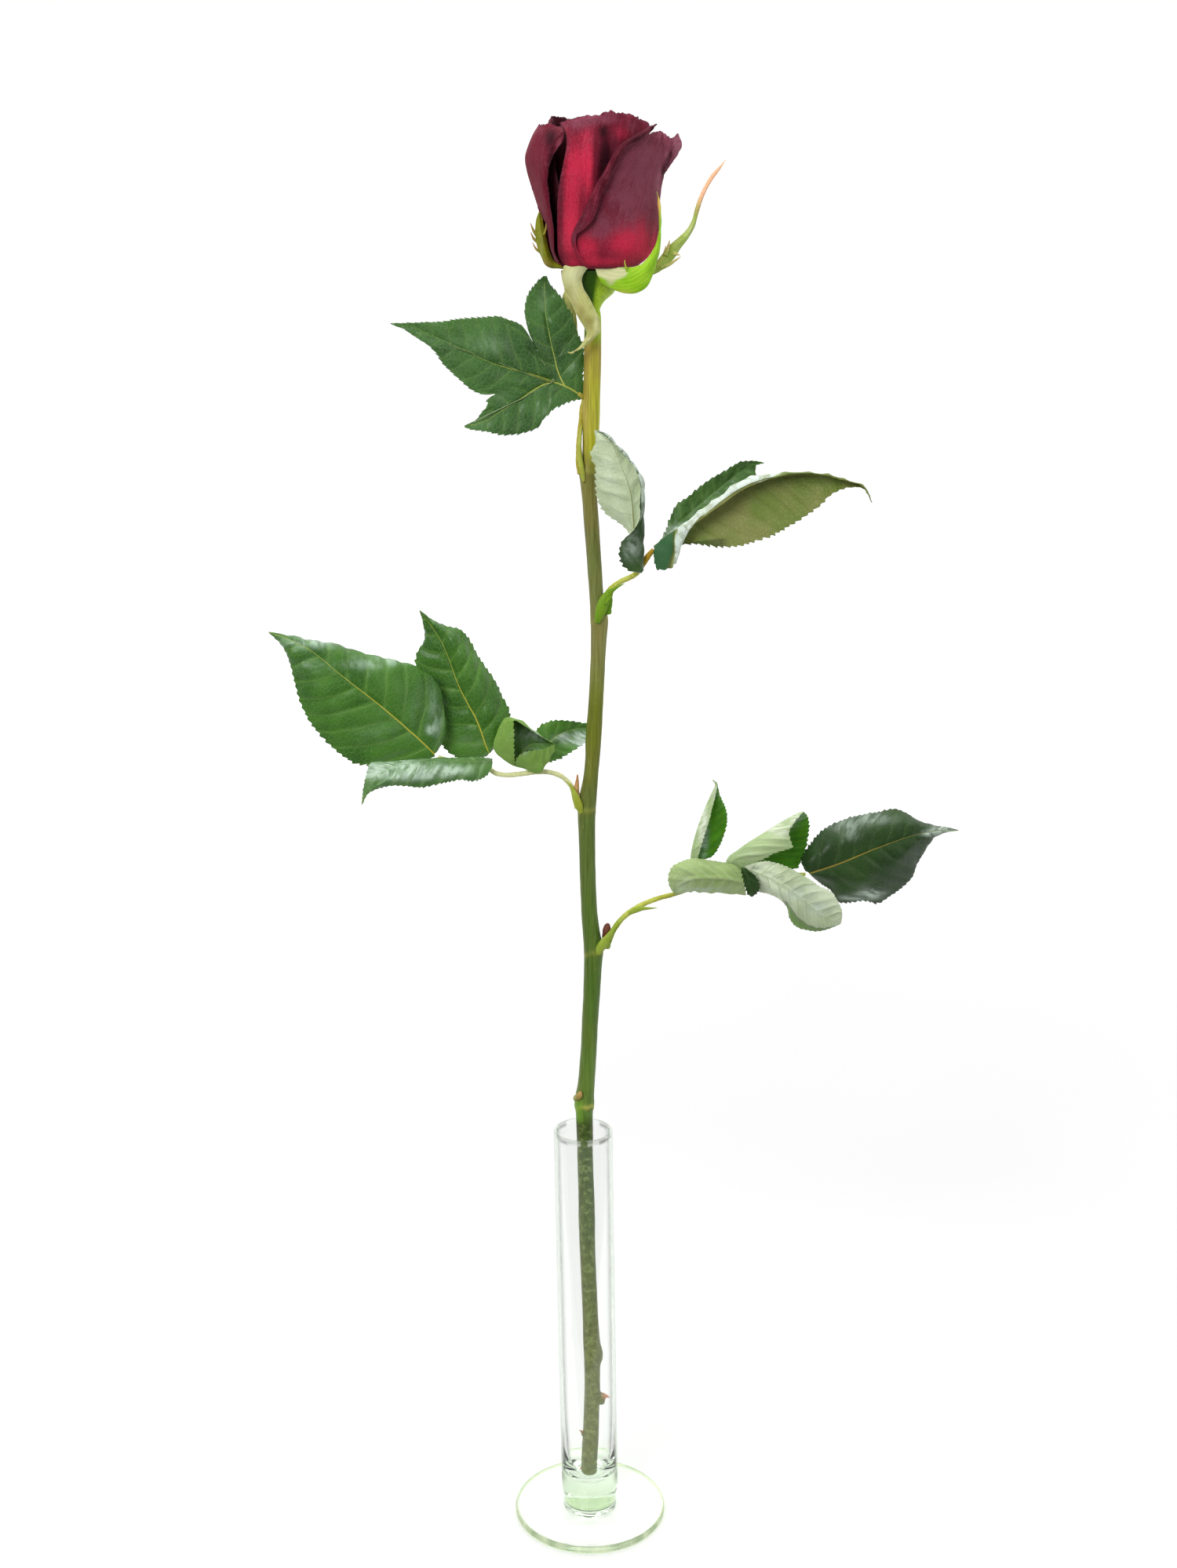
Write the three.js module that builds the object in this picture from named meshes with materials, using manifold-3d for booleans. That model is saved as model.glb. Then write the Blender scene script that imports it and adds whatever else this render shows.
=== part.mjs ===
// A cut rose standing in a bud vase. Millimetres, +Z up.
// The origin is the centre of the underside of the vase's foot; the table is z = 0.
// The flower faces -Y: leaves spread to -X and +X in steps up the stem.
import * as THREE from "three";
import { mergeVertices } from "three/addons/utils/BufferGeometryUtils.js";
import Module from "manifold-3d";

// ---------- driving dimensions (mm) ----------
const VASE_HEIGHT = 200; // top of the rim
const FOOT_RADIUS = 36.15;
const FOOT_THICKNESS = 3.6;
const TUBE_RADIUS = 13.6; // outside
const BORE_RADIUS = 12.05; // inside, at the rim
const BORE_FLOOR = 18.9; // height of the bore's rounded floor above the table
const NECK_RADIUS = 12.25; // where the tube is fused to the foot
const TUBE_LEAN = 0.0169; // the tube leans this far to -X for each mm of height
const LEAN_START = 5;
const LEAF_THICKNESS = 0.6;
const PETAL_THICKNESS = 0.6;
const SEPAL_THICKNESS = 0.7;
const VASE_SEGMENTS = 32;
const CLEARANCE = 0.35; // between the stem and what grows out of it
const STEM_SIDES = 8;
const PETIOLE_SIDES = 6;

// ---------- shape tables ----------
// Each blade, petal and sepal is a net of control points, base to tip in rows and
// margin to margin in columns; the stem and petioles are x, y, z, radius.
const NETS = {
  leaflet_b_upright: { rows: 13, cols: 6, at: [21.9,2.4,459.9,22.2,1.4,460.1,22.6,2.3,460.3,22.9,1.2,459.8,23.1,-2.8,459.6,22.4,-5.7,459,20.1,2.6,465.2,20.8,1.1,465.3,21.2,1.9,465.5,22.8,0.8,465.5,19.2,-2.8,464.1,16.1,-5.4,460.6,18.3,2.7,470.5,19.4,0.8,470.4,19.9,1.6,470.8,22.8,0.6,471.2,18.2,-3.1,469.9,12.5,-5.2,466.1,16.3,2.9,475.8,17.9,0.6,475.6,18.8,1.3,476.1,22.7,0.4,477,19.9,-3.6,475.6,13.5,-5.3,472.5,12.5,3.1,479.7,15.8,0.4,480.6,18.4,0.9,481.5,22.9,0.4,482.7,21.9,-3.9,481.2,18,-5.6,477.1,7.8,3.3,482.6,13,0.3,485.1,18,0.6,486.9,22.9,0.4,488.5,22.1,-3.6,487.2,21,-5.3,482.5,4.3,3.3,486.9,10.2,0.4,489.7,17.2,0.6,492.3,22.4,0.7,494.2,22,-3,493.2,21,-4.3,489,2.7,3.4,492.3,8.6,0.4,494.8,15.8,1,497.5,21.4,1.3,499.8,21.2,-1.9,499,21.4,-3.2,495.5,2.3,3.6,497.9,7.3,0.6,500,13.6,1.8,502.4,18.3,2.5,504.5,18.5,-0.3,504,19.8,-1.1,501.5,2,3.9,503.4,6.1,1,505.2,11.6,2.8,507.4,14.8,3.7,508.9,14.8,1.2,508.5,16.1,0.7,506.7,0.2,4.4,508.6,4.5,1.8,510.3,9.4,4,512.1,10.9,4.9,512.9,10.9,2.9,512.7,12,2.4,511.6,2.3,5.2,513.7,3.8,3.6,515.3,6.3,5.5,516.4,6.9,5.7,517,6.8,4.2,516.8,7.3,4.2,515.9,1.7,6.9,518.9,1.7,6.9,518.9,1.7,6.9,518.9,1.7,6.9,518.9,1.7,6.4,518.9,1.7,5.9,518.9] },
  leaflet_b_lateral: { rows: 11, cols: 3, at: [29,4.2,469.5,29.3,4.2,469.2,30,5,468.4,32.1,6.9,474.7,33.1,6.7,473.7,35.8,6.8,470.6,34.4,9,480.6,37.5,8.9,478,41.4,7.6,473.6,37.1,10.2,486.3,42.2,10.5,482,46.8,7.9,477.1,42.5,10.2,490.2,47,11.3,486.2,52.1,7.9,480.7,47.5,9.7,494.6,51.9,11.4,490.4,57.1,7.7,484.7,52.9,8.8,498.4,56.8,10.9,494.5,61.7,7.3,489.1,58.5,7.5,501.7,61.7,9.8,498.6,66.3,6.8,493.6,63.9,5.8,505.1,66.5,7.7,502.3,70.3,5.5,498.4,69.7,3,505.8,70.6,3.7,505.1,70.5,3.1,503.8,73.6,-1.9,505.5,73.6,-1.9,505.5,73.6,-1.9,505.5] },
  leaflet_b_terminal: { rows: 15, cols: 6, at: [26.9,1.6,468.2,26.9,1.6,468.5,26.9,2.6,468.7,27.3,3.6,468.6,28,4.4,467.5,28.3,4.3,467.1,29.1,-0.3,460.2,33.6,-1.8,468,32.5,1.1,474,33.7,3,472.9,35,3.3,469.6,35.3,2.9,469.6,36.3,-3.4,462.6,37.8,-3.9,474.3,38.6,-0.7,478.5,40.2,2.1,477,42,2.1,472.1,42.5,1.2,470.8,38.4,-4.9,470.9,43.1,-5.8,480,44.6,-2.3,483.3,46.4,0.9,481.4,48.7,0.8,475,49.8,-0.5,470.5,42.4,-6.6,478.4,48.9,-7.6,485.3,50.4,-4,488.2,52.2,-0.3,486.3,55.3,-0.7,478.1,57,-2.4,470,49,-8.5,483.9,54.7,-9.3,490.5,56.2,-5.8,493.2,58.3,-1.8,490.9,61.9,-2.3,481.2,64.2,-4.4,470.8,55.9,-10.5,489.1,60.7,-11.1,495.5,62.3,-7.7,497.7,64.5,-3.5,495.2,68.4,-4,484.3,71,-6.5,473.3,62.7,-12.3,494.3,67.6,-13,499,69.2,-10,500.5,71.2,-5.5,498.2,74.9,-5.9,487.4,77.7,-8.6,476,70.3,-14.3,498.3,75,-15,501.2,76.6,-12.3,501.7,78.3,-8,499.9,81.4,-7.9,490.4,83.8,-11,479.7,78.5,-16.4,500.9,82.7,-17,502,84.1,-14.5,502.4,85.5,-10.5,500.9,87.9,-10.2,493.3,89.7,-13.1,483.8,86.9,-18.5,502.4,90.4,-18.9,502.8,91.6,-16.6,502.8,92.8,-13.1,501.2,94.3,-12.5,496.2,95.4,-15.1,488.3,95.5,-20.5,502.2,98.1,-20.9,502.1,99,-18.9,501.9,100,-15.9,500.6,100.9,-15.2,498.3,100.2,-17.6,493.5,103.8,-22.5,500.3,105.7,-22.8,500.2,106.2,-21.1,499.8,106.9,-18.9,498.9,107.6,-18.4,498.3,106.3,-20.1,496.8,112.1,-24.5,497.9,113,-24.6,497.6,113.2,-23.7,497.4,113.5,-22.3,496.9,113.8,-22,496.6,113.1,-23.1,496.6,116.7,-25.5,490.8,116.7,-25.5,490.8,116.7,-25.5,490.8,116.7,-25.5,490.8,116.7,-25.5,490.8,116.7,-25.5,490.8] },
  leaflet_c_terminal: { rows: 13, cols: 6, at: [-67.8,-1,377.6,-67.7,-1,377.8,-68.1,-1,378,-67.7,-1,378.7,-67.5,1.1,378.9,-67.7,2.6,378.6,-76.2,-3.3,375.8,-74.5,-4.3,380.3,-72.6,-3.7,383.6,-69.1,-2.7,386.4,-63.9,1.6,387,-66.4,3.5,387.1,-84.8,-5.4,375.1,-81.2,-7,383.6,-77.7,-5.9,389.1,-72.1,-4.4,393.7,-64.2,1.5,396.1,-66.8,3.9,395.8,-93.5,-7.5,375.4,-88,-9.4,387,-82.9,-7.8,394.5,-76.3,-6.1,400.4,-65.4,1.3,405.2,-69,3.8,404.2,-102.2,-9.5,376.4,-94.6,-11.5,390.7,-88.2,-9.6,399.8,-81.4,-7.7,406.5,-69.9,0.4,413,-74.2,3,411.1,-109.2,-10.9,381.5,-100.8,-13.2,395.3,-93.8,-11.1,405,-87,-9.1,412.1,-77.4,-0.9,417.7,-81.6,1.6,415.6,-115.3,-12,388,-106.6,-14.5,400.6,-99.6,-12.4,410,-93.3,-10.4,417,-86,-2.4,420.5,-89.6,0.1,418.6,-120.6,-12.9,395.1,-112,-15.5,406.3,-105.4,-13.3,415,-100.1,-11.4,421.2,-94.6,-3.9,423.2,-97.7,-1.5,421.7,-124.3,-13.4,403.2,-116.9,-16.1,412.5,-111.1,-14,420.2,-107.2,-12.2,425,-103.1,-5.4,426.1,-105.6,-3.2,424.9,-126.5,-13.6,411.9,-121.2,-16.2,419.2,-116.9,-14.3,425.3,-114.4,-12.8,428.5,-111.7,-6.9,428.9,-113.6,-4.9,428.1,-128.3,-13.6,420.6,-125.5,-15.8,425.8,-123.4,-14.3,429.5,-122.1,-13.2,431,-120.5,-8.5,430.8,-121.8,-6.8,430.1,-131.5,-13.4,428.9,-131,-14.7,431.4,-130.4,-14,432.6,-129.9,-13.3,433.2,-129.2,-10.2,432.8,-130,-9,432.3,-137.7,-13,435.2,-137.7,-13,435.2,-137.7,-13,435.2,-137.7,-13,435.2,-137.9,-12,435,-137.9,-11.5,434.9] },
  leaflet_c_upper: { rows: 13, cols: 5, at: [-45.5,8.2,375.4,-45,6.3,376.3,-44.9,5.3,376.9,-44.6,5.4,377.2,-44.4,8.4,376.8,-52.7,8.3,374.7,-48.7,6.2,381,-46.8,5.5,382.5,-42.5,5.5,383.1,-40.1,9.8,382.3,-59.9,8.5,375.2,-52,6.1,386,-48.6,5.6,388.2,-42.3,5.5,389.4,-36.8,11,388.4,-65.3,8.8,379.7,-54.8,6,391.4,-50.8,5.6,393.8,-43.8,5.3,395.5,-36,11.9,395.2,-67.9,9.1,386.5,-57.3,6,396.8,-53.6,5.6,399,-46.3,5,401.2,-39,12.4,401.6,-69.8,9.2,393.5,-60,6,402.2,-56.3,5.7,404.4,-49.2,4.8,406.8,-41.8,12.7,408.1,-71.9,9.2,400.4,-62.5,6,407.7,-58.7,5.7,409.8,-51.9,4.8,412.5,-45.7,12.7,413.9,-74.1,9.1,407.4,-64.9,5.9,413.2,-60.5,5.9,415.5,-54.4,4.9,418.2,-49.5,12.4,419.9,-76.6,8.8,414.2,-67,5.9,418.8,-62.5,6,421.1,-57,5.1,424,-52.7,12.1,426.2,-76.3,8.6,421.3,-68.8,6,424.6,-64.8,6.1,426.6,-60.4,5.5,429.2,-56.7,11.2,431.6,-72.8,8.6,427.6,-70.7,6,430.3,-67.7,6.1,431.8,-65.3,5.6,433.1,-63.3,9.9,433.7,-72.8,7.5,434.8,-72.2,6.1,436.1,-71.1,6,436.8,-70.2,5.7,437.1,-69.4,8.4,437,-74.6,6,441.6,-74.6,6,441.6,-74.6,6,441.6,-74.6,6,441.6,-74.7,7,441.5] },
  leaflet_c_lower: { rows: 12, cols: 5, at: [-42.9,-2.5,373.4,-42.9,-1.5,373.8,-42.6,-0.4,374.6,-42.6,-0.4,375.4,-42.6,-0.4,376.2,-46.1,-6.1,369.7,-47.4,-5.5,372.5,-47.8,-3.9,374.6,-47.9,-3.9,376.2,-48.7,-3,377.6,-51.1,-9.3,368.5,-52.3,-9.1,372.3,-53.1,-7,375.1,-53.5,-6.7,376.9,-55.2,-5,377.9,-56.5,-12,369.7,-57.7,-12.1,372.9,-58.6,-9.8,376.1,-59.4,-9.2,377.6,-61.8,-6.8,378.2,-62.2,-14,369.2,-63.3,-14.5,373.5,-64.1,-12.3,377.4,-65.3,-11.4,378.2,-68.4,-8.5,378.4,-68,-15.7,368.3,-69.1,-16.6,373.9,-69.8,-14.5,378.1,-71.3,-13.4,378.5,-75,-10.2,378.5,-73.9,-17.2,367.5,-74.9,-18.3,373.4,-75.7,-16.4,377.4,-77.4,-15.2,378.1,-81.7,-11.8,378.3,-79.8,-18.4,368.5,-80.9,-19.7,373,-81.5,-17.9,375.6,-83.5,-16.9,377.2,-88.3,-13.5,378.1,-85.8,-19.5,368.9,-86.8,-20.6,371.6,-87,-18.9,372.9,-89.4,-18.3,375.3,-94.8,-15.4,378.1,-91.7,-20.2,367.7,-92.4,-21,369,-92.1,-19.5,369.5,-94.1,-19.1,371.2,-96.9,-16.8,373,-97.1,-20.3,364.9,-96.8,-20.2,364.9,-96.5,-19.4,365.1,-97.2,-19,365.6,-98.3,-17.6,366.4,-99.1,-18.1,359.7,-99.1,-18.1,359.7,-99.1,-18.1,359.7,-99.1,-18.1,359.7,-99.1,-18.1,359.7] },
  leaflet_c_small_front: { rows: 9, cols: 5, at: [-33.4,2.8,372.4,-33.8,2.8,372.1,-33.5,3.8,372.2,-33.1,2.9,372.1,-33,1.9,373,-33.4,-0.7,377.3,-38.7,1,376.3,-32.5,5.5,374.5,-30,2,371.4,-32.7,-0.3,375.6,-33.4,-2.7,382.9,-42.6,-0.1,381.5,-31,6.8,376.7,-27,1.4,370.3,-31.3,-2.1,378,-33.3,-3.8,388.7,-40.5,0,387.8,-29.1,7.9,378.7,-23.9,1.1,369.2,-28.6,-3,379.9,-33.3,-3.5,394.2,-36.9,0.7,393.4,-26.7,8.7,380.2,-21,1.4,370.6,-25.3,-3,380.5,-28.6,-1.3,391.2,-31.5,1.8,393.1,-23.9,9.1,380.9,-19.4,1.9,373.3,-22.1,-1.9,380.7,-24.1,0.7,387.7,-26.2,3.1,389.1,-20.9,8.8,381,-17.8,2.9,376,-19.4,0,381.1,-19.8,3.1,384.4,-21,4.5,385.1,-18.2,7.8,381.3,-16.4,4.3,378.7,-17.2,2.6,381.4,-15.7,6.1,381.3,-15.7,6.1,381.3,-15.7,6.1,381.3,-15.7,6.1,381.3,-15.7,5.6,381.4] },
  leaflet_c_small_back: { rows: 9, cols: 4, at: [-22.6,13.2,372.8,-22.2,14.3,372.6,-21.9,15.3,371.9,-21.9,13.3,372.1,-24,13.5,378.4,-20.6,15.5,376.2,-19.4,16.8,374.3,-18.2,14.2,371.4,-24.9,14,384.1,-18.6,16.8,379.6,-16.8,18.2,376.5,-14.6,15.2,372.3,-21.7,15.3,388.1,-15.6,18.5,381.8,-13.8,19.7,378.2,-11.2,16.1,373.9,-16.4,16.8,389.7,-12.1,19.9,383.6,-10.5,21,379.3,-7.9,17,375.7,-10.8,18.2,389.4,-8.2,21.1,384.6,-7.2,22,380.4,-4.7,18.1,377.6,-5.3,19.6,388.4,-4.2,22.1,385.2,-3.7,22.8,381.6,-1.6,19.4,379.5,0,21.2,386.7,-0.2,22.9,384.8,-0.2,23.4,382.5,1.4,21.1,381.2,3.5,23.7,383.1,3.5,23.7,383.1,3.5,23.7,383.1,3.5,23.7,383.1] },
  leaflet_d_upright: { rows: 11, cols: 5, at: [48.7,13.5,326.2,47.7,14.3,326,46.7,16.1,325.5,48.8,15.5,325.7,51.4,16,325.2,49.5,12.1,330.1,48.1,13.3,329.9,47.2,16.1,329.5,51.6,16.3,328.5,55.5,17.9,326.2,50.4,11.1,334,48.8,12.7,333.8,47.9,16.2,333.5,53.4,16.7,332.1,58.4,19.4,329.6,51.4,10.3,338,49.6,12.3,337.8,48.9,16.4,337.4,54.7,17.1,336,60.3,20.4,333.6,52.6,9.7,341.9,50.8,12.1,341.6,50,16.5,341.2,55.7,17.3,339.9,61.7,21,338.1,53.6,9.3,345.9,52,11.9,345.4,51.2,16.7,345.1,56.6,17.4,343.9,62.4,21.4,342.7,54.4,9.2,350,53.2,11.9,349.3,52.6,16.8,348.9,57.2,17.5,347.9,61.7,21.2,347.3,55.5,9.4,354,54.5,12.1,353.1,54,16.9,352.6,57.5,17.4,352,60,20.6,351.6,56.4,10.3,357.9,55.7,12.5,356.9,55.5,17,356.4,57.4,17.2,356.1,58.2,19.5,355.7,57,12.4,361.4,56.9,13.5,360.7,56.8,16.8,360.2,57.2,16.7,360.1,57.4,18,360.1,55,15.4,362.9,55,15.4,362.9,55,15.4,362.9,55,15.4,362.9,55,15.4,362.9] },
  leaflet_d_rolled: { rows: 11, cols: 6, at: [69.2,15.2,321.3,69.4,12.2,319.6,70,10.3,315.7,71.1,13.3,310.3,71.5,16.2,308.3,71.3,20.2,310,65,14,323.6,65.6,10.6,321.7,66.6,8.7,317.3,67.8,11.8,311.2,68.2,15.6,308.6,67.8,20.4,310.5,60.3,12.8,324.7,61.5,9,323.2,63,7.2,318.6,64.4,10.6,312,65,15,309.1,64.3,20.3,310.9,55.5,11.8,325.8,57.1,7.7,324,59.1,6,319.4,61,9.6,312.9,61.7,14.3,309.6,60.8,20,311.4,50.8,10.8,326.9,52.7,6.6,324.6,55.1,5.1,320,57.5,8.7,313.6,58.4,13.8,310.1,57.2,19.6,311.8,45.9,10,327.4,48.1,5.7,324.8,51,4.4,320.2,53.9,8,314.1,55.1,13.2,310.6,53.8,19.1,312.2,41.2,9.2,326.3,43.6,5.1,324.1,46.9,4.1,319.9,50.3,7.4,314.4,51.7,12.6,310.9,50.3,18.5,312.4,37,8.8,323.6,39.7,5.3,321.7,43,4.6,318.8,46.6,7,314.3,48.4,12.1,311.2,46.8,17.7,312.2,35.4,9,319,37.8,6.3,317.7,40.1,6.2,316.3,43,7.3,313.4,45.1,11.6,311.2,43.5,16.6,311.4,36.2,9.7,314.2,37.5,8.2,313.5,38.8,8.6,313.3,40,8.5,311.7,41.7,11.2,310.9,40.6,15,310.2,38.5,11.3,310.2,38.5,11.3,310.2,38.5,11.3,310.2,38.5,11.3,310.1,38.5,11.3,310,38.5,12.3,309.8] },
  leaflet_d_upper: { rows: 12, cols: 5, at: [69.2,15.2,321.3,67.2,15.8,321.1,66.6,17.6,320.6,68.8,19,319.8,70.8,20.3,319,72.8,14.1,323.1,67.9,14,324.5,63,16.4,322.7,71.2,20.5,322.4,75.7,22.1,320.5,76.4,13.3,325.1,70.2,12.8,327.3,63.9,15.9,326,74.6,21.5,323.7,80.7,23.8,321.4,80,12.7,327.3,73.5,12.3,329.4,67.3,16.2,328.6,78.1,22.3,325.1,85.7,25.3,319.9,83.6,12.5,329.4,76.8,12.1,331.6,70.8,16.5,331.3,81.5,22.9,326.9,90.6,26.6,317.9,87.5,12.5,330.7,80,12.1,333.8,74.4,16.9,333.7,84.7,23.4,328.9,95.6,28,317.7,91.3,12.7,331.9,83.3,12.3,335.9,78.2,17.3,336,87.8,23.8,331.1,97.9,28.6,322.5,90.5,12.8,335.6,86.4,12.9,338.2,81.8,17.8,338.4,90.6,23.8,333.7,99.5,28.4,327.7,89.9,13.5,339.2,89,13.9,340.9,85.4,18.3,340.8,92.9,23.5,336.8,100.2,27.9,333,92.1,15,342.4,91.5,15.4,343.5,89.1,18.8,343.1,94.6,22.8,340.1,100.4,26.6,338.3,94.5,17,345.2,94.3,17.4,345.5,92.9,19.3,345.2,95.9,21.5,343.5,99.3,24.4,343.1,96.9,19.9,346.8,96.9,19.9,346.8,96.9,19.9,346.8,96.9,19.9,346.8,97,20.9,346.6] },
  leaflet_d_lower: { rows: 12, cols: 5, at: [69.6,11.4,323.2,70,11.4,322.8,70,11.4,322.4,70.4,11.5,322,70.4,12,321.5,74.8,11,325.1,74.8,9.9,323.4,74.5,9.9,321.4,74,9.6,319.2,72.7,10.8,316.7,80.3,10.8,325.9,79.7,8.7,322.8,79,8.7,319.9,78,8.1,316.7,75.8,10.2,312.3,85.7,11.1,324.6,84.5,8,321.2,83.4,7.9,317.8,82.3,7.2,314.2,80.9,10.2,310.7,90.7,11.4,322.3,89.2,7.7,319.1,87.6,7.4,315.4,86.5,6.7,311.6,85.8,10.3,308.3,95.6,11.7,319.6,93.7,7.6,316.7,91.7,7.1,312.6,90.2,6.2,308.3,89.5,10.1,304.4,100.2,12.1,316.6,98,7.7,314,95.5,7,309.6,93.6,6.2,304.6,90.8,9.4,299.3,104.8,12.4,313.4,102.2,7.9,311,99.2,7.1,306.4,97.1,6.5,301,94,9.2,295.4,109.7,12.8,310.9,106.1,8.4,307.8,102.9,7.7,303.2,100.9,7.2,298,99.1,9.8,293.6,112.9,12.7,306.4,109.6,9.2,304.2,106.7,8.6,300.2,105.4,8.5,296.3,104.5,10.5,292.8,114.9,12.6,301.2,112.4,10.4,300.1,110.6,10.1,297.7,110.1,10.2,295.7,109.7,11.3,294,114.7,12.1,295.9,114.7,12.1,295.9,114.7,12.1,295.9,114.7,12.1,295.9,114.7,12.1,295.9] },
  leaflet_d_base_lobe: { rows: 7, cols: 3, at: [68.4,9.2,323.1,69.1,9.3,323.2,69.7,8.4,323.7,68.6,7.7,321,70.1,7.4,321.7,71.6,5.3,323,69,6.9,318.7,71.1,6.1,319.7,73.8,2.8,321.7,69.6,6.4,316.3,72.1,5.4,317.4,75.6,2,318.8,70.3,6.1,313.9,73,5.3,315,76.2,3.1,315.4,71.3,6.3,311.6,73.5,5.9,312.5,75.1,5.1,312.6,73.3,7.3,310.3,73.3,7.3,310.3,73.3,7.3,310.3] },
  leaflet_d_terminal: { rows: 15, cols: 5, at: [99.1,22.6,317.2,99.7,21.7,317.1,100.1,21.8,316.7,100.8,21.9,316.3,101.5,23.9,315.3,97.1,24.3,323,101.7,21.5,322.5,105.3,22,318.2,106.3,22,315.3,106.5,25.6,311,100.4,26.7,328,106.1,22,326.2,110.4,22.3,319.9,111.7,22.3,314.2,111.7,27.3,306.8,104.4,28.6,332.9,111,22.6,329.2,115.5,22.8,321.7,117.2,22.8,313.6,115.1,28.6,301.2,109.5,30.3,336.7,116.1,23.4,331.9,120.5,23.3,323.6,122.7,23.4,313.8,121.2,30.4,300.3,115.4,31.8,339.1,121.3,24.3,334.1,125.5,24,325.6,128.1,24.2,314.8,127.8,32,300.6,121.6,33.1,340.8,126.8,25.3,335.8,130.5,24.8,327.5,133.2,25,316.8,134.3,33.4,299,128,34.4,341.8,132.3,26.3,337.2,135.5,25.7,329.1,138.1,25.9,319.3,140.1,34.5,301.9,134.4,35.5,342.6,137.9,27.4,338.1,140.6,26.7,330.8,142.6,26.9,322.4,145.6,35.6,305.8,140.8,36.4,343.7,143.6,28.6,338.4,145.7,27.9,332.3,146.9,28,325.7,150.4,36.2,310.6,146.8,36.7,341.5,149.2,29.8,337.7,150.8,29.1,333.5,151.1,29.1,329.3,152.5,36.3,317.1,152.3,36.9,337.9,154.7,31.1,336.4,155.9,30.4,334.2,155.7,30.4,332,155.7,36.3,323.1,158.5,36.8,335.8,160.2,32.5,335.3,161.1,31.9,334.5,160.8,31.9,333.5,158.8,36,329.2,165,36.5,334.9,165.8,33.9,334.4,166.3,33.5,334.1,166.1,33.5,333.7,164.6,35.6,332.4,171.4,35.3,333.6,171.4,35.3,333.6,171.4,35.3,333.6,171.4,35.3,333.6,171.4,35.3,333.6] },
  petal_front: { rows: 15, cols: 9, at: [-1.4,-1,586.4,-1.7,-0.9,586.4,-2.4,-0.5,586.4,-1.4,-0.6,586.2,4.1,-0.8,585.8,9.6,1,585.5,14.6,4.3,585.5,18.3,8.4,585.9,20.8,19.6,587,-3.8,-3.4,589.9,-4.7,-3.1,590.1,-5.9,-2.2,590.5,-3.9,-2.5,589.9,3.8,-3.3,589.5,10.5,-2.3,589,16.6,1.7,588.4,21.8,9.4,588.1,23.8,20.6,589.9,-5.7,-4.5,594.1,-6.8,-4.2,594.6,-7.8,-3.1,595.7,-5.7,-3.2,594.3,3.7,-5.7,593.4,11.6,-4.9,592.9,18.5,-0.3,591.8,24.6,10.9,590.9,26,21.6,593.5,-5.6,-5.9,598.1,-6.3,-6,599.2,-6.6,-5.3,600.6,-5.4,-4.4,598.8,4.2,-7.1,597.6,13.1,-5.6,597.5,20.4,-0.5,595.7,26.7,12.8,594.2,26.8,22.3,597.7,-2.2,-8.3,600.7,-3.6,-8.4,603,-4,-7.8,605,-3.2,-6.3,602.6,5.1,-7.7,602,14.6,-5.7,602.1,21.9,0,599.8,27.8,14.7,597.8,27.1,22.7,602,0.9,-10,604,-1.2,-10.6,607.1,-1.9,-10.1,609.6,-0.8,-8,606.5,6.5,-8.5,606.3,16.1,-5.7,606.7,23.1,0.7,604,28.4,14.8,602,27.3,22.7,606.3,2.8,-11.4,608.2,0.8,-12.4,611.5,0.7,-11.8,614.4,1.3,-9.4,610.5,8.2,-9.2,610.5,17.7,-5.4,611.3,24.1,1.5,608.2,28.6,14.3,606.2,27.6,22.5,610.7,4.2,-12.7,612.6,3.1,-13.7,616,3.2,-13,619.3,3.4,-10.5,614.7,10.1,-9.4,614.6,19.2,-4.8,615.9,25,2.2,612.4,28.6,13.9,610.4,28,21.8,614.9,6,-13.5,617.1,5.5,-14.6,620.6,6.3,-13.7,623.9,5.5,-11.1,619,12.1,-9.4,618.6,20.8,-4.1,620.4,25.8,2.9,616.6,28.8,14.7,614.6,28.8,19.7,618.6,8.2,-14,621.3,8.3,-15,624.9,9.1,-13.7,628.8,8,-11.5,623.1,14.3,-9.1,622.6,22.4,-3,624.8,26.6,3.5,620.9,29,13,618.3,29.6,16.9,621.8,10.4,-14.2,625.6,10.9,-14.8,629.4,12.3,-12.7,633.2,10.6,-11.4,627.2,16.5,-8.5,626.5,24.2,-1.5,629.1,27.5,3.8,625.2,29.4,9.9,621.2,31.5,14.7,625,12.5,-13.7,629.9,14.3,-13.5,633.1,16.6,-10.3,636,13.1,-10.5,631.2,18.9,-7.1,630.1,25.8,1.1,632.9,28.5,5.5,629.1,30.2,9.5,625.2,34.3,13.6,628.1,15.9,-12.1,632.9,18.2,-11,635.5,20.6,-7.1,638.4,16.8,-8.6,633.6,21.3,-4.9,633.3,27.2,4.4,636.1,29.6,8.1,632.5,31.3,9.4,629.3,36.5,13,631.8,19.5,-9.6,634.9,21.7,-7.8,637.6,23.7,-2.9,640.2,20.4,-5.8,635.1,23.3,-1.9,636.1,28.1,8.7,638.3,30.5,10.9,635.7,32.6,8.5,633.3,37.7,10.9,635.2,22.4,-6.5,637.2,24.7,-4.2,639.9,26.8,1.6,642.1,23.5,-2.6,636.9,25.2,1.3,638.7,28.8,13.1,640.1,31.4,13.9,638.8,33.8,7.8,637.4,36.4,9.8,639.2] },
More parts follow.
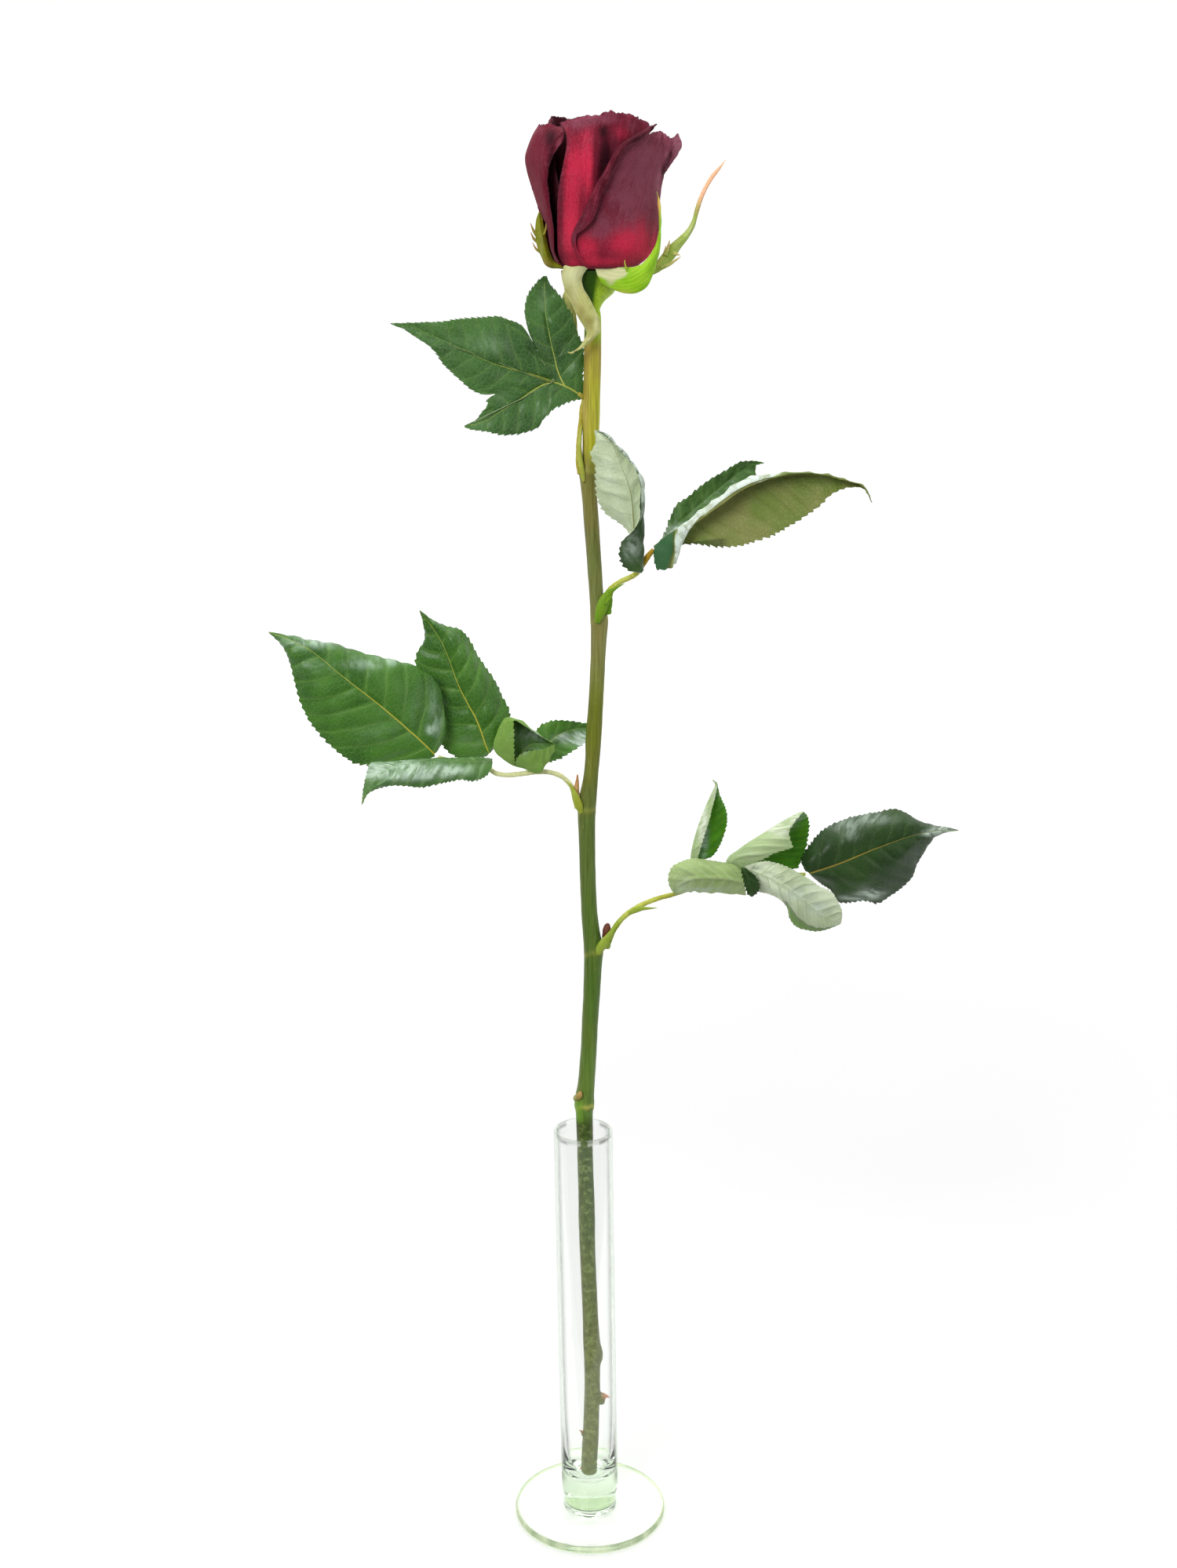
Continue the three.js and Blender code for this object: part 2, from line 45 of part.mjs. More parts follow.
  petal_centre: { rows: 13, cols: 7, at: [-12.6,12,587.9,-9.9,6.8,586.8,-5.7,2.8,586.1,-1.4,0.7,586.1,2.5,0.3,586.1,6.4,1.3,586.1,10.3,3.5,586.1,-13.4,8.4,591.5,-10.1,4,591.1,-5.3,-0.1,590.4,-0.9,-2.2,590.5,3.5,-2,590.6,8,-0.9,590.5,12.5,1.6,590.2,-13.8,6.5,596.4,-10.2,1.4,595.6,-4.9,-2.6,594.9,-0.4,-4.5,595.1,4.6,-3.7,595.3,9.4,-2.6,595.1,14.5,0.1,594.6,-13.8,4.4,601.1,-9.9,-0.3,600.5,-4.4,-3.9,599.8,0.1,-5.6,600.2,5.5,-4.2,600.3,10.5,-2.8,600.1,15.9,0.1,599.4,-13.7,1.8,605.6,-9.4,-2.1,605.3,-3.9,-5.2,604.8,0.7,-6.6,605.3,6.2,-4.6,605.4,11.4,-2.9,605.2,17.1,0.6,604.2,-13.5,-1.1,610,-8.8,-4.5,609.9,-3.3,-6.8,609.7,1.3,-7.9,610.4,6.8,-5.3,610.5,12.1,-3.1,610.2,18.1,0.9,609.1,-13.2,-3.6,614.5,-8.1,-6.4,614.6,-2.6,-8.2,614.6,1.8,-8.9,615.5,7.4,-5.8,615.6,12.9,-3.2,615.3,18.9,1.3,614,-12.5,-5.7,619.2,-7.5,-7.9,619.6,-2,-9.3,619.6,2.2,-9.7,620.6,8,-6.2,620.7,13.7,-3.2,620.4,19.7,1.7,619,-11.4,-7.8,623.9,-6.8,-9.3,624.5,-1.6,-10.3,624.7,2.4,-10.5,625.8,8.3,-6.9,625.8,14.3,-3.7,625.5,20.4,1.4,624,-10.4,-9.1,628.8,-6.2,-9.8,629.6,-1.2,-10.5,629.8,2.2,-10.4,631,8.8,-7.1,630.9,15,-3.7,630.5,21,1.2,628.9,-9.6,-9,633.9,-5.8,-9.3,634.7,-0.7,-9.9,634.9,2.4,-9.5,636.2,9.4,-6.4,636,15.7,-3,635.6,21.8,1.8,633.8,-10.2,-7.1,638.7,-5.5,-7.6,639.6,-0.2,-8.3,639.8,3.4,-7.6,641,9.7,-5.3,641,16.1,-1.7,640.5,23.3,4.6,637.7,-12.5,-3.9,642.1,-6.2,-5.1,644.1,-0.1,-6.1,644.4,4.6,-5.4,645.5,9.7,-3.9,646,16.1,-0.5,645.5,24.3,6.1,642.3] },
  petal_left: { rows: 13, cols: 6, at: [-12.9,8.6,587.6,-13.2,9.1,587.6,-14,12.6,587.9,-15,15.1,588.9,-11.8,19.3,586.5,-9.6,22.4,586.5,-15,7.2,592.1,-15.2,8,592.1,-15.8,11.6,592.5,-16.5,14.9,593.4,-13.8,20.7,590.9,-10.4,25.1,590.6,-15.1,4.8,596.5,-15.8,6,596.7,-16.4,9.4,596.9,-17.3,14.7,598.1,-14.6,21.1,595.8,-10.4,26.8,595.2,-15.4,2.9,601.2,-16.4,4.4,601.4,-17.4,8.8,601.5,-18.2,14.7,602.8,-15.3,21.4,600.8,-10.3,28,600.1,-16,1.3,606,-17.6,3.5,606.2,-19.3,11.3,605.4,-20.3,14.6,607.1,-16.8,22,605.6,-10.8,29.3,604.8,-16.5,-0.8,610.6,-18.4,1.4,610.8,-21.2,11.7,610,-22.2,14.5,611.5,-18.9,22.7,610.1,-12.1,30.6,609.5,-16.9,-2.7,615.3,-19,-0.5,615.4,-23,11,614.7,-23.8,14.5,616,-20.7,23.1,614.7,-13.6,31.5,614.1,-17.1,-4.1,620.2,-19.6,-1.9,620.2,-24.5,10.6,619.5,-25.1,14.6,620.6,-22.4,23.4,619.5,-15.1,32.1,618.8,-16.6,-5.7,625,-19.6,-3.5,625,-25.3,8.7,624.1,-26.4,14.6,625.2,-23.8,23.7,624.3,-16.9,32.3,623.5,-14.8,-6.7,629.6,-18.8,-4.3,629.9,-25.2,6.2,628.4,-27,14.8,629.9,-24.5,23.4,629.2,-18,31.9,628.3,-11.7,-7.1,633.6,-17.4,-3.6,634.7,-23.9,4.8,633.1,-25.7,15,634.5,-23.9,22.9,634.2,-18.9,30.5,633,-10.7,-4.5,637.7,-16.1,-1.2,638.9,-21.9,4.7,637.7,-23.8,15.3,638.8,-22.5,21.9,638.9,-19.2,28,637.2,-11.6,-0.7,641,-16.1,2.8,642,-19.4,5.5,642.1,-21,15.9,642.6,-20.9,19.6,643,-19.6,24.3,640.5] },
  petal_back_left: { rows: 11, cols: 7, at: [6,32.2,586.5,2.3,32.3,586.5,-1.4,31.6,586.5,-4.8,30.1,586.5,-7.8,27.9,586.5,-13.1,20.2,586.8,-13.6,17.5,586.8,8.8,34.9,590.6,4,35.5,591,-0.8,34.9,591.4,-5.4,33.1,591.6,-9.5,30.1,591.8,-16.2,22.2,591,-17.4,16.5,590.7,11.2,36.6,595.4,5.5,37.6,596.2,-0.4,37,596.9,-6,34.8,597.3,-10.8,31.1,597.5,-17.3,22.7,596.4,-18.8,15.3,595.7,12.9,37,600.8,6.4,38.6,601.9,-0.4,38.1,602.7,-6.9,35.7,603.1,-12.3,31.4,603.3,-18.2,23.3,601.9,-19.5,15.5,601.1,13.9,37.5,606.3,6.5,39.7,607.6,-1.1,39.3,608.5,-8.4,36.8,608.8,-14.3,31.9,608.9,-19.1,25.1,607.2,-20.8,17.8,605.9,14.1,38.3,611.9,6.2,40.9,613.3,-2.2,40.6,614.1,-10,37.8,614.5,-16.4,32.5,614.4,-20.1,27.2,612.2,-22.3,20.1,610.7,14,39.1,617.5,5.7,42,619,-3.1,41.7,619.9,-11.4,38.8,620.2,-18.1,33.1,620.1,-21.3,28.5,617.6,-23.7,21.5,615.8,13.1,40.4,622.9,4.8,43.3,624.6,-4.1,42.7,625.7,-12.4,39.8,626,-19.2,34.1,625.9,-22.3,29.6,623,-25.2,22,621.1,11.6,41.8,628.2,3.5,44,630.2,-4.8,42.9,631.5,-12.7,40.1,631.9,-19.1,34.7,631.8,-22.9,30.3,628.5,-26,22.5,626.5,9.5,42.5,633.4,2.3,43.7,635.9,-4.9,42,637.4,-11.8,39.5,637.8,-17.5,34.7,637.6,-22.6,30.8,634.1,-25.7,23.6,631.8,7.1,42.2,638.5,1.1,42.3,641.5,-4.6,40.2,643,-10.4,38.3,643.5,-15.2,34.3,643,-21,31.2,639.5,-24,25.9,636.5] },
  petal_back_right: { rows: 11, cols: 7, at: [18.5,17.2,587,15.6,23.8,586.7,13.3,26.3,586.7,10.5,28.2,586.7,7.4,29.5,586.7,4,29.9,586.7,0.7,29.6,586.7,22.3,17.3,590.8,19.2,24.9,590.8,16.5,28.3,591,12.9,30.9,591.2,8.8,32.6,591.3,4.4,33.1,591.4,-0.1,32.5,591.3,24.6,17.3,595.5,22,25.4,595.6,18.7,29.6,596,14.5,32.8,596.3,9.4,34.6,596.6,4,35.1,596.7,-1.4,33.9,596.5,25.5,17.1,600.7,23.1,25.1,601.1,19.5,30,601.7,14.7,33.6,602,8.9,35.7,602.2,2.8,35.9,602.1,-3,34.3,601.7,25.8,16.9,606,23.6,25,606.8,19.8,30.5,607.3,14.4,34.6,607.6,8,36.8,607.8,1.3,36.9,607.5,-5,34.8,606.9,26,16.6,611.3,24,25.1,612.4,19.8,31.2,613,14,35.7,613.2,7,38,613.2,-0.4,38.1,612.8,-7.1,35.6,611.9,26.2,16.6,616.6,24.2,25.4,618,19.8,31.9,618.6,13.6,36.7,618.9,6.2,39.1,618.8,-1.5,39.1,618.3,-8.6,36.3,617.2,26.6,16.8,621.9,24.4,26.3,623.5,19.8,32.8,624.3,13.6,37.8,624.5,6,40.1,624.5,-1.8,40.3,623.8,-9.1,37.6,622.5,27.1,17.4,627.2,24.2,27.5,629,19.7,33.5,629.9,13.7,38.3,630.2,6.4,40.6,630.2,-1.1,41.1,629.4,-8.2,38.9,627.8,27.1,18.6,632.3,23.5,28.6,634.5,19.1,33.6,635.6,13.8,37.8,635.9,7.3,39.8,635.8,0.6,40.8,634.8,-6,39.6,632.8,26.3,21,637,22.1,29.3,639.9,18.1,33,641.1,13.7,36.4,641.5,8.4,38.1,641.1,2.9,39.6,639.9,-3.1,39.4,637.5] },
  petal_inner_1: { rows: 9, cols: 7, at: [6.4,30.6,590.5,1.2,30.4,590.5,-3.6,28.5,590.5,-7.6,25,590.5,-10.2,20.4,590.5,-11.2,15.1,590.5,-10.3,9.8,590.5,8.8,31.7,597,2.5,32.1,597.3,-3.6,30.1,597.5,-8.5,25.8,597.7,-11.5,20,597.7,-12.1,13.4,597.5,-10.2,7.1,597.1,10.3,32.4,603.8,2.9,33.5,604.3,-4.4,31.3,604.6,-10.2,26.4,604.7,-13.5,19.5,604.6,-13.7,11.8,604.4,-10.6,4.7,603.9,10.8,33,610.8,2.4,34.6,611.3,-5.9,32.4,611.6,-12.4,26.8,611.6,-15.9,18.9,611.5,-15.5,10.2,611.2,-11.4,2.5,610.6,10.7,33.6,617.8,1.6,35.7,618.3,-7.4,33.4,618.5,-14.6,27.2,618.5,-18.2,18.5,618.4,-17.4,9,618.1,-12.5,0.8,617.5,10.1,34.7,624.8,0.6,36.8,625.3,-8.9,34.2,625.5,-16.4,27.6,625.6,-20.1,18.4,625.5,-19.1,8.4,625.1,-13.9,-0.3,624.5,8.2,35.6,631.5,-0.8,36.8,632.3,-9.6,33.8,632.7,-16.5,27.4,632.8,-20.1,18.6,632.7,-19.4,9.1,632.3,-15.2,0.6,631.4,5.6,35.5,638,-2.2,35.6,639.1,-9.4,32.3,639.7,-15.2,26.6,639.9,-18.3,19.1,639.8,-18.3,11,639.2,-15.7,3.2,638.1,2.7,34.3,644.3,-3.5,33.4,645.8,-8.8,30,646.6,-13.2,25.5,646.8,-15.8,19.7,646.6,-16.2,13.2,645.8,-15.4,6.7,644.3] },
  petal_inner_2: { rows: 9, cols: 7, at: [14.4,5.1,590.9,17.3,8.7,590.9,18.9,13.2,590.9,19,17.9,590.9,17.5,22.4,590.9,14.6,26.3,590.9,10.5,29,590.9,14.4,3.1,597.6,18.3,7.3,597.6,20.5,12.6,597.7,20.6,18.3,597.6,18.6,23.8,597.7,14.7,28.2,597.7,9.4,30.9,597.6,13.3,1.5,604.3,18.2,5.9,604.5,20.9,12,604.6,21.1,18.7,604.6,18.5,25,604.5,13.7,29.8,604.5,7.3,32.3,604.2,11.6,0.1,611,17.4,4.8,611.3,20.7,11.6,611.5,20.9,19.2,611.5,17.8,26.2,611.4,12,31.3,611.2,4.7,33.4,610.7,10.3,-1,617.8,16.8,3.9,618.2,20.4,11.3,618.5,20.7,19.6,618.5,17,27.2,618.3,10.6,32.5,618,2.4,34.4,617.4,10.2,-1.7,624.7,17,3.5,625.2,20.7,11.3,625.4,20.9,20.1,625.4,16.9,28,625.2,10,33.6,624.9,1.3,35.4,624.3,11.9,-1,631.4,17.9,4.4,632.1,20.9,12,632.3,21,20.4,632.3,17.1,27.9,632.2,10.7,33.4,631.9,2.5,35.7,631.2,14.1,1.1,637.7,18.8,6.4,638.7,20.7,13.2,639.2,20.7,20.4,639.3,17.3,26.9,639.2,12.1,32,638.6,5.2,34.7,637.7,16.1,4.2,643.7,19.2,9,645.2,20,14.6,646,19.9,20.3,646.2,17.2,25.3,646,13.5,29.8,645.2,8.4,32.8,643.7] },
  petal_inner_3: { rows: 9, cols: 7, at: [-7.6,12.2,591.3,-6,8.3,591.3,-3.2,5.2,591.3,0.4,3.1,591.3,4.5,2.2,591.3,8.8,2.7,591.3,12.7,4.5,591.3,-8.5,13.7,597.8,-7.1,8.8,598,-4,4.7,598.1,0.5,2,598,5.7,1.1,597.8,10.8,2.2,597.6,15.2,5,597.4,-10,15.2,604.2,-8.9,9.2,604.6,-5.4,4.2,604.7,-0.2,1.1,604.7,6,0.3,604.5,11.9,1.9,604.1,16.8,5.9,603.7,-11.9,16.4,610.6,-11,9.6,611.1,-7.3,3.8,611.3,-1.4,0.2,611.3,5.6,-0.5,611.1,12.4,1.8,610.7,17.4,6.8,610.1,-13.8,17.2,617.1,-13,9.7,617.6,-9,3.3,617.9,-2.5,-0.7,617.9,5.2,-1.2,617.8,12.5,1.6,617.4,17.6,7.5,616.7,-15.4,17.1,623.6,-14.5,9.2,624.3,-10.2,2.5,624.6,-3.3,-1.6,624.6,4.8,-2,624.4,12.5,1,624,17.7,7.4,623.2,-16.1,15.4,630.1,-14.4,8,631,-9.9,1.9,631.4,-3.2,-1.9,631.3,4.6,-2.3,631.1,12,0.3,630.5,17.2,6.2,629.7,-15.2,12.9,636.3,-12.7,6.7,637.5,-8.3,1.7,638,-2.4,-1.5,638,4.4,-1.8,637.8,11.1,0,637.1,16.1,4.6,636,-12.9,10.2,642.1,-9.9,5.6,643.6,-5.9,2,644.4,-1.1,-0.4,644.6,4.3,-0.6,644.4,9.7,0.2,643.6,14.2,3.3,642.1] },
  petal_inner_4: { rows: 9, cols: 7, at: [9.9,25.8,591.7,6.4,27,591.7,2.6,26.9,591.7,-1,25.6,591.7,-4,23.3,591.7,-6.1,20.1,591.7,-7.1,16.4,591.7,12.1,25.6,597.9,7.8,27.6,598.2,3.2,27.8,598.4,-1.3,26.3,598.5,-5,23.2,598.5,-7.2,18.9,598.4,-7.6,14.2,598.1,13.3,25.3,604.4,8.5,28.1,604.8,2.9,28.7,605.1,-2.5,26.9,605.2,-6.7,23.1,605.2,-8.9,17.8,604.9,-8.6,12,604.4,13.7,24.9,610.9,8.4,28.5,611.5,2,29.5,611.8,-4.2,27.5,611.8,-8.8,22.9,611.7,-10.9,16.7,611.4,-9.8,10.2,610.8,13.7,24.8,617.5,8,29,618.1,1,30.3,618.4,-5.8,28,618.5,-10.8,22.8,618.3,-12.8,15.8,617.9,-11.1,8.7,617.2,13.4,25.4,624.1,7.4,29.7,624.7,0,31.1,625.1,-7.1,28.5,625.1,-12.4,23,625,-14.3,15.6,624.6,-12.4,8.1,623.8,12.5,26.7,630.5,6.5,30.2,631.3,-0.6,31.1,631.8,-7.3,28.4,632,-12.4,23.2,631.9,-14.5,16.2,631.4,-13.4,9,630.4,10.9,27.9,636.7,5.2,30.1,637.9,-0.9,30.4,638.5,-6.6,27.8,638.8,-11.1,23.4,638.6,-13.4,17.4,638,-13.2,11.1,636.8,8.7,28.6,642.9,3.9,29.2,644.4,-1,29.1,645.2,-5.4,26.8,645.4,-9,23.4,645.2,-11.2,18.8,644.4,-11.9,13.7,642.9] },
  petal_inner_5: { rows: 9, cols: 7, at: [8.9,6,592.1,11.8,7.6,592.1,13.9,10.1,592.1,15.2,13.2,592.1,15.5,16.6,592.1,14.6,19.9,592.1,12.8,22.8,592.1,7.7,4.8,598.5,11.5,6.4,598.6,14.4,9.4,598.6,16.1,13.2,598.6,16.2,17.4,598.6,14.7,21.4,598.5,11.8,24.6,598.4,5.7,3.9,604.7,10.4,5.3,605,14.1,8.6,605.2,16.2,13.2,605.2,16.1,18.3,605.1,13.9,22.9,604.9,10,26.2,604.6,3.5,3.3,610.9,8.9,4.4,611.4,13.4,8,611.7,15.7,13.3,611.8,15.5,19.1,611.6,12.6,24.2,611.3,7.8,27.4,610.7,1.6,2.7,617.2,7.7,3.6,617.9,12.8,7.5,618.2,15.3,13.3,618.3,14.9,19.8,618.1,11.4,25.2,617.7,5.8,28.3,616.9,0.9,2,623.8,7.4,3.1,624.5,12.7,7.2,624.8,15.2,13.4,624.9,14.8,20.2,624.7,10.8,25.8,624.2,4.9,29.1,623.4,2.1,1.7,630.2,8.2,3.4,631,13.1,7.5,631.4,15.4,13.6,631.5,15,20.1,631.3,11.3,25.6,630.8,5.7,29.2,630,4.5,2.3,636.3,9.7,4.5,637.4,13.7,8.4,637.9,15.4,13.8,638,15.2,19.6,637.9,12.2,24.5,637.3,7.7,28.2,636.2,7.4,3.7,642.1,11.3,6.2,643.6,14.1,9.7,644.4,15.2,14.1,644.6,15.3,18.7,644.4,13.1,22.7,643.6,10.1,26.4,642.1] },
  petal_inner_6: { rows: 9, cols: 7, at: [-2.9,19.3,592.5,-3.8,16.5,592.5,-3.7,13.5,592.5,-2.6,10.6,592.5,-0.6,8.3,592.5,2,6.8,592.5,5.1,6.2,592.5,-2.4,20.9,598.6,-4,17.6,598.8,-4.2,13.8,599,-2.9,10.2,599,-0.3,7.4,598.9,3.2,5.9,598.6,7.1,5.8,598.4,-2.5,22.3,604.7,-4.9,18.6,605.1,-5.5,14.1,605.3,-4,9.8,605.4,-0.7,6.6,605.2,3.7,5.2,604.9,8.3,5.8,604.4,-3,23.4,610.8,-6.3,19.4,611.3,-7.1,14.3,611.6,-5.4,9.4,611.7,-1.5,5.8,611.5,3.6,4.6,611.2,8.9,5.8,610.6,-3.8,24.2,617,-7.7,20,617.6,-8.7,14.4,617.9,-6.8,8.9,618,-2.4,5.2,617.9,3.3,4.1,617.5,9,5.9,616.8,-5,24.6,623.1,-8.9,20.1,623.9,-9.9,14.2,624.3,-7.9,8.5,624.4,-3.2,4.6,624.2,2.9,3.6,623.8,8.7,5.6,623,-6.2,24,629.2,-9.7,19.5,630.2,-10.2,13.7,630.8,-8.1,8.2,630.8,-3.6,4.4,630.6,2.2,3.3,630.1,7.9,4.8,629.1,-7,22.5,635.2,-9.5,18.1,636.5,-9.3,13,637.1,-7.3,8.3,637.3,-3.5,4.9,637,1.5,3.5,636.3,6.7,4.2,635.1,-7.1,20.3,641.1,-8.4,16.4,642.6,-7.6,12.3,643.4,-5.9,8.6,643.6,-2.8,5.8,643.4,1,4.4,642.6,5.1,4,641.1] },
  petal_inner_7: { rows: 9, cols: 7, at: [12,17.9,592.9,10.8,20.2,592.9,8.8,21.9,592.9,6.3,22.9,592.9,3.7,22.9,592.9,1.2,22,592.9,-0.9,20.4,592.9,12.8,16.8,599,11.7,19.8,599.1,9.4,22.1,599.2,6.3,23.4,599.3,3,23.2,599.3,0,21.7,599.2,-2.1,19.1,599,12.8,15.7,605.2,11.8,19.5,605.4,9.2,22.4,605.5,5.5,23.9,605.6,1.5,23.4,605.5,-1.9,21.2,605.4,-3.8,17.7,605,12.2,14.8,611.3,11.4,19.3,611.6,8.4,22.7,611.8,4.2,24.4,611.8,-0.4,23.6,611.7,-3.9,20.7,611.4,-5.5,16.4,611,11.6,14.3,617.5,10.9,19.2,617.9,7.6,23.1,618.1,2.9,24.9,618,-2,23.7,617.9,-5.8,20.3,617.6,-7,15.3,617.1,11.3,14.5,623.8,10.5,19.7,624.2,6.9,23.6,624.3,1.9,25.3,624.3,-3.2,23.9,624.2,-7.1,20.2,623.9,-8.2,14.8,623.4,11.3,15.7,629.9,10.1,20.5,630.4,6.4,24,630.6,1.5,25.6,630.7,-3.5,24,630.6,-7.3,20.5,630.3,-8.7,15.4,629.7,11.2,17.4,636,9.6,21.5,636.6,6,24.1,637,1.6,25.4,637.1,-2.7,23.9,637,-6.4,21.1,636.6,-8,16.7,635.9,10.7,19.3,641.9,8.9,22.3,642.8,5.7,23.9,643.3,2.1,24.8,643.4,-1.3,23.5,643.3,-4.5,21.6,642.8,-6.4,18.2,641.9] },
  petal_inner_8: { rows: 9, cols: 7, at: [1.8,10.4,593.3,3.8,9.5,593.3,6,9.4,593.3,8.1,10.1,593.3,9.8,11.5,593.3,10.9,13.5,593.3,11.3,15.7,593.3,0.8,10.8,599.4,3.1,9.4,599.5,5.9,9,599.5,8.5,9.9,599.4,10.6,11.8,599.4,11.6,14.5,599.3,11.4,17.3,599.2,-0.7,11.3,605.3,1.8,9.2,605.5,5.1,8.6,605.6,8.2,9.7,605.6,10.6,12.2,605.5,11.4,15.4,605.4,10.6,18.8,605.1,-2.5,11.7,611.2,0.2,9.1,611.5,3.9,8.3,611.7,7.6,9.5,611.7,10.1,12.5,611.6,10.7,16.4,611.4,9.3,20,611,-4,11.9,617.2,-1.1,8.9,617.6,3,7.9,617.8,7,9.4,617.8,9.6,12.8,617.7,9.9,17.1,617.4,7.9,20.9,616.9,-5,11.6,623.3,-1.8,8.5,623.7,2.5,7.6,624,6.7,9.2,624,9.3,12.9,623.9,9.5,17.5,623.5,7.1,21.3,622.9,-4.8,10.6,629.4,-1.4,8.1,629.9,2.8,7.5,630.1,6.8,9.2,630.1,9.2,12.9,630,9.6,17.3,629.6,7.4,21.1,629.1,-3.4,9.6,635.2,0,7.8,635.9,3.8,7.7,636.3,7.3,9.5,636.3,9.4,12.7,636.1,9.9,16.6,635.7,8.3,20.2,635,-1,8.8,640.9,2.1,8.1,641.8,5.2,8.4,642.3,7.9,10,642.4,9.6,12.6,642.3,10.3,15.7,641.8,9.4,18.7,640.9] },
  petal_inner_9: { rows: 9, cols: 7, at: [4.5,19.9,593.7,2.8,19.3,593.7,1.4,18.2,593.7,0.6,16.6,593.7,0.5,14.8,593.7,1,13.1,593.7,2.2,11.7,593.7,5.5,20.1,599.4,3.3,19.8,599.6,1.4,18.5,599.7,0.4,16.5,599.7,0.3,14.2,599.7,1.4,12.2,599.5,3.3,10.8,599.4,5.8,20.3,605.2,3.1,20.3,605.5,0.7,18.9,605.6,-0.6,16.4,605.7,-0.4,13.7,605.6,1.2,11.4,605.4,3.8,10.2,605.1,5.6,20.3,611.1,2.4,20.6,611.4,-0.4,19.1,611.5,-1.9,16.3,611.6,-1.5,13.1,611.5,0.7,10.7,611.3,3.9,9.9,610.9,5,20.4,616.9,1.6,20.9,617.3,-1.6,19.3,617.4,-3.1,16.2,617.5,-2.6,12.7,617.4,0,10.2,617.2,3.6,9.7,616.8,4.3,20.6,622.7,0.7,21.1,623.1,-2.6,19.4,623.4,-4.1,16,623.4,-3.4,12.4,623.3,-0.6,9.9,623.1,3.2,9.5,622.6,3.4,21.1,628.4,-0.1,21.1,629,-3.2,19.2,629.3,-4.5,15.9,629.4,-3.8,12.3,629.3,-1.1,9.8,629,2.5,9.3,628.3,2.4,21.3,634.1,-0.7,20.7,634.9,-3.2,18.8,635.3,-4.1,15.7,635.5,-3.5,12.5,635.3,-1.3,10.2,634.9,1.8,9.3,634.1,1.4,21.1,639.9,-0.8,19.9,640.8,-2.6,18.1,641.3,-3.1,15.5,641.4,-2.7,12.9,641.3,-1.1,10.8,640.8,1.2,9.6,639.9] },
  petal_inner_10: { rows: 9, cols: 7, at: [7.3,13.2,594.1,8,14.3,594.1,8.2,15.7,594.1,7.8,17,594.1,6.9,18,594.1,5.7,18.5,594.1,4.3,18.5,594.1,6.7,12.6,599.7,7.9,13.8,599.8,8.4,15.4,599.9,7.9,17.1,599.9,6.6,18.4,599.9,4.9,18.7,599.8,3.2,18.1,599.7,5.4,12.1,605.3,7.2,13.3,605.5,7.9,15.2,605.6,7.4,17.3,605.6,5.7,18.7,605.6,3.5,18.8,605.5,1.8,17.6,605.2,3.9,11.9,610.8,6.1,12.8,611.1,7.1,15.1,611.3,6.5,17.5,611.4,4.4,19,611.3,2,18.7,611,0.2,16.9,610.7,2.6,11.7,616.3,5.1,12.6,616.8,6.3,15,617,5.6,17.7,617.1,3.2,19.2,617,0.6,18.6,616.7,-1.1,16.4,616.2,1.9,11.5,622,4.5,12.5,622.5,5.8,15.1,622.8,4.9,17.9,622.9,2.4,19.4,622.7,-0.4,18.7,622.4,-2.1,16.2,621.8,2.1,11.5,627.7,4.6,12.8,628.3,5.6,15.4,628.6,4.6,18,628.6,2.2,19.5,628.5,-0.6,18.9,628.2,-2.5,16.6,627.5,3.2,11.8,633.2,5.2,13.3,634,5.8,15.8,634.3,4.8,18.1,634.4,2.6,19.5,634.3,0,19.1,633.9,-2,17.4,633.2,4.7,12.5,638.7,6,14.2,639.6,6.3,16.3,640.1,5.2,18.1,640.2,3.5,19.3,640.1,1.2,19.1,639.6,-0.8,18.2,638.7] },
  sepal_front: { rows: 13, cols: 3, at: [-10.9,1.5,585.5,-4.7,0.5,585.3,1.5,2,585.5,-11.9,2.3,582.4,-7.1,0.9,582.9,-1.9,2.4,584,-11.5,3.1,579.3,-7.4,1.4,579.5,-3.5,2.9,580.7,-10.5,3.7,576.2,-6.5,1.8,576.1,-2.9,3.2,577.1,-9.2,4.2,573.2,-4.9,2.2,573.1,-0.9,3.6,573.9,-7.7,4.5,570.3,-3.2,2.6,570,0.9,3.9,570.6,-6.2,4.8,567.4,-1.7,3,566.9,2.5,4.1,567.2,-4.6,5,564.5,0,3.3,563.9,4,4.3,563.7,-2.8,5.2,561.7,1.4,3.7,560.7,4.3,4.6,560.1,-1.6,5.3,558.7,0.6,4.2,557.4,1.9,4.9,557.2,-2.8,5.5,555.7,-1.7,4.7,554.8,-0.8,5.2,554.6,-4.8,5.5,553.1,-4.2,5,552.5,-4,5.3,552.7,-7.4,5.5,551,-7.4,5.5,551,-7.4,5.5,551] },
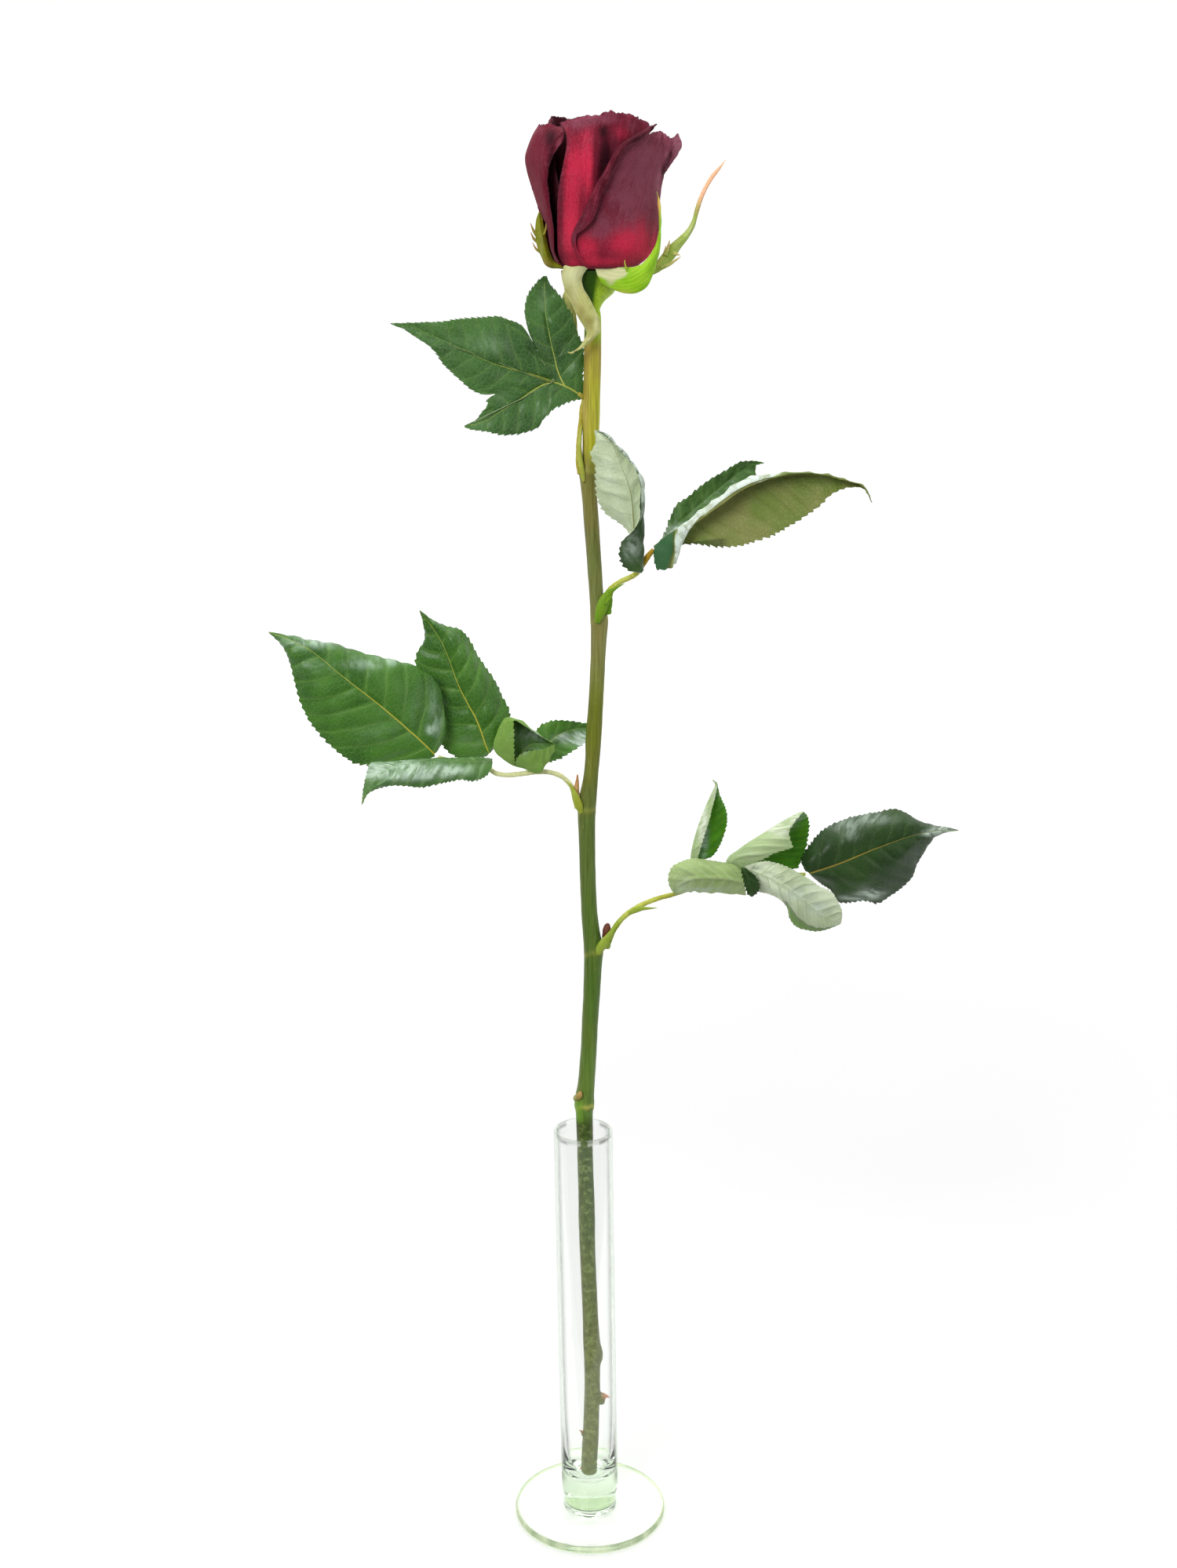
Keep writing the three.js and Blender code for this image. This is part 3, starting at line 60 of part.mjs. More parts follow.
  sepal_right_front: { rows: 13, cols: 3, at: [4.5,3.4,579.2,3.1,2,582,1.8,1.5,584.7,8.9,3.4,576.9,7.5,1.7,580.7,6.2,1.6,584.8,13.7,3.5,575.2,12,1.6,579.8,10.5,1.6,584.8,18.6,3.5,575.1,16.6,1.5,580.3,14.8,1.8,584.9,23.1,3.7,577.3,20.7,1.6,582.4,19,2,585.5,25.6,4,581.6,24,1.8,585.5,22.5,2.4,588,27.4,4.2,586.4,26.2,2.1,589.5,25.2,2.8,591.3,28.5,4.4,591.3,27.7,2.5,593.8,27.2,3.2,595.1,29.2,4.7,596.3,28.6,2.9,598.3,28.3,3.8,599.2,29.3,4.9,601.4,28.9,3.4,602.9,28.5,4.2,603.5,29.3,5.2,606.4,28.8,4,607.4,28.3,4.7,607.8,28.8,5.5,611.4,28.4,4.7,611.9,27.9,5.3,612,27.4,6,616.2,27.4,6,616.2,27.4,6,616.2] },
  sepal_right: { rows: 14, cols: 3, at: [17.8,17,584.1,17.8,15.6,582.8,17.8,17,581.5,22.6,17.2,585,22.8,15.8,583.4,22.9,17.1,582.1,26.9,17.4,587.2,27.4,16,585.1,27.9,17.3,583.1,30.1,17.8,590.7,31.2,16.4,588.3,32.1,17.7,586.1,33.1,18.2,594.4,34.3,16.9,592.2,35.7,18.2,589.8,36.8,18.5,597.6,37.7,17.3,595.9,38.5,18.5,594,40.3,18.9,601,41.1,17.8,599.5,41.6,18.9,598.1,42.8,19.4,605.1,43.5,18.5,603.8,44.1,19.4,602.5,44.1,19.8,609.8,44.8,19,608.7,45.4,19.8,607.5,45.9,20.2,614.3,46.3,19.5,613.4,46.8,20.2,612.4,47.9,20.6,618.8,48.4,20.1,617.9,48.9,20.6,617,50.4,21,622.9,50.9,20.6,622.2,51.4,21,621.5,53.8,21.4,626.4,54.1,21.2,626,54.4,21.4,625.6,57.2,21.7,630,57.2,21.7,630,57.2,21.7,630] },
  sepal_left: { rows: 11, cols: 3, at: [-10,13,584.8,-10,12,585.5,-10,13.1,586.1,-13.2,12.6,585.2,-12.8,11.2,585.9,-12.6,12.5,586.9,-16.4,12.1,585.3,-15.7,10.4,586.4,-14.9,11.9,588,-19.1,11.7,586.8,-17.6,9.7,588.4,-16.4,11.6,590.3,-20.6,11.4,589.6,-18.8,9.4,591.2,-17.3,11.4,592.8,-21.7,11.2,592.7,-19.7,9.2,594,-18,11.2,595.5,-22.5,11.1,595.8,-20.4,9.2,596.9,-18.5,11.1,598.1,-23,11,599,-20.9,9.3,599.9,-18.9,11.1,600.8,-23,11,602.3,-21.2,9.8,602.8,-19.6,11.1,603.4,-22.4,11.2,605.5,-21.4,10.5,605.7,-20.3,11.2,606.1,-21.4,11.4,608.5,-21.4,11.4,608.5,-21.4,11.4,608.5] },
  sepal_back: { rows: 10, cols: 3, at: [-12.5,24,584.5,-10.8,23.5,584.8,-8.8,24,584.8,-12.1,23.6,581.3,-10.2,22.9,581.7,-8.2,23.6,581.7,-11.2,23.2,578.1,-9.6,22.3,578.5,-7.8,23.2,578.5,-10.8,22.9,574.9,-9.2,21.9,575.3,-7.7,22.9,575.3,-10.8,22.8,571.6,-9,21.8,572,-7.5,22.8,572.1,-9.8,22.8,568.5,-8.3,21.9,568.8,-6.9,22.9,568.9,-8.3,23,565.5,-7.2,22.4,565.8,-6.2,23,565.8,-7.2,23.2,562.5,-6.5,22.7,562.6,-5.7,23.2,562.6,-6.3,23.4,559.3,-6,23.1,559.4,-5.5,23.4,559.4,-5.5,23.6,556.1,-5.5,23.6,556.1,-5.5,23.6,556.1] },
};
const STEM = [-0.4,-1,19.9,4.2,-0.3,-0.6,27.5,4,0.3,0,40,3.9,0.7,0.6,52.4,3.8,1.1,1.2,64.7,3.8,1.1,1.8,77,3.9,1.7,2.1,82.7,4.5,0.9,2.4,88.4,4.1,0.2,3,101.3,3.7,-0.4,3.8,117.4,3.7,-1.1,4.6,133.4,3.7,-1.5,5.3,149.3,3.9,-1.8,6.1,165,3.8,-2.3,6.9,180.7,3.8,-2.5,7.4,192.4,3.9,-2.8,7.9,204,3.9,-2.7,8,209.1,4.5,-2.6,8.1,212.6,4.3,-2,8.2,217.6,3.9,-1.6,8.3,223.5,3.8,-0.8,8.6,235,3.7,-0.1,9,250.3,3.8,0.6,9.2,261.8,3.8,0.9,9.4,269.3,3.9,1.2,9.6,276.9,4,1.5,9.7,282.1,4.3,1.5,9.8,285.9,4.5,0.6,9.9,291.1,4,-0.4,10.1,301.2,3.7,-0.9,10.4,314.2,3.6,-1.3,10.7,325.2,3.6,-1.5,10.9,336.2,3.7,-1.6,11.1,345.4,3.9,-1.5,11.1,350.8,4.1,-1.1,11.2,355.9,3.9,-0.2,11.3,361.7,3.5,0.4,11.4,367.1,3.3,1,11.5,374.3,3.3,1.5,11.7,383.2,3.4,2.8,12,404.6,3.3,3.4,12.3,418.6,3.3,3.7,12.4,427.4,3.5,4,12.5,432.6,3.7,3.9,12.6,436.8,3.8,3.4,12.6,441.3,3.4,2.7,12.7,446.4,3.1,2.1,12.9,456.8,3.1,1.4,13.1,467,3.1,0.7,13.2,475.6,3.2,0.2,13.4,484,3.2,-0.4,13.5,490.8,3.3,-0.9,13.6,496.8,3.5,-0.9,13.6,499.9,3.8,-0.4,13.7,502.9,3.6,0.1,13.8,509.2,3.5,0.5,14,524.2,3.7,0.7,14.2,534.1,3.6,0.9,14.3,540.7,3.7,1.1,14.5,550.5,3.6,1.1,14.6,558.6,3.6,1.2,14.7,565.1,3.4,0.8,14.8,568.3,3.3,1.1,14.8,570.6,3.7,1.4,14.8,572.8,5,1.7,14.9,574.9,6.8,2,14.9,577,8.5,2.3,14.9,579.6,10.1,2.5,15,582.1,11.3,2.6,15,583.9,11.6,2.6,15,584.6,10.6,2.6,15,585.2,8,2.6,15,585.6,4.5];
const PETIOLES = {
  petiole_a: [-3.8,12.6,500,2,-4.7,12.2,503.7,1.6,-5,12.8,509.3,1.2,-4.6,13.9,515.9,1.1,-4,15,522.5,1.1,-3.5,15.7,527.4,1.1,-2.8,14.6,531.1,1,-4.8,12.2,533.5,0.9],
  petiole_b: [6.8,11.6,439.3,2.6,7.3,10.7,444,2.5,8.1,9.8,447.9,2,10.2,8.8,451.2,1.4,13.6,7.6,453.8,1.2,16.9,6.6,455.4,1.2,19.6,5.8,457.3,1.3,22.6,4.8,461.3,1.3,25,3.9,465.2,1.3,27.3,3.5,467.9,1.1],
  petiole_c: [-5.9,11.2,351.2,1.6,-6.9,10.2,356.2,1.4,-8.1,9.8,360.6,1.2,-10.6,9.3,364,1.1,-14.1,8,366.9,1.1,-19.3,6.5,368.7,1.1,-25.2,4.8,368.9,1.1,-31.7,3.5,368.3,1.1,-36.9,2.3,368.3,1.1,-41.4,1.7,369.1,1.1,-44.5,2.8,370.7,1.1,-48.7,3.7,372.2,1,-54.6,3.4,373.7,0.9,-61.4,1.9,375,0.9,-66.8,0.1,377,0.8],
  petiole_d: [6.9,7.8,286.6,2.4,8.5,6.9,290.7,1.8,11,6,295.4,1.4,14.2,5.9,300,1.3,18.8,6.5,303.9,1.2,24.1,7.8,306.6,1.2,31.3,10.5,308.6,1.1,38.6,14.8,309.3,1.1,47.8,19.9,310.9,1,57.7,22.8,314.1,1,65.8,20.9,317.7,1,72.7,17.3,319.9,1,83.5,18.2,318.5,0.9,92.9,21.4,316.6,0.8,98.7,22.5,316.3,0.8],
};
const BUDS = {
  bud_low: [-6.4,6.9,212.3,1.6,-4.9,3.5,215.1,1.5,-4.4,3.4,217.2,0.5],
  bud_c: [-5.9,9.8,357.2,1.3,-6.2,9.3,360,1.4,-5.8,9.4,363.6,0.8,-5.7,9.4,366.7,0.3],
  bud_d: [7.1,8.4,290.5,1.9,7.4,8,293.7,2,7.9,8,296.1,1.5,8.3,8,297.2,0.6],
};
const PRICKLES = [5.3,0.5,60.5,10,0.2,60.5,4.2,-3,-0.9,41.8,-5.5,-1.3,43.9,1.7,-3.6,-2,23.3,-5.7,-2.9,22,1.9];
const LOBED = { rings: 4, around: 45, at: [-15.5,14.7,538.3,-15.5,14.7,538.3,-15.5,14.7,538.3,-15.5,14.7,538.3,-15.5,14.7,538.3,-15.5,14.7,538.3,-15.5,14.7,538.3,-15.5,14.7,538.3,-15.5,14.7,538.3,-15.5,14.7,538.3,-15.5,14.7,538.3,-15.5,14.7,538.3,-15.5,14.7,538.3,-15.5,14.7,538.3,-15.5,14.7,538.3,-15.5,14.7,538.3,-15.5,14.7,538.3,-15.5,14.7,538.3,-15.5,14.7,538.3,-15.5,14.7,538.3,-15.5,14.7,538.3,-15.5,14.7,538.3,-15.5,14.7,538.3,-15.5,14.7,538.3,-15.5,14.7,538.3,-15.5,14.7,538.3,-15.5,14.7,538.3,-15.5,14.7,538.3,-15.5,14.7,538.3,-15.5,14.7,538.3,-15.5,14.7,538.3,-15.5,14.7,538.3,-15.5,14.7,538.3,-15.5,14.7,538.3,-15.5,14.7,538.3,-15.5,14.7,538.3,-15.5,14.7,538.3,-15.5,14.7,538.3,-15.5,14.7,538.3,-15.5,14.7,538.3,-15.5,14.7,538.3,-15.5,14.7,538.3,-15.5,14.7,538.3,-15.5,14.7,538.3,-15.5,14.7,538.3,-10.6,15.6,535.5,-13.2,14.8,535,-15.6,14.1,533.9,-17.4,13.4,532.1,-19.2,12.7,530.4,-21.8,12.1,529.8,-24.5,11.6,529.7,-27.1,11.3,530.3,-29.8,11,530.6,-29.6,11.3,531.5,-27.8,11.8,533.4,-26.7,12,535.6,-27,11.9,536.3,-29.5,11.1,537.2,-31.5,10.7,538.9,-33.4,10.5,540.7,-35,10.3,542.8,-36.8,10.2,544.7,-39,9.6,546.1,-41.2,9.1,547.6,-43.1,8.7,548.3,-40.5,9.1,548.4,-37.8,9.6,548.4,-35.2,10.1,548.5,-32.6,10.6,548.8,-29.9,11.1,549,-27.2,11.7,549.2,-24.6,12.2,549.3,-22.1,12.8,548.4,-20.1,13.3,546.8,-18.9,13.6,544.4,-18.3,13.7,543.6,-19.5,13.4,546,-20.2,13.3,548.5,-20.3,13.3,551.1,-19.5,13.7,553.5,-17.8,14.4,555.6,-16.3,14.7,554.9,-14.6,14.9,552.8,-13.3,15.1,550.6,-12.1,15.2,548.3,-11.2,15.3,545.9,-10.5,15.4,543.4,-10.4,15.5,540.7,-10.5,15.6,538.1,-5.6,16.5,532.7,-10.9,14.8,531.6,-15.8,13.3,529.5,-19.3,12.2,525.9,-22.9,11,522.5,-28.1,9.7,521.2,-33.4,8.5,521.1,-38.7,7.7,522.2,-44,7.1,522.9,-43.5,7.2,524.8,-39.9,8.3,528.6,-37.8,9,532.9,-38.3,9,534.3,-43.3,8,536.1,-47.3,7.1,539.5,-51.1,6.4,543,-54.2,5.8,547.2,-57.8,5.3,551,-62.1,4.4,553.8,-66.4,3.6,556.7,-70.2,2.8,558.1,-65,4.1,558.2,-59.8,5,558.3,-54.5,6,558.5,-49.3,7.1,559.1,-44.1,8.4,559.6,-38.9,9.8,559.9,-33.6,11.2,560.1,-28.6,11.7,558.4,-24.7,12.3,555.1,-22.2,12.8,550.5,-21.1,13.1,548.8,-23.4,12.6,553.5,-24.8,12.4,558.5,-25.1,12.8,563.7,-23.4,13.7,568.5,-20.1,15.1,572.6,-17,15.5,571.2,-13.7,15.6,567.2,-11,15.8,562.8,-8.7,15.9,558.3,-7,16.1,553.4,-5.4,16.4,548.4,-5.3,16.3,543.1,-5.4,16.4,537.9,-3.1,16.9,531.3,-9.7,14.8,529.9,-15.8,13.1,527.2,-20.2,11.7,522.8,-24.8,10.3,518.5,-31.3,8.6,517,-37.9,7,516.7,-44.4,5.9,518.2,-51,4.8,519,-50.5,5.4,521.4,-46,6.5,526.2,-43.4,7.6,531.5,-44,7.7,533.3,-50.2,6.7,535.5,-55.2,5.6,539.8,-59.9,4.5,544.2,-63.7,3.7,549.4,-68.1,2.9,554.1,-73.5,1.8,557.6,-78.9,1.2,561.1,-83.6,0.3,563,-77.1,1.7,563,-70.6,2.9,563.2,-64.1,4.2,563.4,-57.7,5.7,564.2,-51.2,7.3,564.8,-44.6,9.2,565.2,-38.1,11.3,565.5,-31.9,11.5,563.3,-26.9,12,559.3,-23.9,12.5,553.5,-22.5,12.8,551.4,-25.3,12.2,557.3,-27.1,12.3,563.5,-27.4,12.7,569.9,-25.3,13.7,576,-21.2,15.4,581,-17.4,16.1,579.3,-13.2,16.2,574.3,-9.9,16.5,568.9,-7.1,16.7,563.3,-4.8,16.8,557.1,-2.9,17.1,550.9,-2.8,16.9,544.3,-2.9,16.9,537.8] };

// ---------- materials ----------
const mat = (color, roughness, extra = {}) =>
  new THREE.MeshStandardMaterial({ color, roughness, metalness: 0, ...extra });
const GLASS = () =>
  mat(0xd9ead9, 0.05, { transparent: true, opacity: 0.35 });
const leafMat = () => mat(0x2f5a24, 0.45);
const paleLeafMat = () => mat(0x9db587, 0.6);
const petalMat = (deep) => mat(deep ? 0x3e0714 : 0x7a0c22, 0.6);
const sepalMat = () => mat(0x8aa83a, 0.6);
const stemMat = () => mat(0x5c6b2a, 0.5);

// ---------- helpers ----------
const group = new THREE.Group();
const add = (name, geometry, material) => {
  const m = new THREE.Mesh(geometry, material);
  m.name = name;
  group.add(m);
  return m;
};

const points3 = (flat, step = 3) => {
  const out = [];
  for (let i = 0; i < flat.length; i += step)
    out.push(new THREE.Vector3(flat[i], flat[i + 1], flat[i + 2]));
  return out;
};

const curveOf = (pts, closed = false) =>
  new THREE.CatmullRomCurve3(pts, closed, "catmullrom", 0.5);

// A grid of points on the smooth surface through a control net.
function gridOf(net, nu, nv, u0 = 0.02, u1 = 0.975) {
  const pts = points3(net.at),
    columns = [];
  for (let j = 0; j < net.cols; j++) {
    const col = [];
    for (let i = 0; i < net.rows; i++) col.push(pts[i * net.cols + j]);
    columns.push(curveOf(col));
  }
  const grid = [];
  for (let i = 0; i <= nu; i++) {
    const t = u0 + ((u1 - u0) * i) / nu;
    const across = curveOf(columns.map((c) => c.getPoint(t)));
    const row = [];
    for (let j = 0; j <= nv; j++) row.push(across.getPoint(j / nv));
    grid.push(row);
  }
  return grid;
}

function normalsOf(grid, wrap = false) {
  const nu = grid.length - 1,
    nv = grid[0].length - 1,
    at = (i, j) =>
      grid[Math.min(nu, Math.max(0, i))][
        wrap ? (j + nv + 1) % (nv + 1) : Math.min(nv, Math.max(0, j))
      ];
  return grid.map((row, i) =>
    row.map((_, j) => {
      const ii = Math.min(nu - 1, Math.max(1, i));
      const du = at(ii + 1, j).clone().sub(at(ii - 1, j)),
        dv = at(ii, j + 1).clone().sub(at(ii, j - 1));
      return dv.cross(du).normalize();
    }),
  );
}

// A thin closed plate around a grid of points.
function plate(grid, thickness) {
  const n = normalsOf(grid),
    nu = grid.length - 1,
    nv = grid[0].length - 1,
    W = nv + 1,
    pos = [],
    idx = [];
  for (const side of [1, -1])
    for (let i = 0; i <= nu; i++)
      for (let j = 0; j <= nv; j++) {
        const rim = i === 0 || i === nu || j === 0 || j === nv;
        const h = (side * thickness * (rim ? 0.7 : 1)) / 2;
        const p = grid[i][j].clone().addScaledVector(n[i][j], h);
        pos.push(p.x, p.y, p.z);
      }
  const A = (i, j) => i * W + j,
    B = (i, j) => (nu + 1) * W + i * W + j;
  for (let i = 0; i < nu; i++)
    for (let j = 0; j < nv; j++) {
      idx.push(A(i, j), A(i, j + 1), A(i + 1, j + 1), A(i, j), A(i + 1, j + 1), A(i + 1, j));
      idx.push(B(i, j), B(i + 1, j + 1), B(i, j + 1), B(i, j), B(i + 1, j), B(i + 1, j + 1));
    }
  const strip = (a0, a1, b0, b1) => idx.push(a0, a1, b1, a0, b1, b0);
  for (let i = 0; i < nu; i++) {
    strip(A(i, 0), A(i + 1, 0), B(i, 0), B(i + 1, 0));
    strip(A(i + 1, nv), A(i, nv), B(i + 1, nv), B(i, nv));
  }
  for (let j = 0; j < nv; j++) {
    strip(A(0, j + 1), A(0, j), B(0, j + 1), B(0, j));
    strip(A(nu, j), A(nu, j + 1), B(nu, j), B(nu, j + 1));
  }
  return flipIfInside(geometryOf(pos, idx));
}

function geometryOf(pos, idx) {
  const g = new THREE.BufferGeometry();
  g.setAttribute("position", new THREE.Float32BufferAttribute(pos, 3));
  g.setIndex(idx);
  return g;
}

// Faces must point outwards: a closed mesh's signed volume says whether they do.
function flipIfInside(g) {
  const p = g.getAttribute("position"),
    ix = g.index.array;
  const a = new THREE.Vector3(),
    b = new THREE.Vector3(),
    c = new THREE.Vector3();
  let v = 0;
  for (let i = 0; i < ix.length; i += 3) {
    a.fromBufferAttribute(p, ix[i]);
    b.fromBufferAttribute(p, ix[i + 1]);
    c.fromBufferAttribute(p, ix[i + 2]);
    v += a.dot(b.cross(c));
  }
  if (v < 0) {
    const flipped = Array.from(ix);
    for (let i = 0; i < flipped.length; i += 3)
      [flipped[i + 1], flipped[i + 2]] = [flipped[i + 2], flipped[i + 1]];
    g.setIndex(flipped);
  }
  g.computeVertexNormals();
  return g;
}

// A round rod of changing radius along x, y, z, radius stations, closed at both ends.
function rod(flat, sides, rings) {
  const pts = points3(flat, 4),
    radii = [];
  for (let i = 3; i < flat.length; i += 4) radii.push(flat[i]);
  const path = curveOf(pts),
    last = pts.length - 1;
  const ts = rings
    ? Array.from({ length: rings + 1 }, (_, i) => i / rings)
    : pts.map((_, i) => i / last);
  const pos = [],
    idx = [];
  let side = null;
  ts.forEach((t) => {
    const c = path.getPoint(t),
      tan = path.getTangent(t);
    const k = Math.min(last - 1, Math.floor(t * last)),
      f = t * last - k;
    const r = radii[k] * (1 - f) + radii[k + 1] * f;
    side = (side || new THREE.Vector3(0, 1, 0.01))
      .clone()
      .addScaledVector(tan, -tan.dot(side || new THREE.Vector3(0, 1, 0.01)))
      .normalize();
    const other = tan.clone().cross(side);
    for (let s = 0; s < sides; s++) {
      const a = (2 * Math.PI * s) / sides;
      const p = c
        .clone()
        .addScaledVector(side, r * Math.cos(a))
        .addScaledVector(other, r * Math.sin(a));
      pos.push(p.x, p.y, p.z);
    }
  });
  for (let i = 0; i < ts.length - 1; i++)
    for (let s = 0; s < sides; s++) {
      const a = i * sides + s,
        b = i * sides + ((s + 1) % sides),
        c = a + sides,
        d = b + sides;
      idx.push(a, b, d, a, d, c);
    }
  const cap = (ring, turn) => {
    for (let s = 1; s < sides - 1; s++)
      idx.push(...(turn ? [ring, ring + s + 1, ring + s] : [ring, ring + s, ring + s + 1]));
  };
  cap(0, true);
  cap((ts.length - 1) * sides, false);
  return flipIfInside(geometryOf(pos, idx));
}

// ---------- solids joined ----------
const wasm = await Module();
wasm.setup();
function solidOf(geometry) {
  const g = geometry.clone();
  g.deleteAttribute("normal");
  if (g.getAttribute("uv")) g.deleteAttribute("uv");
  const m = mergeVertices(g, 1e-4);
  return new wasm.Manifold(
    new wasm.Mesh({
      numProp: 3,
      vertProperties: m.getAttribute("position").array,
      triVerts: new Uint32Array(m.index.array),
    }),
  );
}
function geometryFrom(solid) {
  const m = solid.getMesh(),
    n = m.numProp,
    pos = [];
  for (let i = 0; i < m.numVert; i++)
    pos.push(m.vertProperties[i * n], m.vertProperties[i * n + 1], m.vertProperties[i * n + 2]);
  const g = geometryOf(pos, Array.from(m.triVerts));
  g.computeVertexNormals();
  return g;
}

// ---------- vase: tube, solid base and foot fused in one ----------
const profile = [
  [0, 0],
  [FOOT_RADIUS - 0.85, 0],
  [FOOT_RADIUS, 0.9],
  [FOOT_RADIUS, FOOT_THICKNESS - 0.9],
  [FOOT_RADIUS - 0.9, FOOT_THICKNESS],
  [16, FOOT_THICKNESS + 0.25],
  [NECK_RADIUS + 0.8, FOOT_THICKNESS + 0.7],
  [NECK_RADIUS, FOOT_THICKNESS + 2],
  [NECK_RADIUS + 0.2, 7.8],
  [TUBE_RADIUS - 0.6, 10.2],
  [TUBE_RADIUS, 14.5],
  [TUBE_RADIUS, 70],
  [TUBE_RADIUS, 135],
  [TUBE_RADIUS, VASE_HEIGHT - 0.9],
  [TUBE_RADIUS - 0.75, VASE_HEIGHT],
  [BORE_RADIUS, VASE_HEIGHT - 0.9],
  [BORE_RADIUS, 135],
  [BORE_RADIUS - 0.15, 80],
  [BORE_RADIUS - 0.35, 48],
  [BORE_RADIUS - 0.8, 35],
  [BORE_RADIUS - 1.6, 27.5],
  [BORE_RADIUS - 2.9, 23],
  [BORE_RADIUS - 4.6, BORE_FLOOR + 1.6],
  [BORE_RADIUS - 6.8, BORE_FLOOR + 0.4],
  [0, BORE_FLOOR],
].map(([r, z]) => new THREE.Vector2(r, z));
const vase = new THREE.LatheGeometry(profile, VASE_SEGMENTS);
vase.rotateX(Math.PI / 2);
{
  const p = vase.getAttribute("position");
  for (let i = 0; i < p.count; i++)
    p.setX(i, p.getX(i) - TUBE_LEAN * Math.max(0, p.getZ(i) - LEAN_START));
}
add("vase", flipIfInside(vase), GLASS());

// ---------- stem with its nodes, hip and prickles ----------
let stem = solidOf(rod(STEM, STEM_SIDES));
for (let i = 0; i < PRICKLES.length; i += 7) {
  const b = new THREE.Vector3(PRICKLES[i], PRICKLES[i + 1], PRICKLES[i + 2]),
    t = new THREE.Vector3(PRICKLES[i + 3], PRICKLES[i + 4], PRICKLES[i + 5]),
    r = PRICKLES[i + 6];
  const inner = b.clone().lerp(t, -0.35),
    mid = b.clone().lerp(t, 0.45);
  stem = stem.add(
    solidOf(
      rod([...inner, r, ...b, r * 0.8, ...mid, r * 0.35, ...t, 0.12], 6),
    ),
  );
}
add("stem", geometryFrom(stem), stemMat());

// ---------- petioles and axillary buds, trimmed to stand just clear of the stem ----------
const wider = (flat, by) => flat.map((v, i) => (i % 4 === 3 ? v + by : v));
const largest = (solid) =>
  solid.decompose().sort((a, b) => b.volume() - a.volume())[0];
const stemGuard = solidOf(rod(wider(STEM, CLEARANCE), STEM_SIDES));
const petioleGuards = [];
for (const [name, at] of Object.entries(PETIOLES)) {
  const solid = solidOf(rod(at, PETIOLE_SIDES)).subtract(stemGuard);
  add(name, geometryFrom(largest(solid)), mat(0x8f9a3a, 0.5));
  petioleGuards.push(solidOf(rod(wider(at, CLEARANCE), PETIOLE_SIDES)));
}
for (const [name, at] of Object.entries(BUDS)) {
  let solid = solidOf(rod(at, 6)).subtract(stemGuard);
  for (const guard of petioleGuards) solid = solid.subtract(guard);
  add(name, geometryFrom(largest(solid)), mat(0x8a4a3a, 0.6));
}

// ---------- blades, petals, sepals ----------
for (const [name, net] of Object.entries(NETS)) {
  if (name.startsWith("leaflet")) {
    const small = name.includes("small") || name.includes("lobe");
    add(
      name,
      plate(gridOf(net, small ? 6 : 9, small ? 4 : net.cols > 5 ? 7 : 5), LEAF_THICKNESS),
      /upright|lower|rolled/.test(name) ? paleLeafMat() : leafMat(),
    );
  } else if (name.startsWith("sepal"))
    add(name, plate(gridOf(net, 10, 2, 0, 0.97), SEPAL_THICKNESS), sepalMat());
  else if (name.startsWith("petal_inner"))
    add(name, plate(gridOf(net, 5, 7, 0, 1), PETAL_THICKNESS), petalMat(true));
  else add(name, plate(gridOf(net, 9, net.cols > 7 ? 11 : 7, 0, 1), PETAL_THICKNESS), petalMat(false));
}

// ---------- the three-lobed upper leaf ----------
{
  const { rings, around, at } = LOBED,
    pts = points3(at),
    grid = [];
  for (let i = 1; i < rings; i++) grid.push(pts.slice(i * around, (i + 1) * around));
  const n = normalsOf(grid, true),
    mean = new THREE.Vector3();
  n[0].forEach((v) => mean.add(v));
  mean.normalize();
  const pos = [],
    idx = [],
    h = LEAF_THICKNESS / 2;
  for (const side of [1, -1]) {
    const c = pts[0].clone().addScaledVector(mean, side * h);
    pos.push(c.x, c.y, c.z);
    grid.forEach((row, i) =>
      row.forEach((q, j) => {
        const p = q.clone().addScaledVector(n[i][j], side * h * (i === grid.length - 1 ? 0.7 : 1));
        pos.push(p.x, p.y, p.z);
      }),
    );
  }
  const half = 1 + grid.length * around,
    at2 = (s, i, j) => s * half + 1 + i * around + (j % around);
  for (let j = 0; j < around; j++) {
    idx.push(0, at2(0, 0, j), at2(0, 0, j + 1));
    idx.push(half, at2(1, 0, j + 1), at2(1, 0, j));
    for (let i = 0; i < grid.length - 1; i++) {
      idx.push(at2(0, i, j), at2(0, i + 1, j), at2(0, i + 1, j + 1), at2(0, i, j), at2(0, i + 1, j + 1), at2(0, i, j + 1));
      idx.push(at2(1, i, j), at2(1, i + 1, j + 1), at2(1, i + 1, j), at2(1, i, j), at2(1, i, j + 1), at2(1, i + 1, j + 1));
    }
    const e = grid.length - 1;
    idx.push(at2(0, e, j), at2(1, e, j), at2(1, e, j + 1), at2(0, e, j), at2(1, e, j + 1), at2(0, e, j + 1));
  }
  add("leaf_a_blade", flipIfInside(geometryOf(pos, idx)), leafMat());
}

export default group;
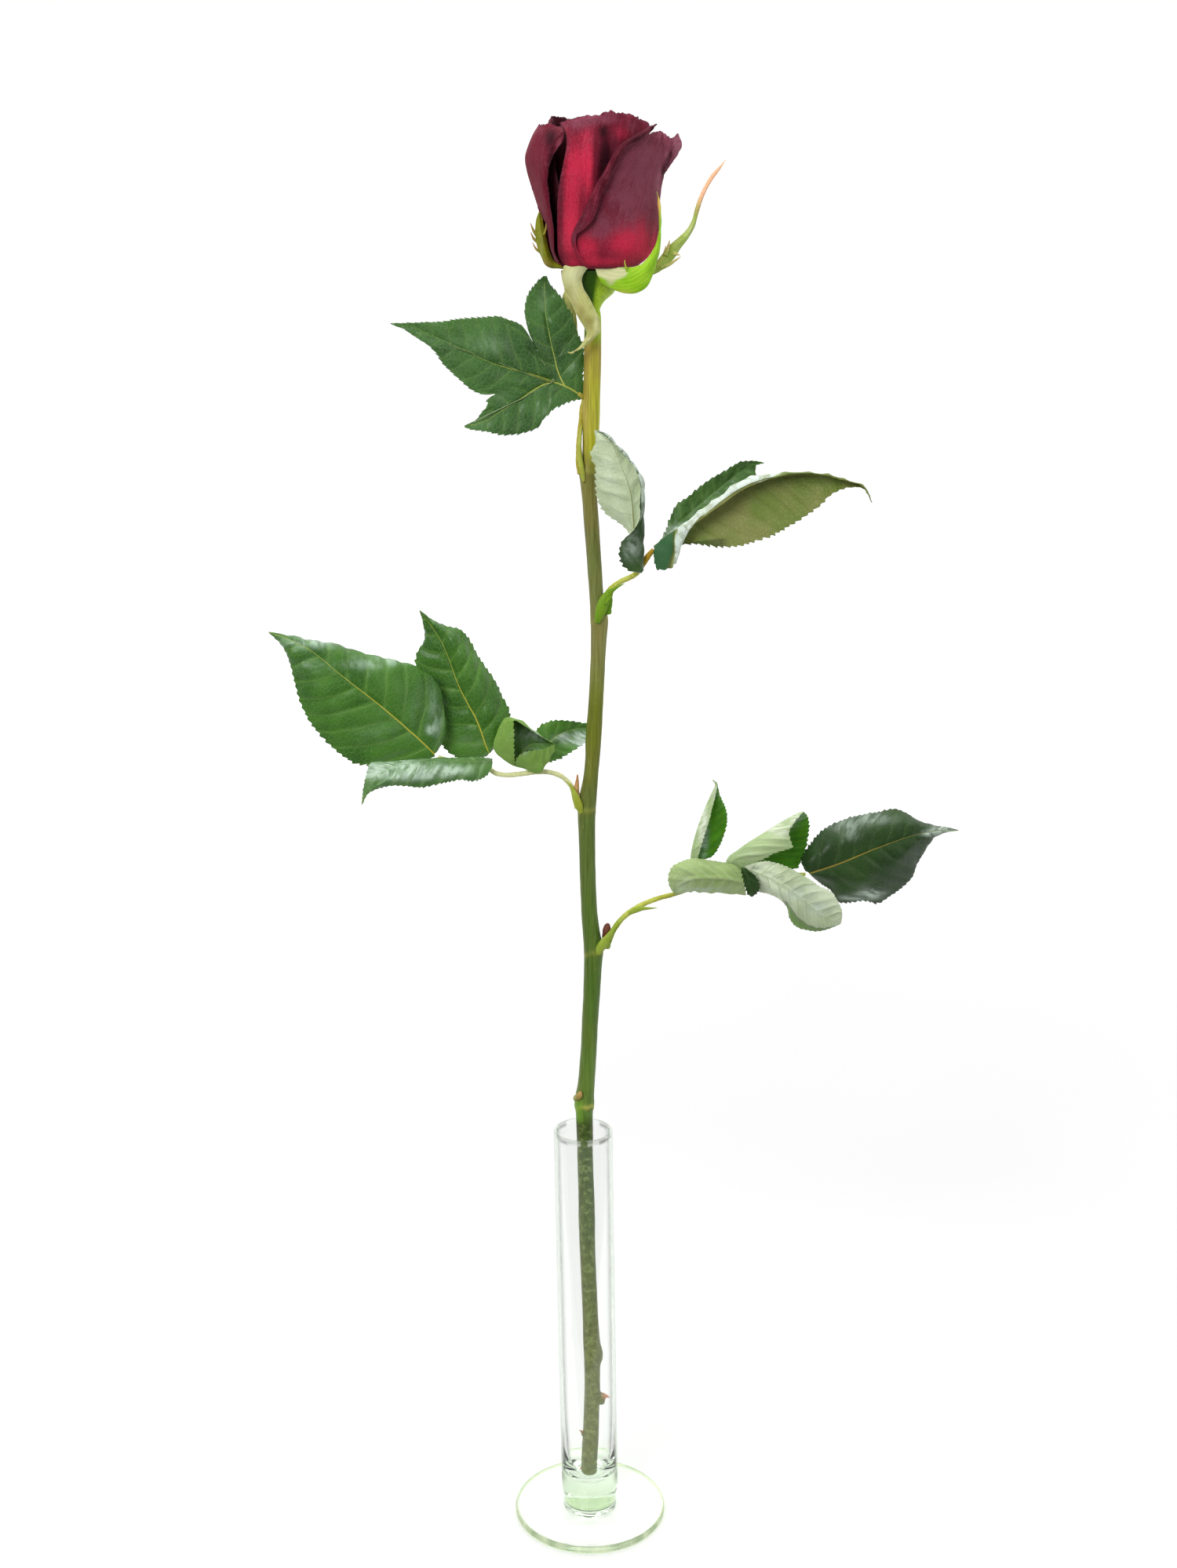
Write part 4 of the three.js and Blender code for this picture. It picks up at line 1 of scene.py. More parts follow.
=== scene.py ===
import math
import bpy
import numpy as np
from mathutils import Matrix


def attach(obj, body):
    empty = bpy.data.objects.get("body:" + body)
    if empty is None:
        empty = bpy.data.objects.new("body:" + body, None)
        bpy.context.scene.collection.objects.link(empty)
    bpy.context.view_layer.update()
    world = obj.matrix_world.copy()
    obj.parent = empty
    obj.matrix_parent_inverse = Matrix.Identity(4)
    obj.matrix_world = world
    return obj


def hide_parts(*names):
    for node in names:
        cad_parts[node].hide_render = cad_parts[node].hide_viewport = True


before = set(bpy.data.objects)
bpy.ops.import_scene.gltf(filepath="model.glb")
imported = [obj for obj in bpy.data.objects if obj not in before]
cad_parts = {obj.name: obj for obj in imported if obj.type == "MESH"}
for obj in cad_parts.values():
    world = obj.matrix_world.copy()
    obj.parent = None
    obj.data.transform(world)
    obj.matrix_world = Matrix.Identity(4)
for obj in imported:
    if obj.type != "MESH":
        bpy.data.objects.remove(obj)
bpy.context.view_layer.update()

MM = 0.001
scene = bpy.context.scene

# ---------------------------------------------------------------- camera
cam_data = bpy.data.cameras.new("view")
cam_data.lens = 44.36
cam_data.sensor_width = 36.0
cam_data.clip_start = 0.05
cam_data.clip_end = 30.0
cam = bpy.data.objects.new("view", cam_data)
cam.location = (-0.00077, -0.8286, 0.5738)
cam.rotation_euler = (math.pi / 2 - 0.24715, 0.0, 0.0)
scene.collection.objects.link(cam)
scene.camera = cam
scene.view_settings.view_transform = "Standard"
scene.view_settings.look = "None"
scene.view_settings.exposure = 0.0

# ---------------------------------------------------------------- shape tables (mm)
# Each blade, petal and sepal is a net of points, base to tip in rows and margin to
# margin in columns. The stem and petioles are x, y, z, radius.
NETS = {
    "leaflet_b_upright": {"rows": 13, "cols": 6, "up": -1, "at": [21.9,2.41,459.94,22.21,1.35,460.08,22.57,2.29,460.29,22.89,1.22,459.76,23.11,-2.84,459.64,22.37,-5.73,459.03,20.14,2.58,465.25,20.82,1.1,465.27,21.21,1.92,465.53,22.84,0.79,465.49,19.18,-2.75,464.15,16.09,-5.4,460.65,18.32,2.74,470.54,19.39,0.84,470.45,19.94,1.6,470.81,22.79,0.56,471.24,18.24,-3.06,469.93,12.52,-5.2,466.08,16.33,2.9,475.76,17.9,0.58,475.61,18.82,1.33,476.11,22.72,0.44,476.99,19.89,-3.59,475.63,13.51,-5.28,472.46,12.49,3.14,479.66,15.85,0.4,480.57,18.39,0.87,481.5,22.94,0.36,482.73,21.93,-3.91,481.24,18.02,-5.58,477.13,7.75,3.31,482.6,13.04,0.35,485.15,18.01,0.59,486.91,22.92,0.43,488.48,22.07,-3.62,487.21,20.97,-5.34,482.46,4.3,3.28,486.92,10.19,0.38,489.69,17.25,0.61,492.29,22.41,0.71,494.2,22,-3.05,493.17,21.02,-4.3,488.99,2.71,3.39,492.27,8.57,0.41,494.81,15.76,0.99,497.5,21.37,1.32,499.82,21.25,-1.95,498.99,21.38,-3.16,495.5,2.29,3.57,497.85,7.31,0.61,500.04,13.62,1.77,502.42,18.28,2.48,504.47,18.49,-0.31,503.99,19.84,-1.09,501.48,2.04,3.85,503.43,6.07,1.02,505.25,11.61,2.79,507.37,14.78,3.69,508.86,14.85,1.25,508.49,16.14,0.71,506.66,0.24,4.36,508.62,4.52,1.83,510.33,9.38,4.04,512.15,10.89,4.87,512.93,10.93,2.89,512.7,12.04,2.44,511.56,2.33,5.2,513.72,3.77,3.57,515.34,6.34,5.47,516.39,6.91,5.69,516.99,6.81,4.25,516.82,7.33,4.17,515.85,1.74,6.94,518.85,1.74,6.94,518.85,1.74,6.94,518.85,1.74,6.94,518.85,1.74,6.44,518.88,1.73,5.94,518.91]},
    "leaflet_b_lateral": {"rows": 11, "cols": 3, "up": 1, "at": [28.99,4.25,469.52,29.33,4.18,469.19,30.04,5.03,468.41,32.14,6.91,474.74,33.15,6.72,473.71,35.83,6.75,470.56,34.37,9.02,480.61,37.45,8.91,477.97,41.41,7.58,473.59,37.13,10.15,486.34,42.19,10.47,482.03,46.8,7.91,477.05,42.53,10.21,490.18,47.02,11.28,486.2,52.09,7.94,480.67,47.49,9.73,494.58,51.91,11.37,490.39,57.07,7.73,484.71,52.85,8.83,498.42,56.83,10.87,494.52,61.67,7.33,489.15,58.47,7.5,501.72,61.73,9.78,498.55,66.31,6.76,493.55,63.92,5.79,505.14,66.54,7.71,502.27,70.33,5.55,498.37,69.7,3,505.77,70.63,3.72,505.1,70.49,3.08,503.83,73.64,-1.9,505.51,73.64,-1.9,505.51,73.64,-1.9,505.51]},
    "leaflet_b_terminal": {"rows": 15, "cols": 6, "up": 1, "at": [26.89,1.62,468.16,26.88,1.62,468.5,26.92,2.62,468.71,27.28,3.56,468.59,28,4.41,467.47,28.34,4.34,467.14,29.06,-0.35,460.25,33.59,-1.8,467.96,32.47,1.08,473.99,33.68,3.05,472.88,35.05,3.32,469.61,35.28,2.88,469.63,36.27,-3.4,462.55,37.84,-3.93,474.31,38.65,-0.65,478.47,40.16,2.08,476.97,41.96,2.14,472.1,42.48,1.25,470.83,38.39,-4.92,470.92,43.14,-5.78,480,44.59,-2.32,483.29,46.35,0.94,481.44,48.67,0.8,475.02,49.77,-0.54,470.46,42.41,-6.58,478.41,48.85,-7.57,485.31,50.41,-4.02,488.25,52.25,-0.31,486.26,55.31,-0.68,478.07,57.02,-2.42,469.99,48.99,-8.54,483.92,54.69,-9.33,490.48,56.22,-5.79,493.2,58.29,-1.76,490.85,61.89,-2.26,481.17,64.22,-4.36,470.84,55.87,-10.51,489.08,60.69,-11.05,495.48,62.31,-7.74,497.69,64.45,-3.45,495.19,68.42,-3.97,484.3,70.99,-6.5,473.31,62.7,-12.34,494.34,67.59,-13,499,69.24,-10,500.51,71.19,-5.55,498.22,74.93,-5.86,487.39,77.68,-8.64,475.98,70.32,-14.32,498.29,75.02,-14.98,501.16,76.61,-12.32,501.69,78.32,-7.99,499.88,81.42,-7.92,490.39,83.75,-11,479.71,78.47,-16.39,500.92,82.72,-16.97,501.98,84.1,-14.48,502.45,85.55,-10.54,500.85,87.88,-10.15,493.34,89.69,-13.08,483.82,86.91,-18.46,502.41,90.43,-18.94,502.81,91.62,-16.63,502.8,92.81,-13.13,501.18,94.33,-12.52,496.2,95.39,-15.14,488.26,95.45,-20.53,502.24,98.13,-20.88,502.11,99.05,-18.87,501.87,100,-15.87,500.63,100.94,-15.22,498.29,100.16,-17.57,493.48,103.81,-22.54,500.29,105.67,-22.75,500.2,106.25,-21.11,499.79,106.9,-18.86,498.9,107.64,-18.37,498.29,106.33,-20.15,496.78,112.06,-24.48,497.87,112.98,-24.56,497.59,113.25,-23.66,497.42,113.49,-22.3,496.86,113.85,-22.03,496.55,113.11,-23.07,496.64,116.66,-25.46,490.76,116.66,-25.46,490.76,116.66,-25.46,490.76,116.66,-25.46,490.76,116.66,-25.46,490.76,116.66,-25.46,490.76]},
    "leaflet_c_terminal": {"rows": 13, "cols": 6, "up": 1, "at": [-67.75,-1,377.63,-67.74,-1,377.81,-68.08,-1.04,378,-67.73,-0.98,378.69,-67.54,1.07,378.92,-67.66,2.57,378.57,-76.17,-3.33,375.78,-74.54,-4.26,380.27,-72.64,-3.73,383.65,-69.13,-2.7,386.45,-63.9,1.58,387.01,-66.42,3.53,387.11,-84.83,-5.44,375.11,-81.17,-6.97,383.65,-77.68,-5.88,389.11,-72.12,-4.44,393.73,-64.18,1.51,396.13,-66.82,3.9,395.83,-93.51,-7.54,375.41,-87.96,-9.38,386.97,-82.88,-7.82,394.52,-76.3,-6.11,400.43,-65.42,1.27,405.17,-69.05,3.8,404.25,-102.16,-9.48,376.45,-94.64,-11.48,390.67,-88.23,-9.56,399.83,-81.36,-7.7,406.51,-69.86,0.43,412.98,-74.23,2.98,411.15,-109.23,-10.95,381.53,-100.85,-13.19,395.29,-93.8,-11.1,404.99,-87.04,-9.13,412.07,-77.44,-0.95,417.69,-81.61,1.6,415.55,-115.29,-12.01,388.02,-106.64,-14.5,400.55,-99.56,-12.38,410,-93.29,-10.38,417.02,-86.01,-2.44,420.46,-89.64,0.05,418.62,-120.62,-12.87,395.12,-112.03,-15.48,406.27,-105.38,-13.35,415.01,-100.13,-11.44,421.18,-94.59,-3.92,423.2,-97.65,-1.54,421.72,-124.31,-13.41,403.23,-116.91,-16.11,412.49,-111.13,-13.99,420.16,-107.21,-12.25,424.97,-103.13,-5.4,426.05,-105.6,-3.18,424.95,-126.51,-13.61,411.88,-121.18,-16.25,419.16,-116.89,-14.32,425.33,-114.44,-12.84,428.51,-111.68,-6.92,428.88,-113.57,-4.92,428.08,-128.35,-13.62,420.63,-125.55,-15.84,425.76,-123.39,-14.34,429.51,-122.11,-13.2,431.01,-120.46,-8.5,430.8,-121.85,-6.8,430.12,-131.48,-13.41,428.95,-130.96,-14.7,431.41,-130.45,-13.96,432.63,-129.87,-13.28,433.24,-129.21,-10.2,432.76,-130.01,-9.01,432.3,-137.7,-13.01,435.18,-137.7,-13.01,435.18,-137.7,-13.01,435.18,-137.7,-13.01,435.18,-137.87,-12.02,435.01,-137.95,-11.52,434.93]},
    "leaflet_c_upper": {"rows": 13, "cols": 5, "up": 1, "at": [-45.45,8.24,375.44,-45,6.3,376.26,-44.94,5.31,376.85,-44.59,5.37,377.19,-44.4,8.41,376.83,-52.68,8.35,374.71,-48.72,6.19,380.98,-46.84,5.48,382.5,-42.46,5.5,383.1,-40.1,9.8,382.28,-59.88,8.51,375.17,-51.97,6.1,386.04,-48.63,5.58,388.2,-42.29,5.46,389.37,-36.81,11,388.42,-65.31,8.76,379.73,-54.77,6.05,391.36,-50.78,5.64,393.77,-43.8,5.26,395.46,-35.96,11.92,395.22,-67.93,9.05,386.48,-57.31,6.02,396.82,-53.6,5.64,399.03,-46.26,5.01,401.24,-38.98,12.41,401.59,-69.75,9.23,393.51,-60,5.97,402.2,-56.31,5.68,404.35,-49.24,4.8,406.78,-41.84,12.74,408.05,-71.87,9.24,400.45,-62.46,5.96,407.69,-58.66,5.74,409.83,-51.91,4.76,412.47,-45.73,12.69,413.95,-74.14,9.1,407.35,-64.92,5.92,413.18,-60.54,5.91,415.49,-54.4,4.86,418.25,-49.54,12.41,419.91,-76.56,8.78,414.19,-67.02,5.93,418.82,-62.51,6.05,421.13,-56.98,5.12,423.98,-52.7,12.05,426.23,-76.28,8.57,421.32,-68.83,5.98,424.56,-64.82,6.12,426.63,-60.39,5.45,429.25,-56.7,11.24,431.62,-72.76,8.55,427.61,-70.71,5.99,430.27,-67.73,6.09,431.84,-65.32,5.62,433.12,-63.31,9.88,433.74,-72.8,7.49,434.76,-72.24,6.07,436.08,-71.12,6,436.75,-70.17,5.72,437.13,-69.39,8.42,436.97,-74.56,5.95,441.63,-74.56,5.95,441.63,-74.56,5.95,441.63,-74.56,5.95,441.63,-74.65,6.95,441.47]},
    "leaflet_c_lower": {"rows": 12, "cols": 5, "up": -1, "at": [-42.87,-2.5,373.38,-42.91,-1.49,373.84,-42.61,-0.43,374.65,-42.6,-0.42,375.36,-42.59,-0.4,376.25,-46.15,-6.06,369.67,-47.36,-5.52,372.52,-47.78,-3.87,374.55,-47.87,-3.89,376.19,-48.71,-3.03,377.6,-51.12,-9.34,368.51,-52.34,-9.1,372.27,-53.12,-6.99,375.07,-53.54,-6.72,376.86,-55.25,-4.98,377.88,-56.48,-11.98,369.73,-57.68,-12.07,372.85,-58.57,-9.79,376.13,-59.37,-9.16,377.55,-61.83,-6.77,378.21,-62.22,-14,369.2,-63.28,-14.5,373.54,-64.11,-12.3,377.38,-65.32,-11.36,378.16,-68.43,-8.5,378.43,-68.03,-15.7,368.29,-69.06,-16.55,373.87,-69.85,-14.52,378.13,-71.34,-13.4,378.54,-75.04,-10.21,378.47,-73.91,-17.19,367.53,-74.94,-18.28,373.42,-75.71,-16.4,377.36,-77.42,-15.22,378.15,-81.66,-11.84,378.31,-79.79,-18.45,368.52,-80.91,-19.67,373.01,-81.49,-17.87,375.63,-83.49,-16.86,377.16,-88.28,-13.53,378.15,-85.77,-19.49,368.91,-86.79,-20.62,371.55,-86.99,-18.92,372.95,-89.39,-18.28,375.27,-94.83,-15.43,378.15,-91.72,-20.23,367.71,-92.36,-20.97,369,-92.08,-19.53,369.46,-94.09,-19.08,371.22,-96.93,-16.8,373.04,-97.06,-20.33,364.86,-96.82,-20.21,364.92,-96.49,-19.37,365.11,-97.15,-18.98,365.64,-98.31,-17.64,366.41,-99.11,-18.12,359.66,-99.11,-18.12,359.66,-99.11,-18.12,359.66,-99.11,-18.12,359.66,-99.11,-18.12,359.66]},
    "leaflet_c_small_front": {"rows": 9, "cols": 5, "up": 1, "at": [-33.41,2.82,372.44,-33.76,2.77,372.1,-33.45,3.81,372.2,-33.07,2.86,372.08,-33.03,1.87,373.03,-33.41,-0.69,377.26,-38.71,1.02,376.28,-32.55,5.49,374.48,-29.99,2,371.35,-32.69,-0.33,375.59,-33.44,-2.66,382.89,-42.58,-0.09,381.52,-31.03,6.82,376.67,-26.96,1.4,370.27,-31.32,-2.1,378.04,-33.34,-3.78,388.74,-40.5,0.04,387.77,-29.09,7.86,378.66,-23.89,1.14,369.25,-28.62,-2.97,379.88,-33.26,-3.49,394.17,-36.94,0.68,393.41,-26.74,8.73,380.25,-21,1.38,370.55,-25.32,-3.04,380.52,-28.58,-1.34,391.19,-31.46,1.84,393.09,-23.9,9.13,380.95,-19.37,1.94,373.33,-22.13,-1.94,380.71,-24.13,0.65,387.74,-26.24,3.07,389.07,-20.95,8.8,381.04,-17.77,2.89,376.04,-19.39,0,381.12,-19.84,3.15,384.44,-20.99,4.46,385.11,-18.16,7.81,381.27,-16.44,4.3,378.67,-17.25,2.59,381.39,-15.72,6.12,381.3,-15.72,6.12,381.3,-15.72,6.12,381.3,-15.72,6.12,381.3,-15.71,5.62,381.42]},
    "leaflet_c_small_back": {"rows": 9, "cols": 4, "up": -1, "at": [-22.55,13.25,372.81,-22.23,14.29,372.56,-21.9,15.32,371.95,-21.86,13.32,372.07,-23.98,13.52,378.4,-20.65,15.47,376.22,-19.41,16.75,374.3,-18.19,14.25,371.36,-24.9,14.02,384.07,-18.65,16.84,379.57,-16.77,18.2,376.47,-14.58,15.18,372.28,-21.68,15.3,388.15,-15.6,18.5,381.84,-13.82,19.69,378.16,-11.17,16.08,373.85,-16.36,16.82,389.71,-12.07,19.89,383.55,-10.54,20.97,379.32,-7.92,16.99,375.71,-10.8,18.25,389.44,-8.25,21.14,384.62,-7.16,22,380.43,-4.74,18.05,377.63,-5.29,19.62,388.4,-4.25,22.1,385.19,-3.74,22.77,381.65,-1.62,19.39,379.47,-0.03,21.2,386.72,-0.21,22.95,384.8,-0.17,23.37,382.47,1.38,21.07,381.21,3.48,23.68,383.07,3.48,23.68,383.07,3.48,23.68,383.07,3.48,23.68,383.07]},
    "leaflet_d_upright": {"rows": 11, "cols": 5, "up": 1, "at": [48.72,13.53,326.25,47.7,14.33,326.02,46.73,16.12,325.49,48.84,15.52,325.67,51.37,15.96,325.17,49.53,12.13,330.08,48.14,13.26,329.88,47.16,16.14,329.5,51.62,16.27,328.51,55.48,17.88,326.25,50.41,11.07,334,48.77,12.66,333.82,47.94,16.25,333.46,53.43,16.74,332.13,58.35,19.38,329.55,51.37,10.32,337.97,49.58,12.29,337.76,48.88,16.39,337.37,54.7,17.05,335.99,60.34,20.4,333.65,52.57,9.67,341.9,50.77,12.07,341.61,49.98,16.54,341.25,55.68,17.27,339.94,61.67,21.03,338.09,53.61,9.28,345.9,52.02,11.95,345.45,51.22,16.68,345.09,56.57,17.44,343.92,62.41,21.37,342.69,54.42,9.16,349.97,53.19,11.95,349.31,52.6,16.81,348.88,57.21,17.51,347.95,61.74,21.17,347.27,55.45,9.44,353.98,54.48,12.14,353.13,54.02,16.93,352.65,57.5,17.45,352.01,60.05,20.55,351.59,56.37,10.28,357.94,55.72,12.53,356.95,55.47,16.97,356.42,57.38,17.19,356.08,58.22,19.48,355.74,57.04,12.36,361.43,56.87,13.49,360.68,56.75,16.77,360.23,57.24,16.73,360.13,57.4,18.04,360.1,55.03,15.4,362.85,55.03,15.4,362.85,55.03,15.4,362.85,55.03,15.4,362.85,55.03,15.4,362.85]},
    "leaflet_d_rolled": {"rows": 11, "cols": 6, "up": 1, "at": [69.24,15.18,321.3,69.4,12.21,319.59,70.04,10.26,315.73,71.1,13.27,310.32,71.55,16.25,308.26,71.29,20.19,310.04,64.99,13.97,323.58,65.62,10.57,321.73,66.58,8.66,317.33,67.79,11.85,311.16,68.25,15.59,308.65,67.77,20.38,310.48,60.28,12.83,324.7,61.51,9.04,323.18,62.95,7.21,318.65,64.43,10.6,312.01,64.96,14.96,309.09,64.26,20.31,310.94,55.54,11.79,325.83,57.14,7.69,323.96,59.07,6.04,319.45,60.99,9.6,312.9,61.67,14.35,309.63,60.75,20.01,311.41,50.76,10.84,326.87,52.69,6.56,324.6,55.08,5.09,319.96,57.48,8.73,313.64,58.37,13.76,310.15,57.25,19.6,311.83,45.89,9.96,327.38,48.14,5.66,324.79,51.01,4.4,320.17,53.9,7.98,314.12,55.06,13.19,310.58,53.76,19.1,312.22,41.17,9.21,326.29,43.6,5.11,324.11,46.89,4.12,319.95,50.26,7.38,314.38,51.74,12.62,310.94,50.27,18.47,312.39,37,8.78,323.64,39.72,5.28,321.7,43,4.57,318.76,46.59,7.05,314.29,48.41,12.09,311.19,46.83,17.68,312.16,35.39,8.97,319.04,37.75,6.31,317.69,40.14,6.15,316.29,43.04,7.26,313.41,45.06,11.6,311.25,43.54,16.57,311.43,36.19,9.7,314.19,37.53,8.25,313.53,38.76,8.61,313.31,40.01,8.47,311.73,41.71,11.23,310.9,40.61,14.99,310.23,38.48,11.3,310.19,38.48,11.3,310.19,38.48,11.3,310.19,38.48,11.3,310.08,38.48,11.3,310,38.52,12.29,309.76]},
    "leaflet_d_upper": {"rows": 12, "cols": 5, "up": 1, "at": [69.24,15.18,321.3,67.15,15.78,321.12,66.58,17.63,320.57,68.85,19.02,319.78,70.76,20.33,319.01,72.85,14.14,323.15,67.92,14,324.53,62.95,16.4,322.68,71.15,20.51,322.39,75.67,22.09,320.52,76.43,13.27,325.14,70.25,12.84,327.34,63.85,15.92,325.98,74.63,21.48,323.69,80.72,23.82,321.35,79.98,12.69,327.26,73.55,12.35,329.38,67.34,16.17,328.62,78.11,22.28,325.07,85.74,25.26,319.94,83.59,12.47,329.36,76.79,12.1,331.58,70.83,16.47,331.26,81.45,22.93,326.85,90.61,26.57,317.94,87.53,12.48,330.67,80.05,12.09,333.75,74.44,16.85,333.71,84.69,23.45,328.85,95.59,28.04,317.67,91.35,12.71,331.89,83.35,12.33,335.85,78.17,17.28,335.99,87.76,23.78,331.12,97.91,28.56,322.5,90.48,12.8,335.55,86.42,12.87,338.21,81.82,17.76,338.36,90.56,23.84,333.74,99.49,28.44,327.69,89.89,13.49,339.18,89.02,13.89,340.95,85.43,18.28,340.79,92.87,23.54,336.78,100.18,27.87,333.04,92.1,14.97,342.4,91.55,15.39,343.53,89.14,18.8,343.07,94.61,22.75,340.1,100.41,26.6,338.3,94.48,16.99,345.18,94.26,17.37,345.52,92.93,19.34,345.21,95.86,21.49,343.5,99.33,24.35,343.09,96.92,19.93,346.84,96.92,19.93,346.84,96.92,19.93,346.84,96.92,19.93,346.84,97.04,20.92,346.57]},
    "leaflet_d_lower": {"rows": 12, "cols": 5, "up": -1, "at": [69.62,11.36,323.19,69.99,11.42,322.8,70,11.41,322.43,70.36,11.47,322.04,70.41,11.96,321.53,74.84,10.96,325.06,74.83,9.89,323.41,74.54,9.89,321.38,74,9.57,319.19,72.72,10.82,316.74,80.29,10.85,325.92,79.74,8.74,322.81,79.03,8.69,319.85,78.05,8.12,316.67,75.77,10.22,312.32,85.67,11.07,324.56,84.54,8.04,321.2,83.41,7.93,317.78,82.3,7.18,314.23,80.89,10.23,310.7,90.74,11.38,322.32,89.2,7.72,319.14,87.64,7.38,315.37,86.5,6.65,311.57,85.75,10.28,308.34,95.56,11.74,319.57,93.7,7.6,316.72,91.7,7.06,312.64,90.24,6.24,308.3,89.45,10.08,304.45,100.22,12.1,316.55,98.01,7.65,313.98,95.52,6.96,309.57,93.62,6.16,304.62,90.85,9.38,299.33,104.76,12.45,313.35,102.18,7.91,311.04,99.21,7.14,306.35,97.06,6.49,301.03,94.04,9.23,295.36,109.7,12.75,310.85,106.13,8.38,307.84,102.91,7.66,303.17,100.91,7.25,297.96,99.13,9.79,293.58,112.89,12.69,306.43,109.61,9.19,304.2,106.67,8.61,300.18,105.43,8.5,296.29,104.45,10.53,292.8,114.87,12.6,301.24,112.36,10.41,300.07,110.6,10.11,297.68,110.1,10.15,295.69,109.65,11.29,293.98,114.68,12.13,295.86,114.68,12.13,295.86,114.68,12.13,295.86,114.68,12.13,295.86,114.68,12.13,295.86]},
    "leaflet_d_base_lobe": {"rows": 7, "cols": 3, "up": 1, "at": [68.39,9.16,323.11,69.11,9.3,323.25,69.74,8.44,323.69,68.61,7.74,321.03,70.08,7.42,321.73,71.56,5.34,323.04,69.03,6.89,318.7,71.1,6.12,319.73,73.81,2.83,321.73,69.6,6.37,316.3,72.1,5.39,317.43,75.64,2.02,318.82,70.33,6.13,313.9,72.97,5.26,314.99,76.17,3.08,315.4,71.33,6.35,311.63,73.48,5.87,312.52,75.13,5.06,312.59,73.29,7.27,310.34,73.29,7.27,310.34,73.29,7.27,310.34]},
    "leaflet_d_terminal": {"rows": 15, "cols": 5, "up": 1, "at": [99.09,22.56,317.22,99.72,21.69,317.1,100.1,21.75,316.71,100.85,21.88,316.29,101.46,23.92,315.3,97.11,24.32,322.96,101.7,21.5,322.48,105.28,21.97,318.24,106.3,21.98,315.26,106.53,25.57,311,100.44,26.72,328.04,106.09,21.98,326.21,110.41,22.3,319.9,111.74,22.3,314.18,111.66,27.28,306.82,104.44,28.64,332.88,110.97,22.65,329.25,115.49,22.76,321.69,117.23,22.8,313.59,115.09,28.6,301.17,109.47,30.26,336.73,116.07,23.43,331.89,120.5,23.33,323.61,122.74,23.43,313.75,121.21,30.39,300.32,115.41,31.75,339.1,121.34,24.3,334.12,125.48,24.02,325.6,128.13,24.16,314.81,127.84,32,300.63,121.6,33.11,340.84,126.82,25.26,335.76,130.48,24.81,327.49,133.25,24.99,316.78,134.32,33.35,298.96,127.98,34.37,341.8,132.34,26.3,337.19,135.54,25.72,329.15,138.1,25.91,319.33,140.07,34.55,301.94,134.41,35.5,342.57,137.94,27.4,338.15,140.57,26.74,330.83,142.64,26.9,322.36,145.6,35.57,305.82,140.82,36.38,343.69,143.6,28.58,338.4,145.65,27.85,332.31,146.91,27.98,325.74,150.36,36.23,310.62,146.79,36.74,341.46,149.22,29.81,337.69,150.78,29.08,333.47,151.05,29.12,329.26,152.48,36.28,317.11,152.31,36.87,337.89,154.73,31.08,336.44,155.95,30.42,334.25,155.71,30.41,331.98,155.74,36.27,323.12,158.53,36.82,335.84,160.25,32.45,335.34,161.14,31.89,334.46,160.8,31.88,333.53,158.83,35.99,329.2,165.02,36.55,334.86,165.8,33.87,334.44,166.28,33.53,334.09,166.1,33.53,333.73,164.64,35.6,332.41,171.36,35.31,333.65,171.36,35.31,333.65,171.36,35.31,333.65,171.36,35.31,333.65,171.36,35.31,333.65]},
